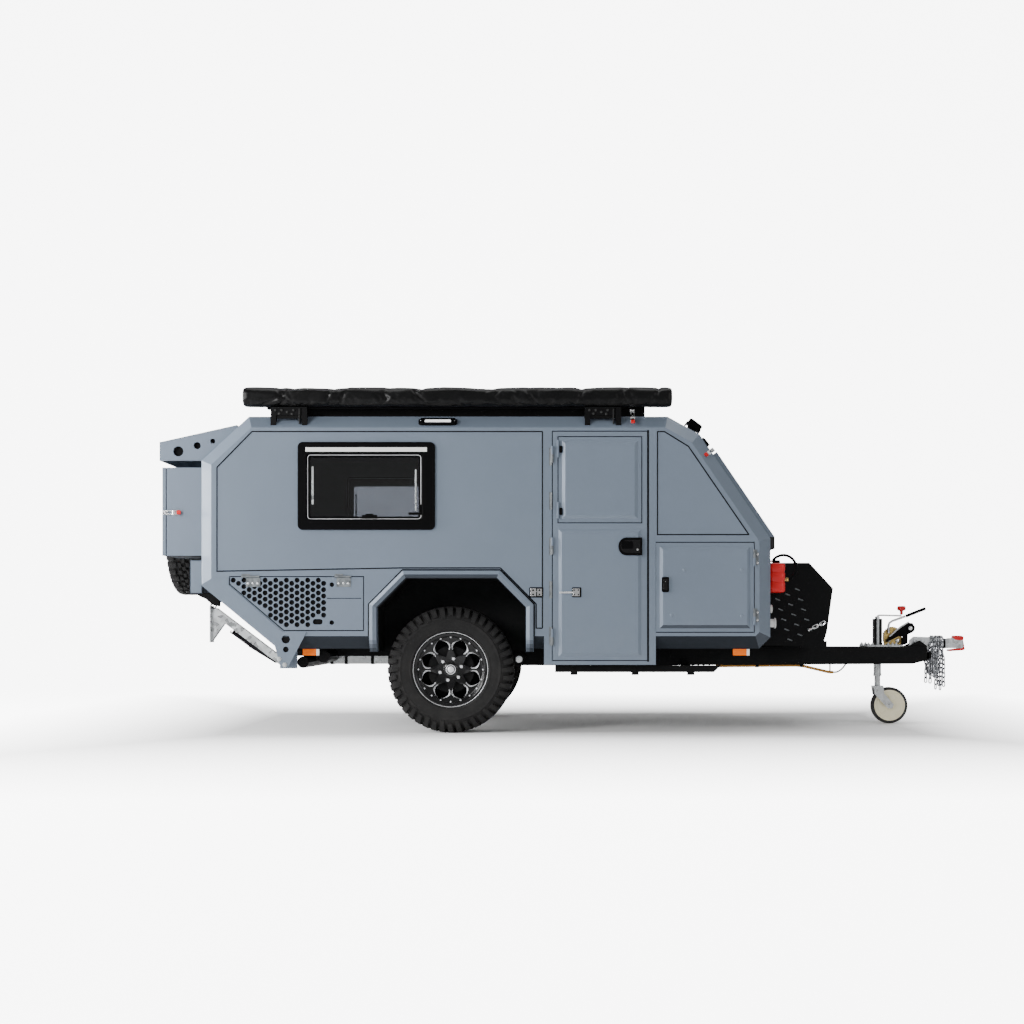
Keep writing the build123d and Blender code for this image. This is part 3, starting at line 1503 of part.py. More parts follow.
with BuildPart() as work_lamps:
    lamp_frame = Plane(origin=(axle_x - 78, -side + 34, roof_height - bevel + 34), x_dir=to_front, z_dir=(0, -1, 1))
    extrude(outline(lamp_frame, soft_box(-122, 122, -26, 26, 18)), amount=22)
    brow_frame = Plane(
        origin=((roof_front_x + brow_x) / 2, -side + lamp_inset, (roof_height + brow_height) / 2),
        x_dir=to_left,
        z_dir=(brow_drop, 0, brow_x - roof_front_x),
    )
    extrude(outline(brow_frame, soft_box(-45, 45, -42, 42, 12)), amount=72)
save(work_lamps, "work_lamps")

# Front rack: two slotted side plates, a floor and two cross rails
rack_half = side - rack_inset
rack_bottom = sill_height + rack_rise
rack_top = rack_bottom + rack_height
rack_side = [
    (nose_x, rack_bottom),
    (nose_x, rack_top),
    (nose_x + rack_reach * 0.655, rack_top),
    (nose_x + rack_reach, rack_top - 168),
    (nose_x + rack_reach - 40, rack_bottom + 92),
    (nose_x + rack_reach - 68, rack_bottom),
]
slot_start = (220, 175)
slot_across = (20, -66)
slot_down = (-65, -33)
with BuildPart() as front_rack:
    for sign in (-1, 1):
        with BuildSketch(Plane.XZ.offset(sign * rack_half - rack_sheet / 2)):
            with BuildLine():
                Polyline(*rack_side, close=True)
            make_face()
            for row in range(5):
                for column in range(3):
                    slot_x = slot_start[0] + row * slot_across[0] + column * slot_down[0]
                    slot_z = slot_start[1] - row * slot_across[1] - column * slot_down[1]
                    if slot_x < 30 or slot_z > rack_height - 40:
                        continue
                    with Locations((nose_x + slot_x, rack_top - slot_z)):
                        Rectangle(slot_length, slot_width, rotation=-slot_tilt, mode=Mode.SUBTRACT)
        extrude(amount=rack_sheet)
    rack_floor = box_points(nose_x, nose_x + rack_reach - 68, rack_bottom, rack_bottom + 8)
    extrude(outline(Plane.XZ, rack_floor), amount=rack_half, both=True)
    for rail_z, rail_x in ((rack_bottom + 60, nose_x + rack_reach - 82), (rack_top - 200, nose_x + rack_reach - 42)):
        cross_rail = box_points(rail_x, rail_x + 30, rail_z, rail_z + 44)
        extrude(outline(Plane.XZ, cross_rail), amount=rack_half, both=True)
    rack_foot = box_points(nose_x, nose_x + 330, sill_height, rack_bottom)
    for sign in (-1, 1):
        extrude(outline(Plane.XZ.offset(sign * rail_line(nose_x + 165) - 20), rack_foot), amount=40)
save(front_rack, "front_rack")

with BuildPart() as fuel_can:
    can_y = -(side - can_inset) + can_width / 2
    can_plan = soft_box(nose_x, nose_x + can_depth, can_y - can_width / 2, can_y + can_width / 2, can_corner)
    extrude(outline(Plane.XY.offset(can_bottom), can_plan), amount=can_height)
    with BuildSketch(Plane.XY.offset(can_bottom + can_height)):
        with Locations((nose_x + can_depth / 2, can_y - can_width / 4)):
            RegularPolygon(can_cap_radius, 12)
    extrude(amount=22)
save(fuel_can, "fuel_can")

# Step rail under the door, with hangers from the chassis
step_x = axle_x + step_ahead
step_y = side - step_inset
step_top = sill_height - step_drop
step_low = step_top - step_height
rail_side = rail_spread + rail_width / 2
with BuildPart() as step_rail:
    bar = [
        (step_x, step_low),
        (step_x, step_top),
        (step_x + step_length, step_top),
        (step_x + step_length - 44, step_low),
    ]
    extrude(outline(Plane.XZ.offset(step_y - step_depth / 2), bar), amount=step_depth)
    for ahead in (120, 508, 862):
        hanger = box_points(step_x + ahead - 20, step_x + ahead + 20, step_low + 6, step_top - 6)
        extrude(outline(Plane.XZ.offset(rail_side), hanger), amount=step_y - step_depth / 2 - rail_side)
        post = box_points(step_x + ahead - 20, step_x + ahead + 20, step_top - 6, rail_bottom + 40)
        extrude(outline(Plane.XZ.offset(rail_side), post), amount=8)
save(step_rail, "step_rail")

# Water tank between the rear rails and the conduit under the drawbar
with BuildPart() as water_tank:
    tank_x = rail_step_x - tank_gap - tank_length
    tank_y = rail_spread - rail_width / 2 - tank_gap
    tank_plan = soft_box(tank_x + 36, rail_step_x - tank_gap, -tank_y, tank_y, 24)
    extrude(outline(Plane.XY.offset(sill_height), tank_plan), amount=-tank_height)
    for tube_x, tube_z in ((axle_x - 952, sill_height - 88), (axle_x - 818, sill_height - 54)):
        with BuildSketch(Plane.XZ):
            with Locations((tube_x, tube_z)):
                RegularPolygon(cross_tube_radius + 1, 12)
        extrude(amount=side, both=True, mode=Mode.SUBTRACT)
save(water_tank, "water_tank")

conduit_z = rail_bottom - conduit_radius
conduit_stops = [(1740, 0, 0), (2160, 0, 0), (2330, 0, 42), (2352, 0, 42)]
conduit_points = []
for ahead, out, drop in conduit_stops:
    conduit_points.append((axle_x + ahead, -rail_line(axle_x + ahead) - out, conduit_z - drop))
with BuildPart() as conduit:
    with BuildLine() as conduit_path:
        Polyline(*conduit_points)
    start = Vector(*conduit_points[0])
    run = Vector(*conduit_points[1]) - start
    with BuildSketch(Plane(origin=start, x_dir=(0, 0, 1), z_dir=run)):
        RegularPolygon(conduit_radius, 8)
    sweep(path=conduit_path.line, transition=Transition.RIGHT)
    with BuildSketch(Plane.XY.offset(conduit_z - 42)):
        with Locations((axle_x + 2340, -rail_line(axle_x + 2340))):
            RegularPolygon(7, 8)
    extrude(amount=42 + conduit_radius)
save(conduit, "conduit")

# Bed inside the rear half, on the wheel tubs
with BuildPart() as bed:
    bed_bottom = arch_top_height + tub_sheet
    bed_box = box_points(rear_x + wall, frame_x - 40, bed_bottom, bed_bottom + bed_thickness)
    extrude(outline(Plane.XZ, bed_box), amount=across - bed_margin, both=True)
save(bed, "bed")
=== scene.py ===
import math
import random

import bmesh
import bpy
from mathutils import Matrix, Vector


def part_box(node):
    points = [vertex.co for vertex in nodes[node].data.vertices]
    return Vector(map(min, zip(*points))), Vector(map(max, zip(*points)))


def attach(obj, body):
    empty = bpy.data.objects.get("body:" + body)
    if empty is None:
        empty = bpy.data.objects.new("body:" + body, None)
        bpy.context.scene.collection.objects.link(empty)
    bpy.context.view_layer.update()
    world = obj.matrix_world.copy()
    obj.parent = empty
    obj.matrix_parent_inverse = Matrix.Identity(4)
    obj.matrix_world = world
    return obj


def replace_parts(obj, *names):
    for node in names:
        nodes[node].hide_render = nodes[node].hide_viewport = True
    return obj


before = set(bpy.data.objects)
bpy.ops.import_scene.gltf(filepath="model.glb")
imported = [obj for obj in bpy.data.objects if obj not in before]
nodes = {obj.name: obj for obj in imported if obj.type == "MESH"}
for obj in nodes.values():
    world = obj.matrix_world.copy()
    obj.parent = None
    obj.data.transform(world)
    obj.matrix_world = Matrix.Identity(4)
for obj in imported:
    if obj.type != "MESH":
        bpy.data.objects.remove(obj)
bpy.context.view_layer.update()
bothSides = ((-1, "Right"), (1, "Left"))
print("frame loaded:", len(nodes), "nodes")


# small makers that many pieces use
def boxOf(node):
    low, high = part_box(node)
    return Vector(low), Vector(high)


def finishPiece(name, mesh, finish, body="trailer"):
    obj = bpy.data.objects.new(name, mesh)
    bpy.context.scene.collection.objects.link(obj)
    for label in finish.split():
        mesh.materials.append(mats[label])
    mesh.polygons.foreach_set("use_smooth", [True] * len(mesh.polygons))
    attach(obj, body)
    return obj


def meshFrom(name, verts, faces):
    mesh = bpy.data.meshes.new(name)
    mesh.from_pydata([tuple(v) for v in verts], [], faces)
    mesh.update()
    return mesh


def setInputs(node, values):
    for label, value in values.items():
        node.inputs[label].default_value = value


def keepSharp(obj, angle=35):  # smooth shading that still shows real edges
    for edge in obj.data.edges:
        edge.use_edge_sharp = False
    obj.data.set_sharp_from_angle(angle=math.radians(angle))


def soften(obj, width, segments=2, angle=40):  # rounded edges as a modifier
    mod = obj.modifiers.new("soft edges", "BEVEL")
    mod.width = width
    mod.segments = segments
    mod.limit_method = "ANGLE"
    mod.angle_limit = math.radians(angle)
    mod.harden_normals = True
    return obj


def polar(radius, angle, height):
    return Vector((radius * math.cos(angle), radius * math.sin(angle), height))


class Gather:  # collects boxes, tubes and turned shapes into one mesh
    def __init__(self):
        self.verts = []
        self.faces = []
        self.matIndex = []

    def add(self, verts, faces, mat=0):
        start = len(self.verts)
        self.verts += [Vector(v) for v in verts]
        self.faces += [tuple(i + start for i in f) for f in faces]
        self.matIndex += [mat] * len(faces)

    def box(self, one, other, mat=0, turn=None):  # two opposite corners in any order
        xs, ys, zs = (sorted(pair) for pair in zip(one, other))
        corners = [Vector((x, y, z)) for x in xs for y in ys for z in zs]
        if turn:
            corners = [turn @ c for c in corners]
        self.add(corners, [(0, 1, 3, 2), (4, 6, 7, 5), (0, 4, 5, 1), (2, 3, 7, 6), (0, 2, 6, 4),
            (1, 5, 7, 3)], mat)

    def prism(self, points, thick, place, mat=0):  # points in the plane of place, thickness along its Z
        count = len(points)
        verts = [place @ Vector((x, y, -thick / 2)) for x, y in points]
        verts += [place @ Vector((x, y, thick / 2)) for x, y in points]
        faces = [tuple(range(count))[::-1], tuple(range(count, 2 * count))]
        faces += [(i, (i + 1) % count, count + (i + 1) % count, count + i) for i in range(count)]
        self.add(verts, faces, mat)

    # profile of radius and height, axis Z of place
    def turned(self, profile, place, sides=24, mat=0, closed=False):
        rows = []
        verts = []
        for radius, height in profile:
            if radius < 1e-6:
                rows.append([len(verts)])
                verts.append(place @ Vector((0, 0, height)))
                continue
            rows.append(list(range(len(verts), len(verts) + sides)))
            for k in range(sides):
                a = 2 * math.pi * k / sides
                verts.append(place @ polar(radius, a, height))
        faces = []
        pairs = list(zip(rows, rows[1:]))
        if closed:
            pairs.append((rows[-1], rows[0]))
        for low, high in pairs:
            for k in range(sides):
                n = (k + 1) % sides
                if len(low) == 1 and len(high) == 1:
                    continue
                if len(low) == 1:
                    faces.append((low[0], high[n], high[k]))
                elif len(high) == 1:
                    faces.append((low[k], low[n], high[0]))
                else:
                    faces.append((low[k], low[n], high[n], high[k]))
        self.add(verts, faces, mat)

    def tube(self, points, radius, sides=10, mat=0, cap=True):  # round bar through points
        points = [Vector(p) for p in points]
        rings = []
        side = None
        verts = []
        for i, p in enumerate(points):
            ahead = points[min(i + 1, len(points) - 1)] - points[max(i - 1, 0)]
            ahead.normalize()
            if side is None:
                side = ahead.orthogonal().normalized()
            side = (side - ahead * side.dot(ahead)).normalized()
            up = ahead.cross(side)
            rings.append(len(verts))
            for k in range(sides):
                a = 2 * math.pi * k / sides
                verts.append(p + radius * (math.cos(a) * side + math.sin(a) * up))
        faces = []
        for r, s in zip(rings, rings[1:]):
            for k in range(sides):
                n = (k + 1) % sides
                faces.append((r + k, r + n, s + n, s + k))
        if cap:
            faces.append(tuple(range(rings[0], rings[0] + sides))[::-1])
            faces.append(tuple(range(rings[-1], rings[-1] + sides)))
        self.add(verts, faces, mat)

    def piece(self, name, finish, slotName, body="trailer", sharp=35, bevel=0.0):
        mesh = meshFrom(name, self.verts, self.faces)
        mesh.polygons.foreach_set("material_index", self.matIndex)
        fixer = bmesh.new()
        fixer.from_mesh(mesh)
        bmesh.ops.recalc_face_normals(fixer, faces=fixer.faces)
        fixer.to_mesh(mesh)
        fixer.free()
        obj = finishPiece(name, mesh, finish, body)
        keepSharp(obj, sharp)
        if bevel:
            soften(obj, bevel)
        return obj


def facing(origin, normal, up=(0, 0, 1)):  # a matrix whose Z axis is the normal and whose Y axis is near up
    z = Vector(normal).normalized()
    x = Vector(up).cross(z)
    if x.length < 1e-6:
        x = Vector((1, 0, 0))
    x.normalize()
    y = z.cross(x)
    turn = Matrix((x, y, z)).transposed().to_4x4()
    return Matrix.Translation(Vector(origin)) @ turn


def shiftBy(x, y, z):
    return Matrix.Translation((x, y, z))


def roundedBox(x0, x1, z0, z1, radius, steps=6):  # outline, counter-clockwise
    points = []
    for cx, cz, start in ((x1 - radius, z0 + radius, -90), (x1 - radius, z1 - radius, 0),
            (x0 + radius, z1 - radius, 90), (x0 + radius, z0 + radius, 180)):
        for k in range(steps + 1):
            a = math.radians(start + 90 * k / steps)
            points.append((cx + radius * math.cos(a), cz + radius * math.sin(a)))
    return points


def circlePoints(x, z, radius, sides=18):
    return [(x + radius * math.cos(2 * math.pi * k / sides), z + radius * math.sin(2 * math.pi * k / sides))
        for k in range(sides)]


def flatPlate(name, outline, holes, thick, yMiddle, finish, body="trailer", bevel=0.0):
    # a plate in an upright plane along X, cut by holes, made from a filled curve
    curve = bpy.data.curves.new(name + "Line", "CURVE")
    curve.dimensions = "2D"
    curve.fill_mode = "BOTH"
    curve.extrude = thick / 2 - bevel
    curve.bevel_depth = bevel
    curve.bevel_resolution = 1
    curve.offset = -bevel
    for points in [outline] + holes:
        spline = curve.splines.new("POLY")
        spline.points.add(len(points) - 1)
        for point, (x, z) in zip(spline.points, points):
            point.co = (x, z, 0, 1)
        spline.use_cyclic_u = True
    holder = bpy.data.objects.new(name + "Line", curve)
    bpy.context.scene.collection.objects.link(holder)
    bpy.context.view_layer.update()
    mesh = bpy.data.meshes.new_from_object(holder.evaluated_get(bpy.context.evaluated_depsgraph_get()))
    bpy.data.objects.remove(holder)
    bpy.data.curves.remove(curve)
    mesh.materials.clear()
    mesh.transform(shiftBy(0, yMiddle, 0) @ Matrix.Rotation(math.pi / 2, 4, "X"))
    obj = finishPiece(name, mesh, finish, body)
    keepSharp(obj, 30)
    return obj


print("makers ready")


# shared surface effects as node groups
def newGroup(name, inputs, outputs):
    group = bpy.data.node_groups.new(name, "ShaderNodeTree")
    for label, value in inputs:
        kind = "NodeSocketColor" if isinstance(value, tuple) else "NodeSocketFloat"
        socket = group.interface.new_socket(label, in_out="INPUT", socket_type=kind)
        socket.default_value = value
    for label in outputs:
        kind = "NodeSocketColor" if label == "Colour" else "NodeSocketFloat"
        group.interface.new_socket(label, in_out="OUTPUT", socket_type=kind)
    return group, group.nodes.new("NodeGroupInput"), group.nodes.new("NodeGroupOutput")


def mathNode(tree, kind, a, b=None, clamp=False):
    node = tree.nodes.new("ShaderNodeMath")
    node.operation = kind
    node.use_clamp = clamp
    for socket, value in zip(node.inputs, (a, b)):
        if value is None:
            continue
        if hasattr(value, "is_output"):
            tree.links.new(value, socket)
        else:
            socket.default_value = value
    return node.outputs[0]


def noiseNode(tree, vector, scale, detail=4.0, rough=0.55):
    node = tree.nodes.new("ShaderNodeTexNoise")
    setInputs(node, {"Detail": detail, "Roughness": rough})
    if vector is not None:
        tree.links.new(vector, node.inputs["Vector"])
    if hasattr(scale, "is_output"):
        tree.links.new(scale, node.inputs["Scale"])
    else:
        node.inputs["Scale"].default_value = scale
    return node.outputs["Fac"]


def spread(tree, value, low, high):  # stretches low..high to 0..1
    node = tree.nodes.new("ShaderNodeMapRange")
    tree.links.new(value, node.inputs["Value"])
    setInputs(node, {"From Min": low, "From Max": high})
    return node.outputs["Result"]


def mixColour(tree, factor, a, b, mode="MIX"):
    node = tree.nodes.new("ShaderNodeMix")
    node.data_type = "RGBA"
    node.blend_type = mode
    for socket, value in ((node.inputs[0], factor), (node.inputs[6], a), (node.inputs[7], b)):
        if hasattr(value, "is_output"):
            tree.links.new(value, socket)
        elif isinstance(value, (int, float)):
            socket.default_value = value
        else:
            socket.default_value = (*value, 1) if len(value) == 3 else value
    return node.outputs[2]


def buildGrainGroup():  # colour drift, roughness drift and fine height for paint, plastic and rubber
    group, inlet, outlet = newGroup(
        "surfaceGrain",
        [("Colour", (0.5, 0.5, 0.5, 1)), ("Drift", 0.06), ("Drift Scale", 3.0),
         ("Grain Scale", 400.0), ("Roughness", 0.4), ("Roughness Drift", 0.08)],
        ["Colour", "Roughness", "Height"])
    place = group.nodes.new("ShaderNodeTexCoord").outputs["Object"]
    broad = noiseNode(group, place, inlet.outputs["Drift Scale"])
    fine = noiseNode(group, place, inlet.outputs["Grain Scale"], 2.0)
    swing = mathNode(group, "MULTIPLY", mathNode(group, "SUBTRACT", broad, 0.5), inlet.outputs["Drift"])
    level = mathNode(group, "ADD", mathNode(group, "MULTIPLY", swing, 2.0), 1.0)
    tone = group.nodes.new("ShaderNodeVectorMath")
    tone.operation = "SCALE"
    group.links.new(inlet.outputs["Colour"], tone.inputs[0])
    group.links.new(level, tone.inputs["Scale"])
    group.links.new(tone.outputs[0], outlet.inputs["Colour"])
    gloss = mathNode(group, "MULTIPLY", mathNode(group, "SUBTRACT", broad, 0.5),
        inlet.outputs["Roughness Drift"])
    group.links.new(mathNode(group, "ADD", gloss, inlet.outputs["Roughness"], True),
        outlet.inputs["Roughness"])
    group.links.new(fine, outlet.inputs["Height"])
    return group


def buildDustGroup():  # pale road dust that thins out with height and breaks up in patches
    group, inlet, outlet = newGroup(
        "roadDust",
        [("Colour", (0.5, 0.5, 0.5, 1)), ("Dust", (0.45, 0.42, 0.38, 1)), ("Top", 0.7),
         ("Strength", 0.2)],
        ["Colour", "Mask"])
    spot = group.nodes.new("ShaderNodeNewGeometry").outputs["Position"]
    split = group.nodes.new("ShaderNodeSeparateXYZ")
    group.links.new(spot, split.inputs[0])
    rise = mathNode(group, "DIVIDE", split.outputs["Z"], inlet.outputs["Top"])
    fade = mathNode(group, "SUBTRACT", 1.0, rise, True)
    patch = spread(group, noiseNode(group, spot, 9.0, 6.0, 0.65), 0.35, 0.7)
    mask = mathNode(group, "MULTIPLY", mathNode(group, "MULTIPLY", fade, patch),
        inlet.outputs["Strength"], True)
    group.links.new(mask, outlet.inputs["Mask"])
    group.links.new(mixColour(group, mask, inlet.outputs["Colour"], inlet.outputs["Dust"]),
        outlet.inputs["Colour"])
    return group


def buildScratchGroup():  # drawn streaks along X for brushed or zinc coated metal, with soft spangle
    group, inlet, outlet = newGroup(
        "metalStreak",
        [("Colour", (0.6, 0.6, 0.6, 1)), ("Spangle Scale", 60.0), ("Spangle", 0.15),
         ("Roughness", 0.35)],
        ["Colour", "Roughness", "Height"])
    place = group.nodes.new("ShaderNodeTexCoord").outputs["Object"]
    cells = group.nodes.new("ShaderNodeTexVoronoi")
    group.links.new(place, cells.inputs["Vector"])
    group.links.new(inlet.outputs["Spangle Scale"], cells.inputs["Scale"])
    grey = group.nodes.new("ShaderNodeSeparateColor")
    group.links.new(cells.outputs["Color"], grey.inputs[0])
    swing = mathNode(group, "MULTIPLY", mathNode(group, "SUBTRACT", grey.outputs[0], 0.5),
        inlet.outputs["Spangle"])
    tone = group.nodes.new("ShaderNodeVectorMath")
    tone.operation = "SCALE"
    group.links.new(inlet.outputs["Colour"], tone.inputs[0])
    group.links.new(mathNode(group, "ADD", swing, 1.0), tone.inputs["Scale"])
    group.links.new(tone.outputs[0], outlet.inputs["Colour"])
    group.links.new(mathNode(group, "ADD", swing, inlet.outputs["Roughness"], True),
        outlet.inputs["Roughness"])
    group.links.new(noiseNode(group, place, 220.0, 3.0), outlet.inputs["Height"])
    return group


def buildUnderGroup():  # painted shade: near-black on faces that look down, standing in for the shade a dark ground leaves there
    group, inlet, outlet = newGroup(
        "underShade",
        [("Colour", (0.5, 0.5, 0.5, 1)), ("Shade Colour", (0.007, 0.01, 0.015, 1)), ("Strength", 0.85)],
        ["Colour", "Mask"])
    split = group.nodes.new("ShaderNodeSeparateXYZ")
    group.links.new(group.nodes.new("ShaderNodeNewGeometry").outputs["True Normal"], split.inputs[0])
    down = spread(group, mathNode(group, "MULTIPLY", split.outputs["Z"], -1.0), 0.22, 0.6)
    mask = mathNode(group, "MULTIPLY", down, inlet.outputs["Strength"], True)
    group.links.new(mask, outlet.inputs["Mask"])
    group.links.new(mixColour(group, mask, inlet.outputs["Colour"], inlet.outputs["Shade Colour"]),
        outlet.inputs["Colour"])
    return group


def buildInwardGroup():  # near-black colour on faces that look towards the middle of the cabin
    group, inlet, outlet = newGroup(
        "inwardDarkening",
        [("Colour", (0.5, 0.5, 0.5, 1)), ("Inward Colour", (0.012, 0.013, 0.015, 1))],
        ["Colour", "Mask"])
    geometry = group.nodes.new("ShaderNodeNewGeometry")
    where = group.nodes.new("ShaderNodeSeparateXYZ")
    way = group.nodes.new("ShaderNodeSeparateXYZ")
    group.links.new(geometry.outputs["Position"], where.inputs[0])
    group.links.new(geometry.outputs["True Normal"], way.inputs[0])
    inward = mathNode(group, "MULTIPLY", mathNode(group, "MULTIPLY",
        mathNode(group, "SIGN", where.outputs["Y"]), way.outputs["Y"]), -1.0)
    mask = spread(group, inward, 0.3, 0.6)
    group.links.new(mask, outlet.inputs["Mask"])
    group.links.new(mixColour(group, mask, inlet.outputs["Colour"], inlet.outputs["Inward Colour"]),
        outlet.inputs["Colour"])
    return group


def buildCreaseGroup():  # crumpled cloth: ridges where two stretched noises cross
    group, inlet, outlet = newGroup(
        "clothCrease",
        [("Scale", 9.0), ("Stretch", 0.22), ("Weave", 0.015)],
        ["Height"])
    place = group.nodes.new("ShaderNodeTexCoord").outputs["Object"]
    split = group.nodes.new("ShaderNodeSeparateXYZ")
    group.links.new(place, split.inputs[0])
    join = group.nodes.new("ShaderNodeCombineXYZ")
    group.links.new(mathNode(group, "MULTIPLY", split.outputs["X"], inlet.outputs["Stretch"]),
        join.inputs[0])
    group.links.new(split.outputs["Y"], join.inputs[1])
    group.links.new(split.outputs["Z"], join.inputs[2])
    broad = noiseNode(group, join.outputs[0], inlet.outputs["Scale"], 3.0, 0.5)
    cross = noiseNode(group, place, mathNode(group, "MULTIPLY", inlet.outputs["Scale"], 2.3), 2.0, 0.5)
    ridge = mathNode(group, "SUBTRACT", 1.0, mathNode(group, "MULTIPLY",
        mathNode(group, "ABSOLUTE", mathNode(group, "SUBTRACT", broad, 0.5)), 3.2), True)
    small = mathNode(group, "SUBTRACT", 1.0, mathNode(group, "MULTIPLY",
        mathNode(group, "ABSOLUTE", mathNode(group, "SUBTRACT", cross, 0.5)), 4.0), True)
    fine = noiseNode(group, place, 700.0, 1.0)
    total = mathNode(group, "ADD", ridge, mathNode(group, "MULTIPLY", small, 0.18))
    group.links.new(mathNode(group, "ADD", total, mathNode(group, "MULTIPLY", fine,
        inlet.outputs["Weave"])), outlet.inputs["Height"])
    return group


surfaceGrain = buildGrainGroup()
roadDust = buildDustGroup()
metalStreak = buildScratchGroup()
underShade = buildUnderGroup()
inwardDarkening = buildInwardGroup()
clothCrease = buildCreaseGroup()


def newMaterial(name):
    mat = bpy.data.materials.new(name)
    mat.use_nodes = True
    tree = mat.node_tree
    return mat, tree, tree.nodes["Principled BSDF"]


def placeGroup(tree, group, values):
    node = tree.nodes.new("ShaderNodeGroup")
    node.node_tree = group
    for label, value in values.items():
        socket = node.inputs[label]
        if hasattr(value, "is_output"):
            tree.links.new(value, socket)
        elif isinstance(value, (int, float)):
            socket.default_value = value
        else:
            socket.default_value = (*value, 1)
    return node


def addBump(tree, shader, height, strength, distance):
    bump = tree.nodes.new("ShaderNodeBump")
    setInputs(bump, {"Strength": strength, "Distance": distance})
    tree.links.new(height, bump.inputs["Height"])
    tree.links.new(bump.outputs["Normal"], shader.inputs["Normal"])


def coatedMaterial(name, look):  # paint, plastic and rubber
    mat, tree, shader = newMaterial(name)
    grain = placeGroup(tree, surfaceGrain, {"Colour": look["colour"], "Drift": look.get("drift", 0.06),
        "Drift Scale": look.get("driftScale", 3.0), "Grain Scale": look.get("grainScale", 400.0),
        "Roughness": look["rough"], "Roughness Drift": look.get("roughDrift", 0.1)})
    colour = grain.outputs["Colour"]
    if look.get("dust"):
        dust = placeGroup(tree, roadDust, {"Colour": colour,
            "Dust": look.get("dustColour", (0.42, 0.4, 0.37)), "Top": look.get("dustTop", 0.8),
            "Strength": look["dust"]})
        colour = dust.outputs["Colour"]
    # painted shade on faces that look down
    if look.get("under"):
        shade = placeGroup(tree, underShade, {"Colour": colour, "Strength": look["under"]})
        colour = shade.outputs["Colour"]
    if look.get("darkInside"):
        colour = placeGroup(tree, inwardDarkening, {"Colour": colour}).outputs["Colour"]
    tree.links.new(colour, shader.inputs["Base Color"])
    tree.links.new(grain.outputs["Roughness"], shader.inputs["Roughness"])
    setInputs(shader, {"Metallic": look.get("metal", 0.0), "Coat Weight": look.get("coat", 0.0)})
    if look.get("under"):  # no shine where the painted shade sits
        tree.links.new(mathNode(tree, "MULTIPLY", mathNode(tree, "SUBTRACT", 1.0, shade.outputs["Mask"]),
            look["coat"]), shader.inputs["Coat Weight"])
        tree.links.new(mathNode(tree, "MAXIMUM", grain.outputs["Roughness"], shade.outputs["Mask"]),
            shader.inputs["Roughness"])
    setInputs(shader, {"Coat Roughness": look.get("coatRough", 0.1),
        "Specular IOR Level": look.get("specular", 0.5)})
    height = grain.outputs["Height"]
    if look.get("crease"):
        height = placeGroup(tree, clothCrease, {"Scale": look["crease"]}).outputs["Height"]
    addBump(tree, shader, height, look.get("bump", 0.1), look.get("bumpDepth", 0.0004))
    return mat


def metalMaterial(name, look):
    mat, tree, shader = newMaterial(name)
    streak = placeGroup(tree, metalStreak, {"Colour": look["colour"],
        "Spangle Scale": look.get("spangleScale", 60.0), "Spangle": look.get("spangle", 0.15),
        "Roughness": look["rough"]})
    colour = streak.outputs["Colour"]
    if look.get("dust"):
        dust = placeGroup(tree, roadDust, {"Colour": colour, "Dust": (0.35, 0.33, 0.3),
            "Top": look.get("dustTop", 0.8), "Strength": look["dust"]})
        colour = dust.outputs["Colour"]
    tree.links.new(colour, shader.inputs["Base Color"])
    tree.links.new(streak.outputs["Roughness"], shader.inputs["Roughness"])
    shader.inputs["Metallic"].default_value = look.get("metal", 1.0)
    addBump(tree, shader, streak.outputs["Height"], look.get("bump", 0.08), 0.0003)
    return mat


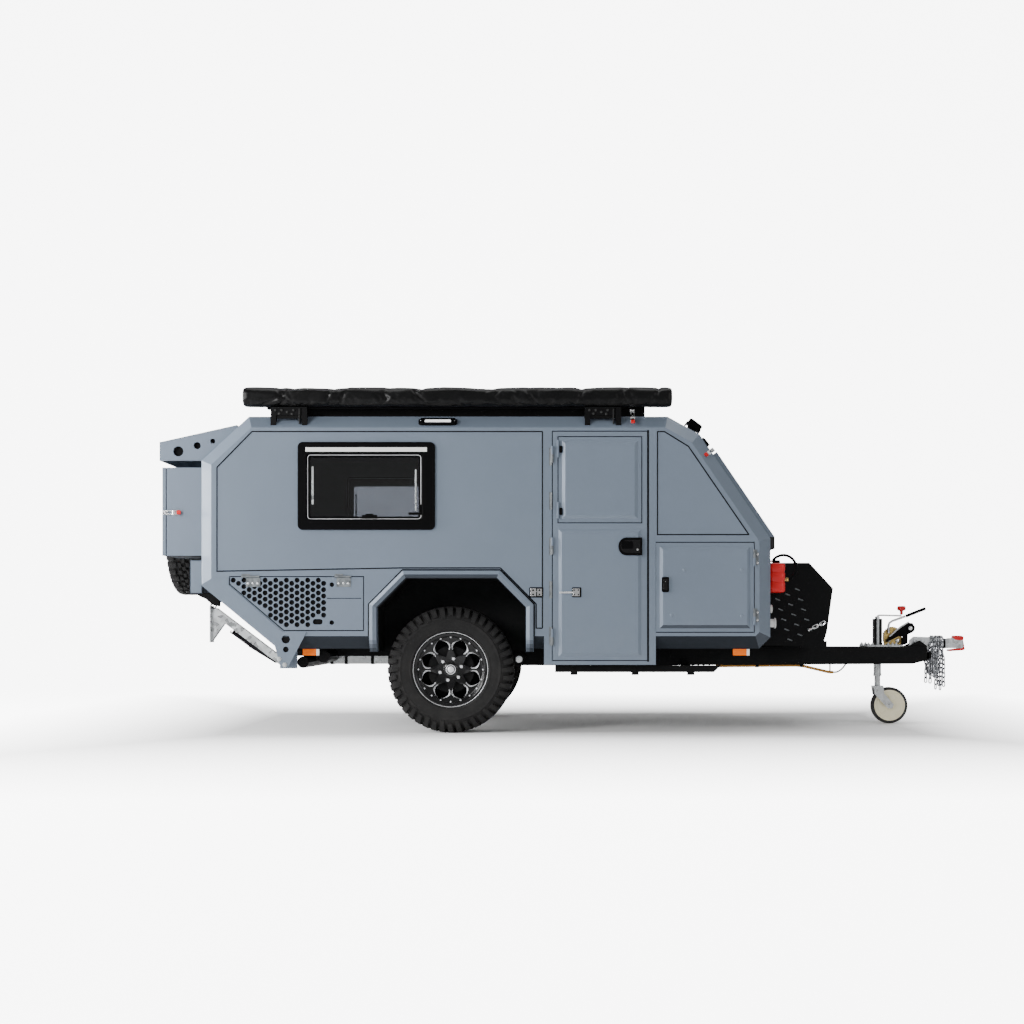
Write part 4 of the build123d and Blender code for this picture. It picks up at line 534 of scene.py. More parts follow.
coats = {
    # under sets how strongly the painted shade darkens faces that look down
    "bodyPaint": {"colour": (0.15, 0.186, 0.238), "rough": 0.36, "drift": 0.05, "driftScale": 1.6,
        "grainScale": 260.0, "metal": 0.15, "coat": 0.25, "coatRough": 0.15, "dust": 0.08, "dustTop": 0.9,
        "bump": 0.05, "under": 0.95, "specular": 0.4},
    "blackPaint": {"colour": (0.0022, 0.0022, 0.0026), "rough": 0.5, "drift": 0.2, "grainScale": 700.0,
        "dust": 0.02, "dustTop": 0.6, "bump": 0.12, "specular": 0.1},
    "blackPlastic": {"colour": (0.002, 0.002, 0.0023), "rough": 0.42, "drift": 0.15, "grainScale": 900.0,
        "bump": 0.2, "specular": 0.05},
    "tyreRubber": {"colour": (0.0058, 0.0057, 0.0059), "rough": 0.75, "drift": 0.25, "driftScale": 14.0,
        "grainScale": 650.0, "dust": 0.03, "dustTop": 0.9, "bump": 0.3, "specular": 0.25},
    "greyRubber": {"colour": (0.022, 0.022, 0.022), "rough": 0.75, "drift": 0.2, "driftScale": 20.0,
        "grainScale": 500.0, "dust": 0.06, "dustTop": 0.4, "bump": 0.3, "specular": 0.25},
    "creamPlastic": {"colour": (0.88, 0.82, 0.6), "rough": 0.5, "drift": 0.1, "driftScale": 12.0,
        "dust": 0.05, "dustTop": 0.35, "dustColour": (0.3, 0.28, 0.24)},
    "rimBlack": {"colour": (0.0025, 0.0025, 0.003), "rough": 0.22, "coat": 0.25, "coatRough": 0.06,
        "drift": 0.1, "grainScale": 500.0, "bump": 0.03, "specular": 0.25},
    "redPlastic": {"colour": (0.56, 0.003, 0.005), "rough": 0.36, "coat": 0.08, "drift": 0.08,
        "driftScale": 8.0, "bump": 0.06, "specular": 0.35},
    "yellowPlastic": {"colour": (0.45, 0.205, 0.022), "rough": 0.45, "drift": 0.15, "driftScale": 14.0,
        "dust": 0.05},
    "bedCloth": {"colour": (0.04, 0.042, 0.048), "rough": 0.9, "drift": 0.15, "crease": 4.0, "bump": 0.3,
        "bumpDepth": 0.006},
    "bagCloth": {"colour": (0.0022, 0.0022, 0.0024), "rough": 0.34, "roughDrift": 0.2, "drift": 0.2,
        "driftScale": 9.0, "crease": 8.0, "bump": 0.35, "bumpDepth": 0.008, "specular": 0.17},
    # near-black for the wheel tubs, floor pan, springs and vent mesh, and painted shade behind holes, gaps
    # and the rim petals
    "darkLiner": {"colour": (0.0045, 0.0046, 0.005), "rough": 0.8, "drift": 0.3, "grainScale": 300.0,
        "bump": 0.4, "dust": 0.02, "dustTop": 1.1, "specular": 0.12},
    "whitePlastic": {"colour": (0.8, 0.8, 0.78), "rough": 0.4, "drift": 0.04, "grainScale": 600.0},
}
# sidePaint adds the near-black inward faces to bodyPaint's painted shade; doorPaint has the inward faces
# without the painted shade; plainPaint has only bodyPaint without the painted shade
coats["sidePaint"] = {**coats["bodyPaint"], "darkInside": True}
coats["doorPaint"] = {**coats["bodyPaint"], "darkInside": True, "under": 0.0}
coats["plainPaint"] = {**coats["bodyPaint"], "under": 0.0}
metals = {
    "galvanised": {"colour": (0.5, 0.52, 0.53), "rough": 0.34, "spangle": 0.3, "spangleScale": 45.0,
        "metal": 0.9, "dust": 0.08},
    "chrome": {"colour": (0.82, 0.83, 0.84), "rough": 0.14, "spangle": 0.04, "spangleScale": 90.0},
    "dullZinc": {"colour": (0.17, 0.185, 0.195), "rough": 0.48, "spangle": 0.4, "spangleScale": 60.0,
        "metal": 0.6},
    "milledAlloy": {"colour": (0.8, 0.81, 0.83), "rough": 0.42, "spangle": 0.05, "spangleScale": 200.0,
        "metal": 0.45},
    "chainSteel": {"colour": (0.34, 0.35, 0.37), "rough": 0.22, "spangle": 0.3, "spangleScale": 120.0},
    "goldZinc": {"colour": (0.5, 0.36, 0.13), "rough": 0.3, "spangle": 0.25, "spangleScale": 70.0},
    "brass": {"colour": (0.6, 0.4, 0.14), "rough": 0.3, "spangle": 0.1},
}
mats = {}
for label, look in coats.items():
    mats[label] = coatedMaterial(label, look)
for label, look in metals.items():
    mats[label] = metalMaterial(label, look)


def lensMaterial(name, colour, rough, glow=0.0, clear=0.55):
    mat, tree, shader = newMaterial(name)
    place = tree.nodes.new("ShaderNodeTexCoord").outputs["Object"]
    ribs = tree.nodes.new("ShaderNodeTexWave")
    ribs.inputs["Scale"].default_value = 90.0
    tree.links.new(place, ribs.inputs["Vector"])
    grain = placeGroup(tree, surfaceGrain, {"Colour": colour, "Drift": 0.08, "Drift Scale": 20.0,
        "Roughness": rough})
    tree.links.new(grain.outputs["Colour"], shader.inputs["Base Color"])
    tree.links.new(grain.outputs["Roughness"], shader.inputs["Roughness"])
    setInputs(shader, {"Coat Weight": clear, "Specular IOR Level": 0.2 + clear * 0.5,
        "Emission Color": (*colour, 1), "Emission Strength": glow})
    addBump(tree, shader, ribs.outputs["Fac"], 0.25, 0.0015)
    return mat


def glassMaterial(name, tint, rough):
    mat, _, shader = newMaterial(name)
    setInputs(shader, {"Base Color": (*tint, 1), "Roughness": rough, "IOR": 1.46,
        "Transmission Weight": 1.0})
    return mat


mats["amberLens"] = lensMaterial("amberLens", (0.74, 0.13, 0.0), 0.45, 0.22, 0.0)
mats["redLens"] = lensMaterial("redLens", (0.42, 0.008, 0.008), 0.2, 0.02)
mats["clearLens"] = lensMaterial("clearLens", (0.86, 0.87, 0.87), 0.18, 1.2)
mats["tintedGlass"] = glassMaterial("tintedGlass", (0.4, 0.42, 0.46), 0.015)
print("materials ready:", len(mats))

nodeFinish = {
    "sidePaint": ["side_rear_right", "side_front_right", "door_frame", "side_wall_left",
        "storage_door_right", "storage_door_left"],
    "doorPaint": ["entry_door", "door_hatch"],
    "plainPaint": ["rear_visor"],
    "bodyPaint": ["rear_wall", "roof_panel", "front_slope", "front_wall", "arch_flares",
                  "front_lid", "toolboxes", "toolbox_door_right", "toolbox_door_left",
                  "rear_bumper", "skid_plates", "vent_hatch_right", "vent_hatch_left"],
    "blackPaint": ["roof_lid", "spare_carrier", "trailing_arms", "chassis_frame", "awning_brackets",
        "front_rack", "step_rail", "handbrake"],
    "darkLiner": ["wheel_tubs", "floor_pan", "springs"],
    "blackPlastic": ["window_frames", "door_handle", "work_lamps", "awning_bag"],
    "tintedGlass": ["window_panes"],
    "dullZinc": ["fixed_hinges"],
    "galvanised": ["water_tank", "coupling_body", "safety_chains", "jockey_tube", "jockey_fork",
        "stabiliser_leg_right", "stabiliser_leg_left"],
    "tyreRubber": ["wheel_right_tyre", "wheel_left_tyre", "spare_tyre"],
    "rimBlack": ["wheel_right_rim", "wheel_left_rim", "spare_rim"],
    "greyRubber": ["jockey_wheel"],
    "amberLens": ["marker_lamps"],
    "redLens": ["tail_lamps"],
    "redPlastic": ["coupling_handle", "fuel_can"],
    "yellowPlastic": ["conduit"],
    "bedCloth": ["bed"],
}
for label, names in nodeFinish.items():
    for node in names:
        for place in nodes[node].material_slots:
            place.material = mats[label]
print("node finishes set")

# studio: pale sweep, soft lights, camera at the photo's angle
studio = {
    "floor": (0.9, 0.9, 0.9),
    "cameraPlace": (-0.057, -10.275, 0.684),
    "lens": 51.9,
    "shift": (-51 / 1024, 113 / 1024),
    "air": 0.42,
    "lights": [
        {"name": "keyLight", "place": (-7.5, -7.5, 4.2), "aim": (-0.6, 0, 1.0), "size": (3.5, 3.0),
            "power": 820},
        {"name": "fillLight", "place": (6.5, -8.5, 3.5), "aim": (0.5, 0, 1.0), "size": (5.0, 4.0),
            "power": 170},
        {"name": "topLight", "place": (0, -0.5, 7.0), "aim": (0, 0, 0), "size": (7.0, 3.0), "power": 210},
        {"name": "rearLight", "place": (-8.0, -1.5, 2.4), "aim": (-2.3, 0, 1.2), "size": (2.5, 3.5),
            "power": 900},
    ],
    "glow": 7.0,
    "glowFrom": 1.1,
    "glowTo": 4.5,
    "sideGlow": (2.2, 4.2),
}


def buildStudio():
    sweep = [(-60.0, 0.0), (6.0, 0.0)] + [(6.0 + 4 * math.sin(a), 4 - 4 * math.cos(a))
        for a in [math.pi / 2 * k / 12 for k in range(1, 13)]] + [(10.0, 16.0)]
    verts, faces = [], []
    for x in (-60.0, 60.0):
        for y, z in sweep:
            verts.append((x, y, z))
    count = len(sweep)
    for k in range(count - 1):
        faces.append((k, k + 1, count + k + 1, count + k))
    mesh = meshFrom("studioFloor", verts, faces)
    obj = bpy.data.objects.new("studioFloor", mesh)
    bpy.context.scene.collection.objects.link(obj)
    mesh.polygons.foreach_set("use_smooth", [True] * len(mesh.polygons))
    mat, tree, shader = newMaterial("studioPaper")
    setInputs(shader, {"Base Color": (*studio["floor"], 1), "Roughness": 0.9, "Specular IOR Level": 0.1})
    split = tree.nodes.new("ShaderNodeSeparateXYZ")  # the paper brightens away from the trailer
    tree.links.new(tree.nodes.new("ShaderNodeNewGeometry").outputs["Position"], split.inputs[0])
    away = spread(tree, mathNode(tree, "ABSOLUTE", split.outputs["Y"]), studio["glowFrom"],
        studio["glowTo"])
    far = spread(tree, mathNode(tree, "ABSOLUTE", split.outputs["X"]), *studio["sideGlow"])
    away = mathNode(tree, "MAXIMUM", away, far)
    seen = mathNode(tree, "MULTIPLY", away, tree.nodes.new("ShaderNodeLightPath").outputs["Is Camera Ray"])
    tree.links.new(mathNode(tree, "MULTIPLY", seen, studio["glow"]), shader.inputs["Emission Strength"])
    shader.inputs["Emission Color"].default_value = (1, 1, 1, 1)
    mesh.materials.append(mat)
    for light in studio["lights"]:
        data = bpy.data.lights.new(light["name"], "AREA")
        data.shape = "RECTANGLE"
        data.size, data.size_y = light["size"]
        data.energy = light["power"]
        lamp = bpy.data.objects.new(light["name"], data)
        lamp.location = light["place"]
        lamp.rotation_mode = "QUATERNION"
        lamp.rotation_quaternion = (Vector(light["aim"]) - Vector(light["place"])).to_track_quat("-Z", "Y")
        bpy.context.scene.collection.objects.link(lamp)
    world = bpy.data.worlds.new("studioAir")
    world.use_nodes = True
    air = world.node_tree
    air.nodes["Background"].inputs[0].default_value = (1, 1, 1, 1)
    seen = mathNode(air, "MULTIPLY", air.nodes.new("ShaderNodeLightPath").outputs["Is Camera Ray"],
        studio["glow"])
    # white past the paper's edge
    air.links.new(mathNode(air, "ADD", seen, studio["air"]), air.nodes["Background"].inputs[1])
    bpy.context.scene.world = world
    camera = bpy.data.cameras.new("photoCamera")
    camera.lens = studio["lens"]
    camera.sensor_width = 36
    camera.shift_x, camera.shift_y = studio["shift"]
    holder = bpy.data.objects.new("photoCamera", camera)
    holder.location = studio["cameraPlace"]
    holder.rotation_euler = (math.pi / 2, 0, 0)
    bpy.context.scene.collection.objects.link(holder)
    bpy.context.scene.camera = holder


buildStudio()
print("studio ready")

# wheels: mud tyre and black rim with eight petal windows
wheelLook = {"radius": 0.4013, "half": 0.1325, "lugs": 44, "lugFill": 0.66, "segments": 120, "petals": 8,
    "petalInner": 0.082, "petalOuter": 0.198, "petalHalf": 0.0455, "faceLevel": 0.092, "hubLevel": 0.078,
    "lipDots": 20, "studs": 6, "studCircle": 0.06985}


def tyrePiece(name, place, body):
    shape = Gather()
    carcass = [(0.2163, 0.103), (0.2384, 0.1038), (0.2386, 0.116), (0.244, 0.124), (0.249, 0.1265),
        (0.25, 0.128), (0.256, 0.1285), (0.258, 0.1274), (0.28, 0.13), (0.3, 0.1308), (0.315, 0.1304),
        (0.3165, 0.1312), (0.3195, 0.1312), (0.321, 0.1296), (0.33, 0.1268), (0.34, 0.123), (0.354, 0.1165),
        (0.37, 0.107), (0.378, 0.095), (0.382, 0.076)]
    full = carcass + [(r, -w) for r, w in reversed(carcass)]
    shape.turned(full, place, wheelLook["segments"], closed=True)
    pitch = 2 * math.pi / wheelLook["lugs"]
    top = [(0.333, 0.1316), (0.356, 0.132), (0.379, 0.127), (0.395, 0.114), (0.4005, 0.092), (0.401, 0.062)]
    base = [(0.329, 0.124), (0.348, 0.116), (0.364, 0.108), (0.374, 0.096), (0.379, 0.084), (0.38, 0.06)]
    for face in (1, -1):
        for k in range(wheelLook["lugs"]):
            centre = pitch * (k + (0.5 if face < 0 else 0.0))
            long = k % 2 == 0
            half = pitch * wheelLook["lugFill"] / 2
            verts = []
            for i, ((rt, wt), (rb, wb)) in enumerate(zip(top, base)):
                if i == 0:
                    rt += -0.005 if long else 0.01
                    rb += -0.005 if long else 0.01
                if i == 5 and not long:
                    wt += 0.012
                    wb += 0.012
                lean = 0.02 * (i - 2) / 3
                taper = 0.8 + 0.2 * min(i, 3) / 3
                for r, w, grow in ((rb, wb, 1.06), (rt, wt, 0.97)):
                    for s in (-1, 1):
                        a = centre + lean + s * half * taper * grow
                        verts.append(place @ polar(r, a, face * w))
            faces = []
            for i in range(5):
                b = 4 * i
                faces += [(b + 2, b + 3, b + 7, b + 6), (b, b + 2, b + 6, b + 4),
                    (b + 1, b + 5, b + 7, b + 3)]
            faces += [(0, 1, 3, 2), (20, 22, 23, 21)]
            shape.add(verts, faces)
            # middle blocks
            for row, (w0, w1, reach) in enumerate(((0.052, 0.03, 0.3), (0.024, 0.003, 0.27))):
                mid = centre + pitch * (0.22 + 0.45 * row)
                verts = []
                for r, grow in ((0.384, 1.06), (0.401, 0.95)):
                    for w, shift in ((w0, 0.0), (w1, 0.012)):
                        for s in (-1, 1):
                            a = mid + shift * (1 if row else -1) + s * pitch * reach * grow
                            verts.append(place @ polar(r, a, face * w))
                shape.add(verts, [(4, 5, 7, 6), (0, 4, 6, 2), (1, 3, 7, 5), (0, 1, 5, 4), (2, 6, 7, 3)])
    for k in range(72):  # fine ribs on the outer wall
        a = 2 * math.pi * k / 72
        verts = []
        for r, w in ((0.286, 0.1304), (0.3, 0.1316), (0.313, 0.1312)):
            for s in (-0.006, 0.006):
                verts.append(place @ polar(r, a + s, w))
        if k % 6 in (0, 1, 2, 3):
            shape.add(verts, [(0, 1, 3, 2), (2, 3, 5, 4)])
    return shape.piece(name, "tyreRubber", "tyre_rubber", body=body, sharp=30)


def rimPiece(name, place, body, withDrum):
    shape = Gather()
    inner, outer = wheelLook["petalInner"], wheelLook["petalOuter"]
    rows, across = 22, 10
    sector = 2 * math.pi / wheelLook["petals"]

    def level(r):
        t = min(max((r - 0.03) / (outer - 0.03), 0), 1)
        return wheelLook["hubLevel"] + (wheelLook["faceLevel"] - wheelLook["hubLevel"]) * t * t

    def petalHalf(t):
        return wheelLook["petalHalf"] * max(math.sin(math.pi * t ** 1.5), 0) ** 0.72

    rings = []
    for j in range(rows + 1):
        t = j / rows
        t = t * t * (3 - 2 * t) * 0.5 + t * 0.5
        r = inner + (outer - inner) * t
        opening = math.asin(min(petalHalf(t) / r, 0.99))
        mill = (0.0012 + 0.01 * max(math.sin(math.pi * min(max((t - 0.3) / 0.7, 0), 1)), 0)) / r
        ring = []
        for s in range(wheelLook["petals"]):
            start, stop = sector * (s + 0.5) + opening, sector * (s + 1.5) - opening
            cut = min(mill, (stop - start) * 0.3)
            angles = [start, start + cut] + [start + cut + (stop - start - 2 * cut) * i / (across - 2)
                for i in range(1, across - 2)] + [stop - cut, stop]
            for i, a in enumerate(angles):
                drop = 0.0045 if i in (0, across) and 0 < j < rows else 0.0
                crown = 0.0035 * math.sin(math.pi * i / across) * math.sin(math.pi * t)
                ring.append((r * math.cos(a), r * math.sin(a), level(r) - drop + crown))
        rings.append((t, ring))
    verts, faces, kinds = [], [], []
    for t, ring in rings:
        verts += ring
    wide = wheelLook["petals"] * (across + 1)
    for j in range(rows):
        for s in range(wheelLook["petals"]):
            for i in range(across):
                a = j * wide + s * (across + 1) + i
                faces.append((a, a + 1, a + wide + 1, a + wide))
                milled = i in (0, across - 1) and 0.36 < rings[j][0] < 0.97
                kinds.append(1 if milled else 0)
    firstRing = [Vector(v) for v in rings[0][1]]
    lastRing = [Vector(v) for v in rings[-1][1]]
    hubStart = len(verts)
    hubRadii = [0.064, 0.046, 0.03]
    for r in hubRadii:
        for v in firstRing:
            flat = v.xy.normalized() * r
            verts.append((flat.x, flat.y, level(r)))
    lipRows = [(0.202, 0.0935), (0.206, 0.0975), (0.21, 0.106)]
    lipStart = len(verts)
    for r, z in lipRows:
        for v in lastRing:
            flat = v.xy.normalized() * r
            verts.append((flat.x, flat.y, z))
    chains = [[0, hubStart]] + [[hubStart + k * wide, hubStart + (k + 1) * wide]
        for k in range(len(hubRadii) - 1)]
    chains += [[rows * wide, lipStart]] + [[lipStart + k * wide, lipStart + (k + 1) * wide]
        for k in range(len(lipRows) - 1)]
    for a, b in chains:
        for i in range(wide):
            n = (i + 1) % wide
            faces.append((a + i, a + n, b + n, b + i))
            kinds.append(0)
    mesh = meshFrom(name + "Face", verts, faces)
    mesh.polygons.foreach_set("material_index", kinds)
    work = bmesh.new()
    work.from_mesh(mesh)
    bmesh.ops.remove_doubles(work, verts=work.verts, dist=0.00005)
    bmesh.ops.dissolve_degenerate(work, edges=work.edges, dist=0.00002)
    bmesh.ops.recalc_face_normals(work, faces=work.faces)
    if sum(f.normal.z for f in work.faces) < 0:
        bmesh.ops.reverse_faces(work, faces=work.faces)
    work.to_mesh(mesh)
    work.free()
    mesh.transform(place)
    face = finishPiece(name + "Face", mesh, "rimBlack milledAlloy", body)
    thick = face.modifiers.new("depth", "SOLIDIFY")
    thick.thickness = 0.026
    thick.offset = -1
    keepSharp(face, 28)
    barrel = [(0.207, 0.064), (0.2075, 0.098), (0.21, 0.106), (0.215, 0.112), (0.223, 0.1152),
        (0.233, 0.116), (0.2378, 0.114), (0.238, 0.1042), (0.2166, 0.1038), (0.216, 0.09), (0.216, -0.1036),
        (0.238, -0.1042), (0.238, -0.115), (0.23, -0.116), (0.212, -0.113), (0.207, -0.104)]
    shape.turned(barrel, place, 96, closed=True)
    # bright line on the lip
    shape.turned([(0.2352, 0.1156), (0.2366, 0.1163), (0.2381, 0.1156), (0.2378, 0.1146)], place, 96, 1)
    for k in range(wheelLook["lipDots"]):
        a = 2 * math.pi * k / wheelLook["lipDots"]
        spot = place @ shiftBy(*polar(0.2055, a, 0.0965))
        shape.turned([(0.0062, 0), (0.0062, 0.002), (0.0042, 0.0048), (0, 0.006)], spot, 8, 1)
    hub = wheelLook["hubLevel"]
    shape.turned([(0.048, hub - 0.004), (0.047, hub + 0.006), (0.042, hub + 0.01), (0.032, hub + 0.012)],
        place, 32, 0)
    shape.turned([(0.032, hub + 0.004), (0.0315, hub + 0.013), (0.0285, hub + 0.015),
        (0.027, hub + 0.0135)], place, 32, 1)
    shape.turned([(0.027, hub + 0.0135), (0.0255, hub + 0.0105), (0.022, hub + 0.0105),
        (0.0205, hub + 0.0135)], place, 32, 0)
    shape.turned([(0.0205, hub + 0.0135), (0.016, hub + 0.0165), (0.0, hub + 0.0178)], place, 32, 1)
    for k in range(wheelLook["studs"]):
        a = 2 * math.pi * (k + 0.25) / wheelLook["studs"]
        spot = place @ shiftBy(*polar(wheelLook["studCircle"], a, hub - 0.002))
        shape.turned([(0.0155, 0.0), (0.0155, 0.005), (0.0125, 0.0062), (0.0122, 0.003)], spot, 20, 0)
        shape.turned([(0.0105, 0.002), (0.0105, 0.018), (0.008, 0.0215), (0, 0.0225)], spot, 6, 1)
    # painted shade: dark dish behind the petals, standing in for the shade inside the wheel
    shape.turned([(0.0, -0.034), (0.2, -0.034), (0.207, -0.03), (0.207, -0.024), (0.0, -0.028)],
        place, 48, 2)
    back = 0.058
    if withDrum:
        shape.turned([(0.03, back - 0.086), (0.15, back - 0.086), (0.152, back - 0.08),
            (0.152, back - 0.012), (0.146, back - 0.002), (0.03, back - 0.002)], place, 48, 2)
    else:
        shape.turned([(0.0, back - 0.002), (0.09, back - 0.002), (0.09, back + 0.004), (0.0, back + 0.004)],
            place, 32, 2)
    return [face, shape.piece(name + "Barrel", "rimBlack milledAlloy darkLiner", "rim_black",
        body=body, sharp=30)]


for tyreNode, rimNode, body, outward in (("wheel_right_tyre", "wheel_right_rim", "wheel_right", (0, -1, 0)),
        ("wheel_left_tyre", "wheel_left_rim", "wheel_left", (0, 1, 0)),
        ("spare_tyre", "spare_rim", "trailer", (-1, 0, 0))):
    low, high = boxOf(tyreNode)
    place = facing((low + high) / 2, outward)
    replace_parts(tyrePiece(tyreNode + "Mud", place, body), tyreNode)
    parts = rimPiece(rimNode + "Alloy", place, body, body != "trailer")
    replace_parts(parts[1], rimNode)
print("wheels ready")

# side windows: black moulded frame, hinge rail, silver edged pane border, stays and catches
windowLook = {"corner": 0.032, "proud": 0.014, "paneBorder": 0.024, "paneCorner": 0.018}


def windowPieces(sign, tag):
    low, high = boxOf("window_frames")
    middle = sign * (high.y - windowLook["proud"] / 2)
    outer = roundedBox(low.x, high.x, low.z, high.z, windowLook["corner"], 8)
    hole = roundedBox(low.x + 0.056, high.x - 0.082, low.z + 0.062, high.z - 0.075, 0.018, 8)
    bezel = flatPlate("windowBezel" + tag, outer, [hole], windowLook["proud"], middle, "blackPlastic",
        "trailer", 0.004)
    around, within = (roundedBox(low.x + d, high.x - d, low.z + d, high.z - d, 0.02)
        for d in (0.0265, 0.0375))
    flatPlate("windowSleeve" + tag, around, [within], 0.029, sign * (high.y - windowLook["proud"] - 0.015),
              "blackPlastic", "trailer")
    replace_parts(bezel, "window_frames")
    detail = Gather()
    out = Matrix.Diagonal((1, sign, 1, 1))  # drawn for the left side, flipped for the right
    base = high.y - windowLook["proud"]

    def block(x0, x1, z0, z1, d0, d1, mat):
        detail.box((x0, base + d0, z0), (x1, base + d1, z1), mat, out)

    left, right, top, bottom = low.x + 0.054, high.x - 0.08, high.z - 0.073, low.z + 0.06
    block(low.x + 0.05, high.x - 0.05, high.z - 0.062, high.z - 0.034, 0.001, 0.0145, 0)  # pale hinge rail
    block(low.x + 0.05, high.x - 0.05, high.z - 0.067, high.z - 0.062, 0.001, 0.0148, 1)
    for x0, x1, z0, z1 in ((left + 0.034, left + 0.046, bottom + 0.1, top - 0.08),
            (right - 0.046, right - 0.036, bottom + 0.06, top - 0.1)):
        block(x0, x1, z0, z1, 0.001, 0.006, 2)  # stays
    mid = (low.x + high.x) / 2
    block(mid - 0.03, mid + 0.07, bottom + 0.01, bottom + 0.034, 0.001, 0.01, 1)  # catch at the foot
    block(mid - 0.005, mid + 0.045, bottom + 0.03, bottom + 0.042, 0.001, 0.014, 1)
    block(right - 0.086, right - 0.006, bottom + 0.034, bottom + 0.05, 0.001, 0.01, 1)  # corner latch
    block(right - 0.022, right - 0.006, bottom + 0.034, bottom + 0.1, 0.001, 0.008, 1)
    detail.piece("windowFittings" + tag, "whitePlastic blackPlastic galvanised", "black_plastic",
        bevel=0.0015)
    border = windowLook["paneBorder"]
    around = roundedBox(left, right, bottom, top, windowLook["paneCorner"], 6)
    within = roundedBox(left + border, right - border, bottom + border, top - border, 0.012, 6)
    flatPlate("windowBorder" + tag, around, [within], 0.004, sign * (base + 0.003),
              "blackPlastic", "trailer", 0.001)
    edge = Gather()
    line = [Vector((x, sign * (base + 0.0052), z)) for x, z in roundedBox(left + 0.009, right - 0.009,
        bottom + 0.009, top - 0.009, windowLook["paneCorner"], 6)]
    edge.tube(line + line[:2], 0.0018, 6)
    edge.piece("windowEdge" + tag, "milledAlloy", "bare_steel")


for sign, tag in bothSides:
    windowPieces(sign, tag)
print("windows ready")

# vent hatches with round holes on the same lattice as the solids
ventLook = {"thick": 0.012, "top": 0.0109, "hole": 0.016, "pitch": 0.067, "row": 0.02, "margin": 0.02,
    "span": 0.6, "rise": 0.29, "slope": 1.172}


def ventPiece(node, sign, body):
    low, high = boxOf(node)
    y = highSide
    x0, x1, z0, z1 = low.x, high.x, low.z, high.z - ventLook["top"]
    rise, slope = ventLook["rise"], ventLook["slope"]
    outline = [(x0, z1), (x0, z0 + rise), (x0 + rise * slope, z0), (x1, z0), (x1, z1)]
    holes = []
    rows = int((z1 - z0 - 2 * ventLook["margin"]) / ventLook["row"] + 1e-6) + 1
    for row in range(rows):
        z = z1 - ventLook["margin"] - row * ventLook["row"]
        ramp = x0 + max(0, z0 + rise - z) * slope
        for column in range(int(ventLook["span"] / ventLook["pitch"]) + 1):
            x = x0 + ventLook["margin"] + (column + row % 2 / 2) * ventLook["pitch"]
            end = x0 + ventLook["span"]
            if x < ramp + ventLook["margin"] * 0.8 or x > end or (x > end - 0.11 and z < z0 + 0.092):
                continue
            holes.append(circlePoints(x, z, ventLook["hole"], 16))
    holes.append(roundedBox(x0 + ventLook["span"] - 0.079, x0 + ventLook["span"] - 0.017, z0 + 0.035,
        z0 + 0.069, 0.015, 4))
    holes += [circlePoints(x, z, ventLook["hole"] * 0.9, 16) for x, z in ((-1.514, 0.699), (-1.513, 0.938))]
    plate = flatPlate(node + "Plate", outline, holes, ventLook["thick"], sign * (y - ventLook["thick"] / 2),
        "bodyPaint", body, 0.0008)
    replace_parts(plate, node)
    flatPlate(node + "Mesh", outline, [], 0.002, sign * (y - ventLook["thick"] - 0.0015), "darkLiner", body)
    trim = Gather()
    out = Matrix.Diagonal((1, sign, 1, 1))
    for x in (x0 + 0.146, x1 - 0.122):  # zinc hinges with bolts
        trim.box((x - 0.045, y, z1 - 0.062), (x + 0.045, y + 0.003, z1 - 0.004), 0, out)
        trim.tube([out @ Vector((x - 0.04, y + 0.008, z1 + 0.003)),
            out @ Vector((x + 0.04, y + 0.008, z1 + 0.003))], 0.0069, 12, 0)
        for dx in (-0.03, 0.0, 0.03):
            trim.turned([(0.0075, 0), (0.0075, 0.004), (0.005, 0.006), (0, 0.0065)],
                facing((x + dx, sign * (y + 0.002), z1 - 0.04), (0, sign, 0)), 10, 1)
    # painted shade: black strip for the shade in a pressed line
    trim.box((x0 + ventLook["span"] + 0.01, y, z1 - 0.136), (x1 - 0.012, y + 0.0012, z1 - 0.132), 2, out)
    trim.piece(node + "Hinges", "dullZinc galvanised blackPaint", "bare_steel", body=body)


highSide = boxOf("window_frames")[1].y - windowLook["proud"]
for sign, tag in bothSides:
    ventPiece("vent_hatch_" + tag.lower(), sign, "vent_" + tag.lower())
print("vent hatches ready")

# panel seams and the dark line round each flare
seamLook = {"bead": 0.0046, "sunk": 0.0016, "headDrop": 0.102, "rearInset": 0.113, "cornerDrop": 0.329,
    "cornerInset": 0.335, "foot": 0.66, "archGap": 0.012, "noseLift": 0.015, "browBack": 0.229,
    "browStep": (0.076, 0.094), "noseBack": 0.14}
archLook = {"halfLow": 0.47, "halfTop": 0.287, "drop": 0.185, "shift": 0.009, "width": 0.049,
    "proud": 0.025, "edgeProud": 0.016, "bend": 0.614, "tuck": 0.05}
roofLow, roofHigh = boxOf("roof_panel")
frameLow, frameHigh = boxOf("door_frame")
noseX, noseZ = boxOf("front_wall")[1].x, boxOf("front_wall")[1].z
tyreLow, tyreHigh = boxOf("wheel_right_tyre")
axleX = (tyreLow.x + tyreHigh.x) / 2
archX = axleX + archLook["shift"]
archTop = boxOf("wheel_tubs")[1].z - 0.005
archFoot = boxOf("arch_flares")[0].z


def offsetLine(points, gap):  # parallel line with mitred corners, to the left of the way it runs
    points = [Vector(p) for p in points]
    result = []
    for i, p in enumerate(points):
        before = (p - points[i - 1]).normalized() if i else None
        after = (points[i + 1] - p).normalized() if i < len(points) - 1 else None
        before, after = before or after, after or before
        normal = (Vector((-before.y, before.x)) + Vector((-after.y, after.x))).normalized()
        result.append(p + normal * gap / max(normal.dot(Vector((-before.y, before.x))), 0.3))
    return result


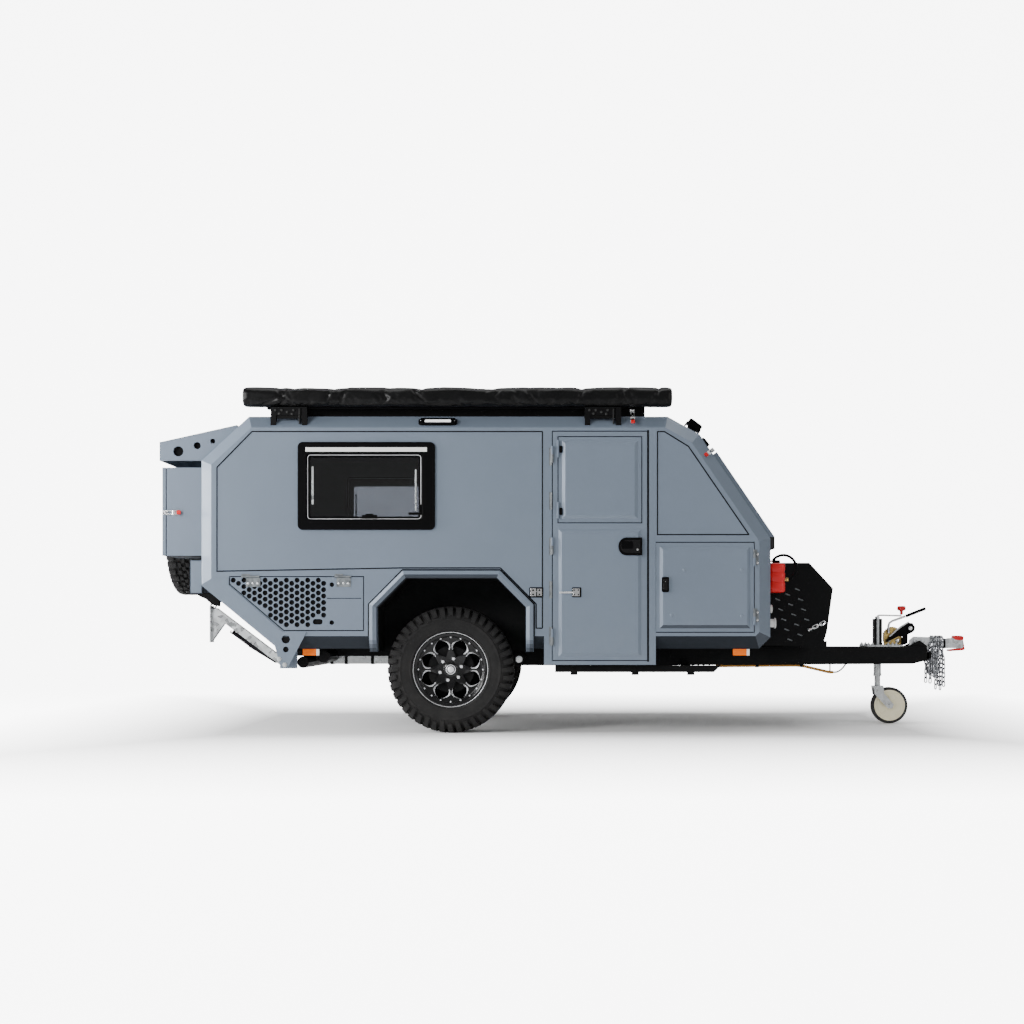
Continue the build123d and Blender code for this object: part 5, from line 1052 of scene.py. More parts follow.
archInner = [(archX - archLook["halfLow"], archFoot), (archX - archLook["halfLow"],
    archTop - archLook["drop"]), (archX - archLook["halfTop"], archTop),
    (archX + archLook["halfTop"], archTop), (archX + archLook["halfLow"], archTop - archLook["drop"]),
    (archX + archLook["halfLow"], archFoot)]
archOuter = offsetLine(archInner, archLook["width"])
seamTop = roofHigh.z - seamLook["headDrop"]
seamRear = [(roofLow.x + seamLook["rearInset"], archTop + 0.04),
    (roofLow.x + seamLook["rearInset"], roofHigh.z - seamLook["cornerDrop"]),
    (roofLow.x + seamLook["cornerInset"], seamTop), (frameLow.x - 0.007, seamTop),
    (frameLow.x - 0.007, seamLook["foot"]), (archOuter[4].x + seamLook["archGap"], seamLook["foot"]),
    (archOuter[4].x + seamLook["archGap"], archOuter[4].y), (archOuter[3].x,
    archOuter[3].y + seamLook["archGap"]), (archOuter[2].x, archOuter[2].y + seamLook["archGap"])]
seamFront = [(frameHigh.x + 0.007, noseZ + seamLook["noseLift"]), (frameHigh.x + 0.007, seamTop),
    (roofHigh.x - seamLook["browBack"], seamTop), (roofHigh.x - seamLook["browStep"][0],
    seamTop - seamLook["browStep"][1]), (noseX - seamLook["noseBack"], noseZ + seamLook["noseLift"])]


def seamPieces(sign, tag):
    beads = Gather()
    y = sign * (highSide - seamLook["sunk"])
    for loop in (seamRear, seamFront):
        line = offsetLine(loop + [loop[0]], -0.0035)
        for a, b in zip(line, line[1:]):
            beads.tube([(a.x, y, a.y), (b.x, y, b.y)], seamLook["bead"], 6)
    edge = offsetLine(archInner, archLook["width"] + 0.003)
    for a, b in zip(edge, edge[1:]):
        beads.tube([(a.x, sign * (highSide - 0.0005), max(a.y, archLook["bend"])),
            (b.x, sign * (highSide - 0.0005), max(b.y, archLook["bend"]))], 0.0046, 6)
    beads.piece("seamBeads" + tag, "blackPlastic", "black_plastic")


def flareRows(sign):
    bend, foot, tuck = archLook["bend"], archFoot, archLook["tuck"]
    inner = [(archInner[0][0], foot + (bend - foot) * k / 4)
        for k in range(5)] + archInner[1:5] + [(archInner[5][0], bend + (foot - bend) * k / 4)
        for k in range(5)]
    outer = [(archOuter[0].x, foot + (bend - foot) * k / 4) for k in range(5)] + [tuple(p)
        for p in archOuter[1:5]] + [(archOuter[5].x, bend + (foot - bend) * k / 4) for k in range(5)]
    profile = [(0.0, -0.004), (0.06, archLook["edgeProud"]), (0.48, archLook["proud"]),
        (0.52, archLook["proud"]), (0.96, archLook["edgeProud"] * 0.7), (1.0, 0.006), (1.0, -0.07)]
    rows = []
    for (xi, zi), (xo, zo) in zip(inner, outer):
        inward = tuck * max(0, (bend - zi) / (bend - foot)) ** 1.6
        rows.append([(xo + (xi - xo) * t, sign * (highSide + rise - inward), zo + (zi - zo) * t)
            for t, rise in profile])
    return rows


def flarePiece(sign, tag):
    rows = flareRows(sign)
    wide = len(rows[0])
    verts = [v for row in rows for v in row]
    faces = [(r * wide + c, r * wide + c + 1, (r + 1) * wide + c + 1, (r + 1) * wide + c)
        for r in range(len(rows) - 1) for c in range(wide - 1)]
    faces += [tuple(range(wide)), tuple(range(len(verts) - wide, len(verts)))]
    shape = Gather()
    shape.add(verts, faces)
    return shape.piece("archFlare" + tag, "bodyPaint", "body_paint", sharp=12)


for sign, tag in bothSides:
    seamPieces(sign, tag)
    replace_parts(flarePiece(sign, tag), "arch_flares")
print("seams and flares ready")

# painted shadow: black cups behind the skid and visor holes; closed beam ends, tail lamps
holeLook = {"skid": [(-1.803, 0.594, 0.034), (-1.803, 0.53, 0.024)],
    "visor": [(-2.51, 1.8, 0.04), (-2.386, 1.835, 0.029), (-2.287, 1.867, 0.023)]}


def holeShadowCups():
    # near-black cups that paint the shadow inside each hole
    cups = Gather()
    for sign in (-1, 1):
        for x, z, r in holeLook["skid"]:
            cups.turned([(0, -0.006), (r * 0.9, -0.006), (r, 0.0)],
                facing((x, sign * 0.9738, z), (0, sign, 0)), 20)
        for x, z, r in holeLook["visor"]:
            cups.turned([(0, -0.014), (r * 0.9, -0.014), (r, 0.0)],
                facing((x, sign * 0.8515, z), (0, sign, 0)), 20)
    cups.piece("holeShadowCups", "darkLiner", "black_plastic")
    bolts = Gather()
    for sign in (-1, 1):
        for x, z in ((-1.809, 0.433), (-1.845, 0.47)):
            bolts.turned([(0.016, 0), (0.016, 0.002), (0.011, 0.0025), (0.011, 0.008), (0, 0.009)],
                facing((x, sign * 0.981, z), (0, sign, 0)), 6)
    bolts.piece("skidBolts", "galvanised", "galvanised")


def beamEnds():
    low, high = boxOf("rear_bumper")
    caps = Gather()
    for sign in (-1, 1):
        caps.box((low.x, sign * (high.y - 0.003), 0.885), (-2.3535, sign * high.y, high.z))
    caps.piece("beamEndCaps", "bodyPaint", "body_paint", bevel=0.001)
    lowLamp, highLamp = boxOf("tail_lamps")
    lamps = Gather()
    for sign in (-1, 1):
        y0, y1 = sorted((sign * (highLamp.y - 0.15), sign * highLamp.y))
        lamps.box((lowLamp.x, y0, lowLamp.z), (highLamp.x, y1, highLamp.z), 0)
        third = (y1 - y0 - 0.016) / 3
        for k in range(3):
            lamps.box((lowLamp.x - 0.0008, y0 + 0.008 + k * third + 0.001, lowLamp.z + 0.008),
                (lowLamp.x + 0.006, y0 + 0.008 + (k + 1) * third - 0.001, highLamp.z - 0.008),
                1 if k != 1 else 2)
    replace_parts(lamps.piece("tailLampUnits", "blackPlastic redLens amberLens", "red_lens", bevel=0.002),
        "tail_lamps")


holeShadowCups()
beamEnds()
print("rear trim ready")

# lamps on the body
lampLook = {"ledX": -0.8475, "ledHalf": (0.122, 0.029), "lensHalf": (0.083, 0.0155),
    "browHalf": (0.045, 0.042), "browDepth": 0.072}


def bodyLamps():
    lamp = Gather()
    place = facing((lampLook["ledX"], -highSide + 0.034, roofHigh.z - 0.046), (0, -1, 1))
    a, b = lampLook["ledHalf"]
    lamp.prism(roundedBox(-a, a, -b, b, 0.022, 5), 0.01, place @ shiftBy(0, 0, 0.006), 0)
    c, d = lampLook["lensHalf"]
    for z0, z1, x0, x1 in ((d, b, -a + 0.012, a - 0.012), (-b, -d, -a + 0.012, a - 0.012), (-d, d, c, a),
            (-d, d, -a, -c)):
        lamp.prism(roundedBox(x0, x1, z0, z1, 0.006, 3), 0.018, place @ shiftBy(0, 0, 0.01), 0)
    lamp.prism(roundedBox(-c, c, -d, d, 0.01, 4), 0.006, place @ shiftBy(0, 0, 0.012), 1)
    for s in (-1, 1):  # corner screws
        lamp.turned([(0.006, 0), (0.006, 0.002), (0, 0.003)],
            place @ shiftBy(s * (a - 0.016), 0, 0.019), 8, 2)
    led = lamp.piece("sideLedLamp", "blackPlastic clearLens chrome", "black_plastic", bevel=0.0015)
    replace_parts(led, "work_lamps")
    brow = Gather()
    middleX, middleZ = 0.766, 1.938  # foot of the lamp on the brow
    seat = facing((middleX, -highSide + 0.215, middleZ), (0.1, 0, 0.135), (0, 1, 0))
    a, b = lampLook["browHalf"]
    brow.prism(roundedBox(-a * 0.7, a * 0.7, -b * 0.7, b * 0.7, 0.01, 3), 0.02,
        seat @ shiftBy(0, 0, 0.008), 0)
    brow.prism(roundedBox(-a, a, -b, b, 0.012, 4), 0.042, seat @ shiftBy(0, 0, 0.038), 0)
    for k in range(6):  # cooling fins
        z = 0.02 + 0.007 * k
        brow.prism(roundedBox(-a - 0.003, a + 0.003, -b - 0.003, b + 0.003, 0.012, 4), 0.003,
            seat @ shiftBy(0, 0, z), 0)
    brow.prism(roundedBox(-a + 0.006, a - 0.006, -b + 0.006, b - 0.006, 0.01, 4), 0.004,
        seat @ shiftBy(0, 0, 0.061), 1)
    for s in (-1, 1):
        brow.tube([seat @ Vector((s * (a + 0.004), -0.01, 0.0)),
            seat @ Vector((s * (a + 0.004), 0.0, 0.03)), seat @ Vector((s * (a - 0.004), 0.0, 0.045))],
            0.006, 8, 0)
    brow.piece("browLamp", "blackPlastic clearLens", "black_plastic", bevel=0.001)
    low, high = boxOf("marker_lamps")
    marks = Gather()
    for x in (low.x + 0.052, high.x - 0.052):
        for sign in (-1, 1):
            y0, y1 = sign * (high.y - 0.02), sign * (high.y - 0.003)
            b0, b1 = sign * (high.y - 0.026), sign * (high.y - 0.016)
            marks.box((x - 0.054, b0, low.z + 0.001), (x + 0.054, b1, high.z), 2)
            marks.box((x - 0.052, y0, low.z + 0.002), (x + 0.034, y1, high.z - 0.002), 0)
            marks.box((x + 0.0345, y0, low.z + 0.002), (x + 0.053, y1, high.z - 0.002), 1)
    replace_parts(marks.piece("markerLenses", "amberLens whitePlastic blackPlastic", "amber_lens",
        bevel=0.002), "marker_lamps")


bodyLamps()
print("lamps ready")

# safety chains with round links on the solids' runs, coupling trim and the red release bar
chainLook = {
    "wire": 0.0042, "pitch": 0.03, "bend": 0.0098, "spread": 0.062,
    "runs": [  # ahead of the eye, out from the middle, height
        [(0.0, 0.062, 0.466), (-0.006, 0.062, 0.268)],
        [(0.02, 0.05, 0.596), (0.012, 0.07, 0.5), (0.016, 0.062, 0.33)],
        [(0.05, 0.046, 0.6), (0.044, 0.068, 0.5), (0.034, 0.062, 0.345)],
        [(0.078, 0.05, 0.598), (0.074, 0.066, 0.47), (0.062, 0.062, 0.216)],
        [(0.066, 0.058, 0.56), (0.086, 0.072, 0.44), (0.088, 0.062, 0.245)],
        [(0.004, 0.04, 0.56), (-0.012, 0.046, 0.44), (0.004, 0.042, 0.36), (0.03, 0.044, 0.318)],
        [(0.034, 0.03, 0.56), (0.03, 0.034, 0.42), (0.024, 0.03, 0.33)],
        [(0.06, 0.034, 0.56), (0.058, 0.036, 0.42), (0.046, 0.034, 0.3)],
    ],
}


def chainLink(shape, place):
    half = (chainLook["pitch"] + 2 * chainLook["wire"]) / 2 - chainLook["bend"]
    ring = []
    for k in range(14):
        a = 2 * math.pi * k / 14
        ring.append(place @ Vector((chainLook["bend"] * math.cos(a),
            chainLook["bend"] * math.sin(a) + (half if math.sin(a) >= 0 else -half), 0)))
    shape.tube(ring + ring[:2], chainLook["wire"], 6, 0, False)


def chainRun(shape, points, phase=0):  # links along a route
    points = [Vector(p) for p in points]
    lengths = [(b - a).length for a, b in zip(points, points[1:])]
    total = sum(lengths)
    count = int(total / chainLook["pitch"])
    for k in range(count):
        goal = chainLook["pitch"] * (k + 0.5)
        for (a, b), length in zip(zip(points, points[1:]), lengths):
            if goal <= length:
                break
            goal -= length
        way = (b - a).normalized()
        centre = a + way * goal
        turn = facing(centre, way.orthogonal(),
            way) @ Matrix.Rotation(math.pi / 2 * ((k + phase) % 2) + 0.4, 4, "Y")
        chainLink(shape, turn)


def chainPieces():
    low = boxOf("safety_chains")[0]
    shape = Gather()
    eyeX, eyeZ = 2.4875, 0.47
    for sign in (-1, 1):
        y = sign * chainLook["spread"]
        shape.prism(circlePoints(0, 0, 0.024, 16), 0.01, facing((eyeX - 0.012, y, eyeZ + 0.004),
            (0, sign, 0)), 1)
        shape.box((low.x, y - 0.005, eyeZ - 0.02), (eyeX - 0.012, y + 0.005, eyeZ + 0.026), 1)
        for k, run in enumerate(chainLook["runs"]):
            chainRun(shape, [(eyeX + ahead, sign * out, z) for ahead, out, z in run], k % 2)
    for x in (eyeX + 0.024, eyeX + 0.056, eyeX + 0.082):  # turns over the coupling neck
        chainRun(shape, [(x, -0.052, 0.59), (x, -0.03, 0.6005), (x, 0.03, 0.6005), (x, 0.052, 0.59)])
    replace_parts(shape.piece("chainLinks", "chainSteel blackPaint", "bare_steel"), "safety_chains")


def couplingPieces():
    trim = Gather()
    for x in (2.383, 2.437):
        for sign in (-1, 1):
            trim.turned([(0.013, 0), (0.013, 0.01), (0.01, 0.012), (0, 0.012)],
                facing((x, sign * 0.0345, 0.572), (0, sign, 0)), 6, 0)
            trim.turned([(0.018, 0), (0.018, 0.003), (0.013, 0.003)],
                facing((x, sign * 0.0335, 0.572), (0, sign, 0)), 16, 0)
    band = facing((2.5815, 0, 0.556), (1, 0, 0))
    # black bellows ring
    trim.turned([(0.0365, 0.0), (0.0365, 0.015), (0.03, 0.0165), (0.03, -0.001)], band, 24, 1, True)
    trim.box((2.62, -0.0345, 0.5895), (2.65, 0.0345, 0.5935), 0)
    trim.turned([(0.008, 0), (0.008, 0.008), (0, 0.009)], facing((2.56, 0, 0.5985), (0, 0, 1)), 10, 1)
    trim.piece("couplingTrim", "galvanised blackPlastic", "galvanised", bevel=0.001)
    bar = Gather()
    upright = facing((0, 0, 0), (0, -1, 0))
    bar.prism([(2.65, 0.594), (2.652, 0.608), (2.664, 0.611), (2.706, 0.611), (2.716, 0.604),
        (2.7295, 0.54), (2.7303, 0.52), (2.722, 0.511), (2.64, 0.5025), (2.626, 0.504), (2.628, 0.514),
        (2.706, 0.521), (2.7185, 0.53), (2.708, 0.588), (2.698, 0.594)], 0.04, upright)
    # thumb pad
    bar.prism([(2.652, 0.592), (2.658, 0.6105), (2.708, 0.6105), (2.722, 0.602), (2.72, 0.582),
        (2.7, 0.578), (2.664, 0.582)], 0.078, upright)
    bar.prism([(2.622, 0.5015), (2.622, 0.514), (2.712, 0.524), (2.73, 0.527), (2.7295, 0.514),
        (2.715, 0.508)], 0.078, upright)
    bar.prism([(2.686, 0.594), (2.716, 0.603), (2.729, 0.54), (2.729, 0.522), (2.686, 0.516)],
        0.056, upright)
    grip = bar.piece("releaseBar", "redPlastic", "red_plastic", sharp=30, bevel=0.002)
    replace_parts(grip, "coupling_handle")


chainPieces()
couplingPieces()
print("coupling and chains ready")

# jockey wheel: clamp sleeve, crank with red knob, cream wheel with a thin dark tyre
jockeyLook = {"x": 2.1305, "wheelX": 2.2105, "radius": 0.127, "crankReach": 0.168}


def jockeyPieces():
    x = jockeyLook["x"]
    top = 0.728
    sleeve = Gather()
    for dx in (-0.0195, 0.0195):
        sleeve.box((x + dx - 0.0085, -0.03, 0.552), (x + dx + 0.0085, 0.03, top), 0)
    sleeve.turned([(0.0262, 0.415), (0.0285, 0.418), (0.0285, 0.45), (0.0262, 0.453)],
        shiftBy(x, 0, 0), 24, 1)
    sleeve.turned([(0.0262, 0.33), (0.028, 0.332), (0.028, 0.346), (0.0262, 0.348)],
        shiftBy(x, 0, 0), 24, 1)
    for dx in (-0.085, -0.058, 0.05, 0.08, 0.105):  # clamp bolts on the drawbar
        for y in (-0.118, 0.118):
            sleeve.turned([(0.013, 0), (0.013, 0.01), (0.006, 0.0105), (0.006, 0.018), (0, 0.019)],
                shiftBy(x + dx, y, 0.545), 6, 1)
            sleeve.turned([(0.018, 0), (0.018, 0.003), (0.013, 0.003)], shiftBy(x + dx, y, 0.5425), 14, 1)
    sleeve.box((x - 0.098, -0.14, 0.5345), (x + 0.125, -0.098, 0.5435), 1)
    sleeve.box((x - 0.098, 0.098, 0.5345), (x + 0.125, 0.14, 0.5435), 1)
    sleeve.piece("jockeySleeve", "blackPaint galvanised", "black_paint", bevel=0.0015)
    crank = Gather()
    end = x + jockeyLook["crankReach"]
    crank.tube([(x, 0, top - 0.02), (x, 0, 0.747), (x + 0.01, 0, 0.7515), (x + 0.026, 0, 0.752),
        (end - 0.012, 0, 0.7485), (end, 0, 0.75)], 0.0062, 10, 0)
    crank.turned([(0.017, 0.0), (0.017, 0.012), (0.013, 0.017), (0, 0.0175)], shiftBy(x, 0, 0.7275), 16, 0)
    crank.turned([(0.0, -0.004), (0.011, 0.0), (0.0105, 0.016), (0.014, 0.024), (0.028, 0.03),
        (0.0305, 0.04), (0.029, 0.052), (0.022, 0.0585), (0, 0.0595)], shiftBy(end, 0, 0.758), 24, 1)
    crank.piece("jockeyCrank", "chrome redPlastic", "bare_steel", sharp=40)
    tube = Gather()
    outer = [(0.0258, 0.3305), (0.0258, 0.52), (0.0258, top), (0.0195, top), (0.0195, 0.3305)]
    tube.turned(outer, shiftBy(x, 0, 0), 32, 0, True)
    tube.box((x - 0.042, -0.136, 0.534), (x + 0.042, 0.136, 0.546), 0)
    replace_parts(tube.piece("jockeyTubeRound", "galvanised", "galvanised", sharp=40), "jockey_tube")


def jockeyWheel():
    low, high = boxOf("jockey_wheel")
    place = facing(((low.x + high.x) / 2, 0, (low.z + high.z) / 2), (0, -1, 0))
    r = jockeyLook["radius"] - 0.0004
    half = high.y - 0.0005
    shape = Gather()
    side = [(r - 0.021, half - 0.006), (r - 0.014, half - 0.003), (r - 0.005, half - 0.006),
        (r, half - 0.014)]
    shape.turned(side + [(a, -w) for a, w in reversed(side)], place, 64, 0, True)
    disc = [(0.0125, half - 0.002), (0.024, half - 0.002), (0.027, half - 0.008), (0.034, half - 0.0125),
        (0.06, half - 0.015), (0.078, half - 0.012), (0.082, half - 0.0145), (0.096, half - 0.012),
        (0.099, half - 0.0045), (r - 0.02, half - 0.0045)]
    for face in (1, -1):
        shape.turned([(a, face * w) for a, w in disc], place, 64, 1)
        for k in range(8):  # shallow ribs
            a = 2 * math.pi * k / 8
            turn = place @ Matrix.Rotation(a, 4, "Z")
            shape.box((0.034, -0.0028, face * (half - 0.018)),
                (0.096, 0.0028, face * (half - 0.0105)), 1, turn)
        shape.turned([(0.0125, face * (half - 0.003)), (0.0165, face * (half - 0.001)),
            (0.021, face * (half - 0.001)), (0.0215, face * (half - 0.004))], place, 24, 2)
    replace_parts(shape.piece("jockeyWheelMoulded", "greyRubber creamPlastic dullZinc", "grey_rubber",
        body="jockey_roller"), "jockey_wheel")
    pin = Gather()
    highFork = boxOf("jockey_fork")[1]
    for sign in (-1, 1):
        spot = facing((jockeyLook["wheelX"], sign * highFork.y, jockeyLook["radius"]), (0, sign, 0))
        pin.turned([(0.0145, -0.003), (0.0145, 0.004), (0.012, 0.006), (0.007, 0.006), (0.007, 0.0105),
            (0, 0.011)], spot, 6, 0)
    pin.piece("jockeyAxleNuts", "galvanised", "galvanised", body="jockey_swivel")


jockeyPieces()
jockeyWheel()
print("jockey wheel ready")

# handbrake: gold quadrant with teeth, chrome lever with a black grip, black cam arm and gas strut
brakeLook = {"x": 2.2385, "z": 0.548}


def handbrakePieces():
    bx, bz = brakeLook["x"], brakeLook["z"]
    shape = Gather()
    gold, steel, black = 0, 1, 2

    def flat(points, y, thick, mat):
        shape.prism([(bx + px, bz + pz) for px, pz in points], thick, facing((0, y, 0), (0, -1, 0)), mat)

    shape.box((bx - 0.06, -0.052, bz - 0.014), (bx + 0.06, 0.052, bz - 0.001), steel)
    teeth = []
    for k in range(9):
        a = math.radians(150 - 10 * k)
        teeth += [(-0.004 + 0.092 * math.cos(a), 0.03 + 0.092 * math.sin(a)),
            (-0.004 + 0.099 * math.cos(a - 0.06), 0.03 + 0.099 * math.sin(a - 0.06))]
    for y in (-0.006, 0.02):
        flat([(-0.058, -0.002), (-0.066, 0.03)] + [(px * 0.78, pz * 0.98)
            for px, pz in teeth] + [(0.06, 0.058), (0.066, 0.022), (0.058, -0.002)], y, 0.006, gold)
    for px, pz, r in ((-0.03, 0.03, 0.013), (0.03, 0.028, 0.016), (-0.012, 0.072, 0.011),
            (0.046, 0.008, 0.01)):
        shape.turned([(r, 0), (r, 0.008), (r * 0.7, 0.011), (0, 0.0115)],
            facing((bx + px, -0.009, bz + pz), (0, -1, 0)), 12, steel if r > 0.012 else gold)
    lever = [(-0.034, 0.08), (-0.037, 0.128), (-0.03, 0.15), (-0.01, 0.164), (0.08, 0.196), (0.21, 0.2465)]
    shape.tube([(bx + px, -0.028, bz + pz) for px, pz in lever[:5]], 0.0085, 10, steel)
    a, b = Vector((bx + 0.088, -0.028, bz + 0.199)), Vector((bx + 0.219, -0.028, bz + 0.2505))
    way = (b - a).normalized()
    shape.tube([a - way * 0.004, a, a + way * 0.01, b - way * 0.012, b - way * 0.003, b], 0.0112, 12, black)
    shape.turned([(0.0045, 0), (0.0045, 0.004), (0, 0.0045)], facing(b, way), 10, steel)
    arm = [(-0.05, 0.016), (-0.052, 0.032), (0.088, 0.146), (0.11, 0.152), (0.128, 0.15), (0.146, 0.122),
        (0.142, 0.098), (0.128, 0.084), (0.096, 0.07), (0.094, 0.01), (0.072, -0.002), (0.052, -0.002),
        (0.06, 0.056), (0.03, 0.058)]
    flat(arm, -0.03, 0.022, black)
    shape.tube([(bx - 0.03, -0.036, bz + 0.056), (bx + 0.046, -0.036, bz + 0.122),
        (bx + 0.104, -0.036, bz + 0.156)], 0.007, 10, steel)
    hub = facing((bx + 0.112, -0.0405, bz + 0.114), (0, -1, 0))
    shape.turned([(0.026, 0.0), (0.026, 0.006), (0.02, 0.008), (0.014, 0.008)], hub, 20, black)
    shape.turned([(0.014, 0.004), (0.014, 0.01), (0.009, 0.013), (0, 0.0135)], hub, 16, steel)
    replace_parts(shape.piece("handbrakeSet", "goldZinc chrome blackPlastic", "bare_steel", bevel=0.001),
        "handbrake")


handbrakePieces()
print("handbrake ready")

# fuel can with pressed ribs, brass fitting; rack shackle; front wall fittings
canLook = {"corner": 0.022}


def canPieces():
    low, high = boxOf("fuel_can")
    top = high.z - 0.022
    shape = Gather()
    levels = [(low.z, 0.012), (low.z + 0.004, 0.004), (low.z + 0.012, 0.0), (low.z + 0.06, 0.0),
        (low.z + 0.066, 0.0035), (low.z + 0.074, 0.0035), (low.z + 0.08, 0.0), (top - 0.066, 0.0),
        (top - 0.06, 0.0035), (top - 0.052, 0.0035), (top - 0.046, 0.0), (top - 0.012, 0.0),
        (top - 0.004, 0.004), (top, 0.012)]
    rows = []
    for z, inset in levels:
        outline = roundedBox(low.x + inset, high.x - inset, low.y + inset, high.y - inset,
            canLook["corner"] - inset * 0.5, 5)
        rows.append([(px, py, z) for px, py in outline])
    wide = len(rows[0])
    verts = [v for row in rows for v in row]
    faces = [(r * wide + c, r * wide + (c + 1) % wide, (r + 1) * wide + (c + 1) % wide, (r + 1) * wide + c)
        for r in range(len(rows) - 1) for c in range(wide)]
    faces += [tuple(range(wide))[::-1], tuple(range(len(verts) - wide, len(verts)))]
    shape.add(verts, faces, 0)
    capX, capY = (low.x + high.x) / 2, low.y + 0.06
    shape.turned([(0.026, -0.002), (0.026, 0.014), (0.022, 0.0195), (0, 0.0205)],
        shiftBy(capX, capY, top), 12, 1)
    shape.tube([(low.x + 0.022, capY + 0.075, top - 0.002), (low.x + 0.022, capY + 0.075, top + 0.016),
        (high.x - 0.022, capY + 0.075, top + 0.016), (high.x - 0.022, capY + 0.075, top - 0.002)],
        0.0065, 8, 0)
    side = facing((high.x - 0.0005, low.y + 0.06, low.z + 0.082), (1, 0, 0))
    shape.turned([(0.012, 0), (0.012, 0.006), (0.009, 0.007), (0.009, 0.012), (0.0125, 0.0125),
        (0.0125, 0.026), (0.0095, 0.027), (0, 0.027)], side, 8, 2)
    # strap
    shape.box((low.x, low.y + 0.02, low.z + 0.092), (high.x + 0.0015, high.y - 0.02, low.z + 0.112), 1)
    can = shape.piece("fuelCanRibbed", "redPlastic blackPlastic brass", "red_plastic", sharp=40)
    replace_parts(can, "fuel_can")
    wall = Gather()
    for z, r, deep in ((0.788, 0.027, 0.027), (0.696, 0.034, 0.05)):  # socket covers on the front wall
        wall.turned([(r * 1.1, 0), (r * 1.1, 0.004), (r * 0.8, 0.006), (r * 0.8, deep - 0.01),
            (r, deep - 0.009), (r, deep - 0.002), (r * 0.9, deep), (0, deep + 0.001)],
            facing((noseX, -0.78, z), (1, 0, 0)), 20, 0)
    wall.piece("frontSocketCovers", "whitePlastic", "black_plastic")
    shackle = Gather()
    y = -0.613
    for k, (px, pz) in enumerate(((1.641, 0.696), (1.618, 0.685), (1.594, 0.674), (1.57, 0.66))):
        turn = facing((px, y, pz), (0, -1, 0), (0.9, 0, 0.42)) @ Matrix.Rotation(math.pi / 2 * (k % 2), 4,
            "Y")
        chainLink(shackle, turn)
    shackle.tube([(1.646, y + 0.012, 0.712), (1.654, y, 0.706), (1.656, y - 0.004, 0.696),
        (1.65, y - 0.002, 0.688)], 0.006, 8)
    shackle.tube([(1.558, y + 0.012, 0.644), (1.552, y, 0.648), (1.554, y - 0.004, 0.658),
        (1.564, y - 0.002, 0.66)], 0.006, 8)
    shackle.piece("rackShackle", "chrome", "bare_steel")


canPieces()
print("front trim ready")

# awning bag: a sewn tube of coated cloth, grown a little against its stitching so that it creases
bagLook = {"rings": 220, "round": 44, "grow": 0.035, "frames": 14, "cap": 0.009, "folds": 80}


def bagOutline(low, high, inset, count):
    # rounded box in the plane across the bag, evenly spaced
    y0, y1, z0, z1 = low.y + inset, high.y - inset, low.z + inset, high.z - inset
    radius = 0.044
    points = [Vector(p) for p in roundedBox(y0, y1, z0, z1, radius, 12)]
    points.append(points[0])
    lengths = [(b - a).length for a, b in zip(points, points[1:])]
    total = sum(lengths)
    result = []
    for k in range(count):
        goal = total * k / count
        for (a, b), length in zip(zip(points, points[1:]), lengths):
            if goal <= length:
                break
            goal -= length
        result.append(a.lerp(b, goal / length if length else 0))
    return result


def awningBag():
    low, high = boxOf("awning_bag")
    ring = bagOutline(low, high, 0.003, bagLook["round"])
    middle = Vector(((low.y + high.y) / 2, (low.z + high.z) / 2))
    shake = random.Random(12)
    folds = [(shake.uniform(0.02, 0.98), shake.uniform(-1.2, 1.2), shake.uniform(0.008, 0.022),
        shake.uniform(0.0012, 0.0042), shake.uniform(0, 6.28)) for k in range(bagLook["folds"])]
    verts = []
    length = high.x - low.x
    for r in range(bagLook["rings"] + 1):
        t = r / bagLook["rings"]
        x = low.x + 0.006 + (length - 0.012) * t
        end = min(t, 1 - t) * length
        squeeze = 1 - 0.1 * max(0, 1 - end / 0.035) ** 2
        for k, p in enumerate(ring):
            angle = 2 * math.pi * k / bagLook["round"]
            dent = 0.0
            for at, lean, wide, deep, turn in folds:
                away = (t - at) * length - lean * 0.26 * math.sin(angle + turn)
                if abs(away) < 4 * wide:
                    dent += deep * math.exp(-(away / wide) ** 2) * max(0, math.cos(angle - turn))
            pulled = middle + (p - middle) * squeeze * (1 - dent / 0.06)
            verts.append((x, pulled.x, pulled.y))
    wide = bagLook["round"]
    faces = [(r * wide + k, r * wide + (k + 1) % wide, (r + 1) * wide + (k + 1) % wide, (r + 1) * wide + k)
        for r in range(bagLook["rings"]) for k in range(wide)]
    for row, x in ((0, low.x + 0.001), (bagLook["rings"], high.x - 0.001)):  # gathered end discs
        start = row * wide
        hubs = []
        for share, push in ((0.62, 0.45), (0.28, 0.75)):
            hubs.append(len(verts))
            for k in range(wide):
                edge = Vector(verts[start + k])
                spot = Vector((edge.x + (x - edge.x) * push, middle.x + (edge.y - middle.x) * share,
                    middle.y + (edge.z - middle.y) * share))
                verts.append(tuple(spot))
        for a, b in ((start, hubs[0]), (hubs[0], hubs[1])):
            faces += [(a + k, a + (k + 1) % wide, b + (k + 1) % wide, b + k) for k in range(wide)]
        faces.append(tuple(range(hubs[1], hubs[1] + wide)))
    shape = Gather()
    shape.add(verts, faces)
    bag = shape.piece("awningBagCloth", "bagCloth", "awning_cloth", sharp=60)
    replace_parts(bag, "awning_bag")
    settleCloth(bag, low, high)
    bag.data.polygons.foreach_set("use_smooth", [True] * len(bag.data.polygons))
    mod = bag.modifiers.new("smooth cloth", "SUBSURF")
    mod.levels = mod.render_levels = 1
    trim = Gather()
    railY = (low.y + high.y) / 2
    # rail under the bag
    trim.box((low.x + 0.15, railY + 0.004, low.z - 0.008), (high.x - 0.3, railY + 0.05, low.z + 0.004), 0)
    trim.piece("awningRail", "blackPlastic", "black_plastic", sharp=40)


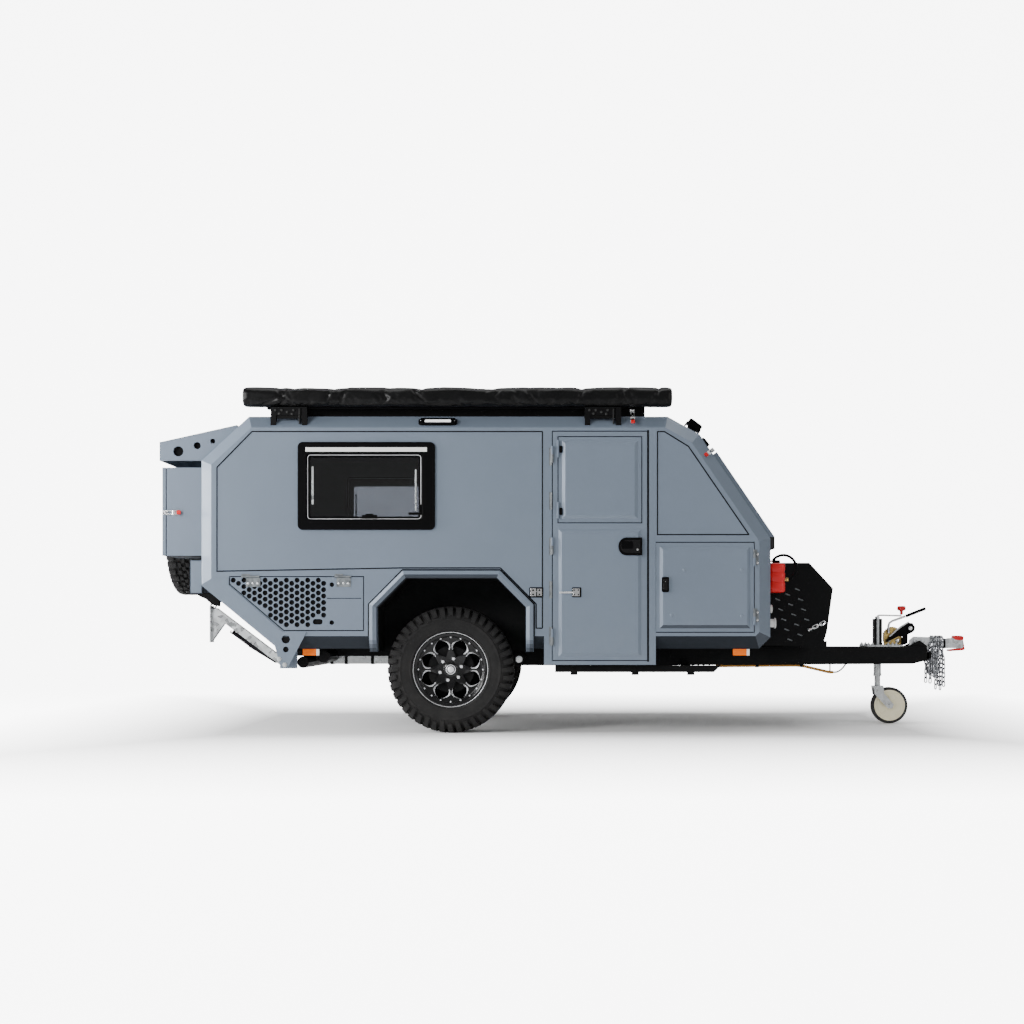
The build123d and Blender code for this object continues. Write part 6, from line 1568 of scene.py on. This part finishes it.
def settleCloth(obj, low, high):
    # the stitched rows along the foot and the ends are pinned, the rest grows and buckles
    mesh = obj.data
    before = [v.co.copy() for v in mesh.vertices]
    pins = obj.vertex_groups.new(name="stitching")
    for v in mesh.vertices:
        alongFoot = v.co.z < low.z + 0.012
        atEnd = v.co.x < low.x + 0.01 or v.co.x > high.x - 0.01
        if alongFoot or atEnd:
            pins.add([v.index], 1.0, "REPLACE")
    scene = bpy.context.scene
    mod = obj.modifiers.new("settle", "CLOTH")
    cloth = mod.settings
    cloth.quality = 4
    cloth.mass = 0.35
    cloth.tension_stiffness = cloth.compression_stiffness = 14
    cloth.shear_stiffness = 6
    cloth.bending_stiffness = 0.25
    cloth.shrink_min = -bagLook["grow"]
    cloth.use_pressure = True
    cloth.uniform_pressure_force = 5.0
    cloth.vertex_group_mass = pins.name
    cloth.effector_weights.gravity = 0.0
    mod.collision_settings.use_collision = False
    mod.point_cache.frame_start, mod.point_cache.frame_end = 1, bagLook["frames"]
    for step in range(1, bagLook["frames"] + 1):
        scene.frame_set(step)
    solved = obj.evaluated_get(bpy.context.evaluated_depsgraph_get()).to_mesh()
    moved = [v.co.copy() for v in solved.vertices]
    obj.modifiers.remove(mod)
    scene.frame_set(1)
    for v, old, new in zip(mesh.vertices, before, moved):
        step = new - old
        if step.length > bagLook["cap"]:
            step *= bagLook["cap"] / step.length
        spot = old + step
        v.co = (min(max(spot.x, low.x), high.x), min(max(spot.y, low.y), high.y),
            min(max(spot.z, low.z + 0.001), high.z))
    mesh.update()


awningBag()
print("awning bag ready")

# awning brackets: plates with bolts, cross tube and clamp blocks
def bracketPieces():
    low, high = boxOf("awning_brackets")
    trim = Gather()
    for x in (low.x + 0.115, high.x - 0.115):
        trim.box((x - 0.112, low.y + 0.002, 2.008), (x + 0.075, low.y + 0.012, 2.06), 0)
        trim.box((x - 0.118, low.y + 0.012, 1.992), (x + 0.078, low.y + 0.03, 2.006), 0)
        for dx, z in ((-0.085, 2.04), (-0.045, 2.04), (-0.01, 2.028), (0.03, 2.04), (-0.06, 2.018),
                (0.02, 2.016)):
            trim.turned([(0.0085, 0), (0.0085, 0.005), (0.005, 0.007), (0, 0.0072)],
                facing((x + dx, low.y + 0.002, z), (0, -1, 0)), 6, 1)
        trim.tube([(x - 0.1, low.y + 0.018, 2.052), (x + 0.095, low.y + 0.018, 2.052)], 0.007, 8, 0)
        trim.box((x + 0.062, low.y, 1.952), (x + 0.068, high.y, 2.05), 1)
    trim.piece("bracketFittings", "blackPaint greyRubber", "black_paint", bevel=0.001)


bracketPieces()
print("brackets ready")

# overcentre latches with red tips
latchLook = {"plate": 0.0025, "rod": 0.0032}


def latchAt(shape, keeper, origin, normal, along, span):
    # keeper on the leaf, then rod loop, lever and red tip laid out along one line
    place = facing(origin, normal, along)
    keeper.prism(roundedBox(-0.014, 0.014, -0.016, 0.016, 0.004, 3), latchLook["plate"],
        place @ shiftBy(0, span * 0.42, 0.0015), 0)
    shape.prism(roundedBox(-0.017, 0.017, -0.024, 0.024, 0.005, 3), latchLook["plate"],
        place @ shiftBy(0, -span * 0.3, 0.0015), 0)
    for s in (-1, 1):
        shape.tube([place @ Vector((s * 0.01, span * 0.46, 0.007)),
            place @ Vector((s * 0.01, -span * 0.24, 0.012))], latchLook["rod"], 8, 0)
    shape.tube([place @ Vector((-0.012, span * 0.46, 0.008)), place @ Vector((0.012, span * 0.46, 0.008))],
        latchLook["rod"] * 1.3, 8, 0)
    shape.turned([(0.009, -0.014), (0.009, 0.014)], place @ shiftBy(0, -span * 0.22,
        0.012) @ Matrix.Rotation(math.pi / 2, 4, "Y"), 12, 0)
    shape.prism([(-0.011, -span * 0.22), (0.011, -span * 0.22), (0.009, -span * 0.48),
        (-0.009, -span * 0.48)], 0.005, place @ shiftBy(0, 0, 0.013), 0)
    shape.prism(roundedBox(-0.0125, 0.0125, -span * 0.48 - 0.024, -span * 0.48 + 0.002, 0.005, 3), 0.0085,
        place @ shiftBy(0, 0, 0.014), 1)


def latchPieces():
    finish = "chrome redPlastic blackPlastic"
    roof, roofKeep, front, box = Gather(), Gather(), Gather(), Gather()
    half = boxOf("roof_lid")[1].y
    for sign in (-1, 1):
        latchAt(roof, roofKeep, (0.384, sign * 0.917, 2.006), (0, sign * 0.69, 0.72),
            (0, -sign * 0.72, 0.69), 0.13)
        roofKeep.box((0.37, sign * half, 2.034), (0.398, sign * 0.882, 2.04), 0)
        latchAt(front, front, (0.872, sign * 0.902, 1.78), (0.5, sign * 0.78, 0.36), (0.8, 0, 0.6), 0.08)
        front.box((0.88, sign * 0.856, 1.79), (0.906, sign * 0.9, 1.8), 0)
        # black hook above the lever
        front.tube([(0.829, sign * 0.884, 1.868), (0.841, sign * 0.888, 1.86), (0.855, sign * 0.89, 1.842),
            (0.868, sign * 0.892, 1.822)], 0.0105, 10, 2)
    roof.piece("roofLatches", finish, "bare_steel", bevel=0.0008)
    roofKeep.piece("roofKeepers", finish, "bare_steel", body="roof_lid_leaf", bevel=0.0008)
    front.piece("frontLidLatches", finish, "bare_steel", bevel=0.0008)
    low, high = boxOf("toolboxes")
    for sign, tag in bothSides:
        keep = Gather()
        latchAt(box, keep, (low.x + 0.028, sign * high.y, 1.399), (0, sign, 0), (-1, 0, 0), 0.085)
        keep.piece("toolboxKeeper" + tag, finish, "bare_steel", body="toolbox_" + tag.lower(), bevel=0.0008)
    box.piece("toolboxLatches", finish, "bare_steel", bevel=0.0008)
    lip = Gather()
    low, high = boxOf("front_lid")
    lip.box((noseX + 0.002, low.y - 0.002, low.z - 0.001), (high.x + 0.0012, high.y + 0.002, low.z + 0.076),
        0)
    lip.piece("frontLidLip", "greyRubber", "black_plastic", body="front_lid_leaf", bevel=0.003)


latchPieces()
print("latches ready")

# entry door: handle tray with lock, hatch hinges, knuckles, retainer; storage door fittings
doorLook = {"face": 0.9872}


def doorPieces():
    low, high = boxOf("door_handle")
    x0, x1, z0, z1 = low.x, high.x, low.z, high.z
    handle = Gather()
    side = facing((0, 0, 0), (0, -1, 0))
    outline = [(x1, z0), (x1, z1)] + [(x0 + 0.05 + 0.05 * math.cos(math.radians(a)),
        (z0 + z1) / 2 + 0.056 * math.sin(math.radians(a))) for a in range(90, 271, 15)]
    handle.prism(outline, 0.01, side @ shiftBy(0, 0, -low.y - 0.0085), 0)
    inner = [(x0 + (px - x0) * 0.82 + 0.014, (z0 + z1) / 2 + (pz - (z0 + z1) / 2) * 0.72)
        for px, pz in outline]
    handle.prism(inner, 0.005, side @ shiftBy(0, 0, -low.y - 0.003), 2)
    handle.prism(roundedBox(x0 + 0.016, x0 + 0.094, z0 + 0.04, z1 - 0.022, 0.014, 4), 0.006,
        side @ shiftBy(0, 0, -low.y - 0.0032), 0)
    for px, pz, r in ((x0 + 0.07, (z0 + z1) / 2 + 0.01, 0.011), (x1 - 0.03, (z0 + z1) / 2 - 0.02, 0.01)):
        handle.turned([(r, 0), (r, 0.003), (r * 0.6, 0.0036), (0, 0.0036)],
            facing((px, low.y + 0.004, pz), (0, -1, 0)), 16, 1)
    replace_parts(handle.piece("doorHandleSet", "blackPlastic chrome rimBlack", "black_plastic",
        body="entry_door_leaf", bevel=0.0012), "door_handle")
    hatch = Gather()
    for z in (1.79, 1.399):
        hatch.box((-0.079, -0.9866, z - 0.022), (-0.062, -0.982, z + 0.022), 0)
    hatch.piece("hatchHingeCovers", "blackPlastic", "black_plastic", body="door_hatch_leaf", bevel=0.001)
    knuckles = Gather()
    for z1k, z0k in ((1.8, 1.69), (1.521, 1.411), (1.233, 1.125), (0.961, 0.851), (0.673, 0.564)):
        x = frameLow.x + 0.0465
        for k in range(5):
            a = z0k + (z1k - z0k) * k / 5
            b = z0k + (z1k - z0k) * (k + 1) / 5 - 0.0025
            knuckles.tube([(x, -highSide - 0.0035, a), (x, -highSide - 0.0035, b)], 0.0052, 10, 0)
        knuckles.box((x - 0.014, -highSide - 0.0022, z0k), (x - 0.003, -highSide + 0.001, z1k), 0)
    knuckles.piece("doorKnuckles", "dullZinc", "bare_steel", sharp=40)
    catch = Gather()
    catch.prism(roundedBox(-0.269, -0.181, 0.857, 0.922, 0.006, 3), 0.004,
        side @ shiftBy(0, 0, highSide + 0.002), 1)
    catch.box((-0.262, -highSide - 0.018, 0.866), (-0.226, -highSide - 0.003, 0.914), 0)
    catch.box((-0.22, -highSide - 0.0085, 0.868), (-0.19, -highSide - 0.003, 0.912), 0)
    for px, pz, lift in ((-0.245, 0.903, 0.0165), (-0.245, 0.876, 0.0165), (-0.205, 0.903, 0.0065),
            (-0.205, 0.876, 0.0065)):
        catch.turned([(0.0065, 0), (0.0065, 0.003), (0, 0.004)],
            facing((px, -highSide - lift, pz), (0, -1, 0)), 8, 1)
    catch.piece("doorCatchWall", "chrome blackPlastic", "bare_steel", bevel=0.0012)
    rod = Gather()
    face = doorLook["face"] - 0.0004
    rod.prism(roundedBox(0.0, 0.058, 0.858, 0.921, 0.006, 3), 0.004, side @ shiftBy(0, 0, face + 0.002), 1)
    rod.box((0.006, -face - 0.0118, 0.866), (0.048, -face - 0.003, 0.913), 0)
    rod.tube([(-0.076, -face - 0.0062, 0.888), (0.01, -face - 0.0062, 0.889)], 0.006, 12, 0)
    rod.turned([(0.0066, 0), (0.0066, 0.01), (0.0062, 0.012)],
        facing((-0.08, -face - 0.0062, 0.888), (1, 0, 0)), 12, 0)
    for px, pz in ((0.014, 0.904), (0.04, 0.904), (0.014, 0.875), (0.04, 0.875)):
        rod.turned([(0.0055, 0), (0.0055, 0.003), (0, 0.004)],
            facing((px, -face - 0.009, pz), (0, -1, 0)), 8, 1)
    rod.piece("doorCatchRod", "chrome blackPlastic", "bare_steel", body="entry_door_leaf", bevel=0.0012)


def storagePieces(sign, tag):
    face = doorLook["face"] - 0.0004
    shape = Gather()
    side = facing((0, 0, 0), (0, sign, 0))
    mirror = -1 if sign > 0 else 1  # local X runs the other way on the left side
    y = sign * face
    shape.prism(roundedBox(*sorted((mirror * 0.564, mirror * 0.61)), 0.891, 0.986, 0.008, 4), 0.012,
        side @ shiftBy(0, 0, face + 0.0056), 0)
    shape.box((0.574, y, 0.905), (0.6, y + sign * 0.0126, 0.972), 2)
    shape.turned([(0.0075, 0), (0.0075, 0.003), (0, 0.0034)],
        facing((0.587, sign * (face + 0.0093), 0.957), (0, sign, 0)), 12, 1)
    for px, pz in ((0.706, 1.03), (1.068, 1.03), (0.627, 0.747), (1.068, 0.742)):
        shape.turned([(0.0115, 0), (0.0115, 0.0012), (0.008, 0.003), (0, 0.0036)],
            facing((px, y, pz), (0, sign, 0)), 14, 3)
    shape.piece("storageFittings" + tag, "blackPlastic chrome rimBlack plainPaint", "black_plastic",
        body="storage_" + tag.lower(), bevel=0.0012)
    hinge = Gather()
    for z0, z1 in ((1.062, 1.143), (0.702, 0.778)):
        hinge.box((1.15, sign * (highSide - 0.001), z0), (1.176, sign * (highSide + 0.003), z1), 0)
        for z in (z0 + 0.014, z1 - 0.014):
            hinge.turned([(0.0065, 0), (0.0065, 0.003), (0, 0.004)],
                facing((1.168, sign * (highSide + 0.003), z), (0, sign, 0)), 10, 1)
    hinge.piece("storageHingeLeaves" + tag, "dullZinc chrome", "bare_steel")


doorPieces()
for sign, tag in bothSides:
    storagePieces(sign, tag)
print("door fittings ready")

# painted shade: dark strips behind the door gaps; rack lining, step feet, tank straps, leg struts
backingLook = {"over": 0.02, "under": 0.034}


def gapBacking(name, outline, y, thick):
    # a near-black strip behind a gap paints the shade inside it
    outer = offsetLine(outline + [outline[0]], -backingLook["over"])[:-1]
    inner = offsetLine(outline + [outline[0]], backingLook["under"])[:-1]
    flatPlate(name, [tuple(p) for p in outer], [[tuple(p) for p in inner]], thick, y, "darkLiner",
        "trailer")


def boxLoop(low, high):
    return [(low.x, low.z), (high.x, low.z), (high.x, high.z), (low.x, high.z)]


def backings():
    for sign, tag in bothSides:
        low, high = boxOf("vent_hatch_" + tag.lower())
        rise, slope = ventLook["rise"], ventLook["slope"]
        loop = [(low.x, high.z - 0.011), (low.x, low.z + rise), (low.x + rise * slope, low.z),
            (high.x, low.z), (high.x, high.z - 0.011)]
        gapBacking("ventGapStrip" + tag, loop, sign * 0.9405, 0.002)
        low, high = boxOf("storage_door_" + tag.lower())
        gapBacking("storageGapStrip" + tag, boxLoop(low, high), sign * 0.9405, 0.002)
    low, high = boxOf("entry_door")
    gapBacking("doorGapStrip", boxLoop(low + Vector((0.011, 0, 0)), high), -0.93, 0.002)
    low, high = boxOf("front_rack")
    lining = Gather()
    for sign in (-1, 1):
        y0, y1 = sign * (high.y - 0.0095), sign * (high.y - 0.0075)
        lining.box((low.x + 0.02, y0, low.z + 0.03), (high.x - 0.075, y1, high.z - 0.11), 0)
        y0, y1 = sign * (high.y - 0.012), sign * (high.y - 0.001)
        lining.box((1.5, y0, low.z - 0.001), (1.672, y1, low.z + 0.045), 1)
    lining.piece("rackLining", "dullZinc blackPaint", "black_paint")
    seal = Gather()
    low, high = boxOf("entry_door")
    seal.box((high.x + 0.001, -highSide - 0.001, low.z - 0.01),
        (high.x + 0.012, -highSide + 0.002, high.z + 0.01), 0)
    seal.piece("doorEdgeSeal", "blackPlastic", "black_plastic", sharp=40)


def underPieces():
    feet = Gather()
    low, high = boxOf("step_rail")
    for x in (0.013, 0.401, 0.754):
        feet.box((x - 0.022, low.y + 0.004, low.z - 0.018), (x + 0.022, low.y + 0.04, low.z + 0.004), 0)
        feet.turned([(0.011, 0), (0.011, 0.006), (0, 0.007)],
            facing((x, low.y + 0.004, low.z + 0.02), (0, -1, 0)), 6, 0)
    for k in range(28):  # raised grip bars along the step
        x = low.x + 0.03 + (high.x - low.x - 0.1) * k / 27
        feet.box((x - 0.005, low.y + 0.006, high.z - 0.03), (x + 0.005, low.y + 0.042, high.z - 0.0275), 0)
    feet.piece("stepFeet", "blackPaint", "black_paint", bevel=0.0015)
    straps = Gather()
    low, high = boxOf("water_tank")
    for x in (-1.6, -1.505, -1.33, -1.215):
        straps.box((x - 0.01, low.y - 0.002, low.z - 0.003), (x + 0.01, high.y + 0.002, low.z), 0)
        for y0, y1 in ((low.y - 0.003, low.y), (high.y, high.y + 0.003)):
            straps.box((x - 0.01, y0, low.z - 0.003), (x + 0.01, y1, high.z - 0.004), 0)
    straps.piece("tankStraps", "blackPaint", "black_paint")
    bolts = Gather()
    for sign in (-1, 1):
        bolts.turned([(0.022, -0.004), (0.022, 0.004), (0.016, 0.0045), (0.016, 0.016), (0.01, 0.018),
            (0, 0.0185)], facing((-0.337, sign * 0.8685, 0.466), (0, sign, 0)), 12, 0)
    bolts.piece("armPivotBolts", "galvanised", "galvanised", sharp=30)
    for sign, tag in bothSides:
        strut = Gather()
        y = sign * 0.924
        strut.tube([(-2.15, y, 0.64), (-2.02, y, 0.545), (-1.88, y, 0.462)], 0.013, 12, 0)
        strut.tube([(-2.04, y, 0.56), (-1.87, y, 0.456)], 0.0165, 12, 0)
        for x, z in ((-2.15, 0.64), (-1.868, 0.455)):
            strut.turned([(0.012, -0.022), (0.012, 0.022)], facing((x, y, z), (0, 1, 0)), 12, 1)
        strut.piece("legStrut" + tag, "blackPaint galvanised", "black_paint",
            body="leg_" + tag.lower(), sharp=40)


backings()
underPieces()
print("small trim ready")

# mattress: crowned pad with sewn channels and piping
bedLook = {"rows": 34, "columns": 30, "crown": 0.018, "channel": 0.006, "channels": 5}


def bedPiece():
    low, high = boxOf("bed")
    rows, columns = bedLook["rows"], bedLook["columns"]
    verts, faces = [], []

    def edge(u):  # sides pull in between the corners
        return 1 - 0.012 * (1 - (2 * u - 1) ** 2)

    top = high.z - 0.006
    for level in range(2):
        for r in range(rows + 1):
            for c in range(columns + 1):
                u, v = r / rows, c / columns
                x = (low.x + high.x) / 2 + (u - 0.5) * (high.x - low.x - 0.012) * edge(v)
                y = (low.y + high.y) / 2 + (v - 0.5) * (high.y - low.y - 0.012) * edge(u)
                rim = min(min(u, 1 - u) * (high.x - low.x), min(v, 1 - v) * (high.y - low.y))
                swell = 1 - max(0, 1 - rim / 0.09) ** 2
                across = (v * bedLook["channels"] + 0.5) % 1 - 0.5
                groove = math.exp(-across ** 2 / 0.004) if 0.02 < u < 0.98 else 0
                if level:
                    z = top - bedLook["crown"] * (1 - swell) - bedLook["channel"] * groove * swell
                else:
                    z = low.z + 0.01 * (1 - swell)
                verts.append((x, y, z))
    wide = columns + 1
    count = (rows + 1) * wide
    for level in range(2):
        for r in range(rows):
            for c in range(columns):
                a = level * count + r * wide + c
                faces.append((a, a + wide, a + wide + 1, a + 1))
    rim = list(range(wide)) + [r * wide + columns for r in range(1, rows + 1)] + [rows * wide + c
        for c in range(columns - 1, -1, -1)] + [r * wide for r in range(rows - 1, 0, -1)]
    for a, b in zip(rim, rim[1:] + rim[:1]):
        faces.append((a, b, count + b, count + a))
    shape = Gather()
    shape.add(verts, faces)
    for level in (1, 0):
        line = [Vector(verts[level * count + k]) for k in rim]
        shape.tube(line + line[:2], 0.0045, 6, 1)
    pad = shape.piece("mattressPad", "bedCloth bagCloth", "bed_cloth", sharp=60)
    mod = pad.modifiers.new("soft form", "SUBSURF")
    mod.levels = mod.render_levels = 1
    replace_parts(pad, "bed")


bedPiece()
print("mattress ready")

# yellow conduit under the drawbar, tie rings under the rear beam
conduitLook = {"radius": 0.0098, "rib": 0.001, "pitch": 0.009}


def conduitPiece():  # corrugated sleeve under the drawbar rail, with black clips
    route = [Vector(p) for p in ((0.97, -0.379, 0.41), (1.25, -0.3165, 0.41), (1.4, -0.283, 0.41),
        (1.53, -0.2545, 0.41), (1.58, -0.2435, 0.4045), (1.74, -0.2085, 0.3665), (1.762, -0.2038, 0.3622),
        (1.786, -0.1985, 0.362))]
    shape = Gather()
    shape.tube(route, conduitLook["radius"], 10, 0)
    for a, b in zip(route, route[1:]):
        way = (b - a).normalized()
        steps = int((b - a).length / conduitLook["pitch"])
        for k in range(steps):
            wide = conduitLook["radius"] + conduitLook["rib"]
            shape.turned([(wide - 0.001, -0.0028), (wide, -0.0014), (wide, 0.0014), (wide - 0.001, 0.0028)],
                facing(a + (b - a) * (k + 0.5) / steps, way), 10, 0)
    shape.tube([(1.764, -0.2034, 0.366), (1.764, -0.2034, 0.415)], 0.0055, 8, 0)
    for x, y in ((1.251, -0.3163), (1.56, -0.2479)):
        shape.box((x - 0.01, y - 0.012, 0.398), (x + 0.01, y + 0.012, 0.438), 1)
    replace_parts(shape.piece("conduitSleeve", "yellowPlastic blackPlastic", "yellow_plastic", sharp=40),
        "conduit")
    rear = Gather()
    high = boxOf("rear_bumper")[1]
    for sign in (-1, 1):
        rear.prism([(-2.398, 0.886), (-2.372, 0.866), (-2.33, 0.848), (-2.292, 0.812), (-2.25, 0.802),
            (-2.242, 0.886)], 0.048, facing((0, sign * (high.y - 0.036), 0), (0, -1, 0)), 0)
        ring = circlePoints(-2.287, 0.806, 0.017, 16)
        line = [Vector((x, sign * (high.y - 0.03), z)) for x, z in ring]
        rear.tube(line + line[:2], 0.0055, 8, 0)
    rear.piece("rearTieRings", "blackPaint", "black_paint", sharp=40, bevel=0.002)


conduitPiece()
print("conduit ready")


# hose on the can and brake cable under the drawbar, both held at their two ends
def cordCurve(name, points, diameter, mat):
    curve = bpy.data.curves.new(name, "CURVE")
    curve.dimensions = "3D"
    curve.resolution_u = 10
    curve.bevel_depth = diameter / 2
    curve.bevel_resolution = 4
    curve.use_fill_caps = True
    spline = curve.splines.new("NURBS")
    spline.points.add(len(points) - 1)
    for point, place in zip(spline.points, points):
        point.co = (*place, 1)
    spline.order_u = 3
    spline.use_endpoint_u = True
    obj = bpy.data.objects.new(name, curve)
    bpy.context.scene.collection.objects.link(obj)
    curve.materials.append(mats[mat])
    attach(obj, "trailer")
    splineLength(points)


def splineLength(points):  # quadratic B-spline with clamped ends, measured in short steps
    count = len(points)
    knots = [0.0] * 3 + [float(k) for k in range(1, count - 2)] + [float(count - 2)] * 3

    def at(u):
        span = max(k for k in range(2, count) if knots[k] <= u or k == 2)
        work = [Vector(points[span - 2 + j]) for j in range(3)]
        for r in (1, 2):
            for j in range(2, r - 1, -1):
                i = span - 2 + j
                gap = knots[i + 3 - r] - knots[i]
                share = (u - knots[i]) / gap if gap else 0.0
                work[j] = work[j - 1].lerp(work[j], share)
        return work[2]

    steps = 60 * count
    places = [at((count - 2) * k / steps) for k in range(steps + 1)]
    return sum((b - a).length for a, b in zip(places, places[1:]))


hoseRoute = [(1.2918, -0.79, 1.098), (1.3043, -0.79, 1.1162), (1.3454, -0.79, 1.135),
    (1.3904, -0.79, 1.1301), (1.4265, -0.79, 1.1028), (1.4435, -0.79, 1.0609), (1.4366, -0.79, 1.0162),
    (1.4078, -0.79, 0.9813), (1.387, -0.79, 0.9739)]
cableRoute = [(1.786, -0.1985, 0.362), (1.798, -0.196, 0.3612), (1.818, -0.1915, 0.364),
    (1.845, -0.1855, 0.38), (1.868, -0.1805, 0.405), (1.882, -0.1775, 0.428), (1.888, -0.176, 0.44)]
cordCurve("canHose", hoseRoute, 0.018, "blackPlastic")
cordCurve("brakeCable", cableRoute, 0.011, "blackPlastic")
print("cords ready")
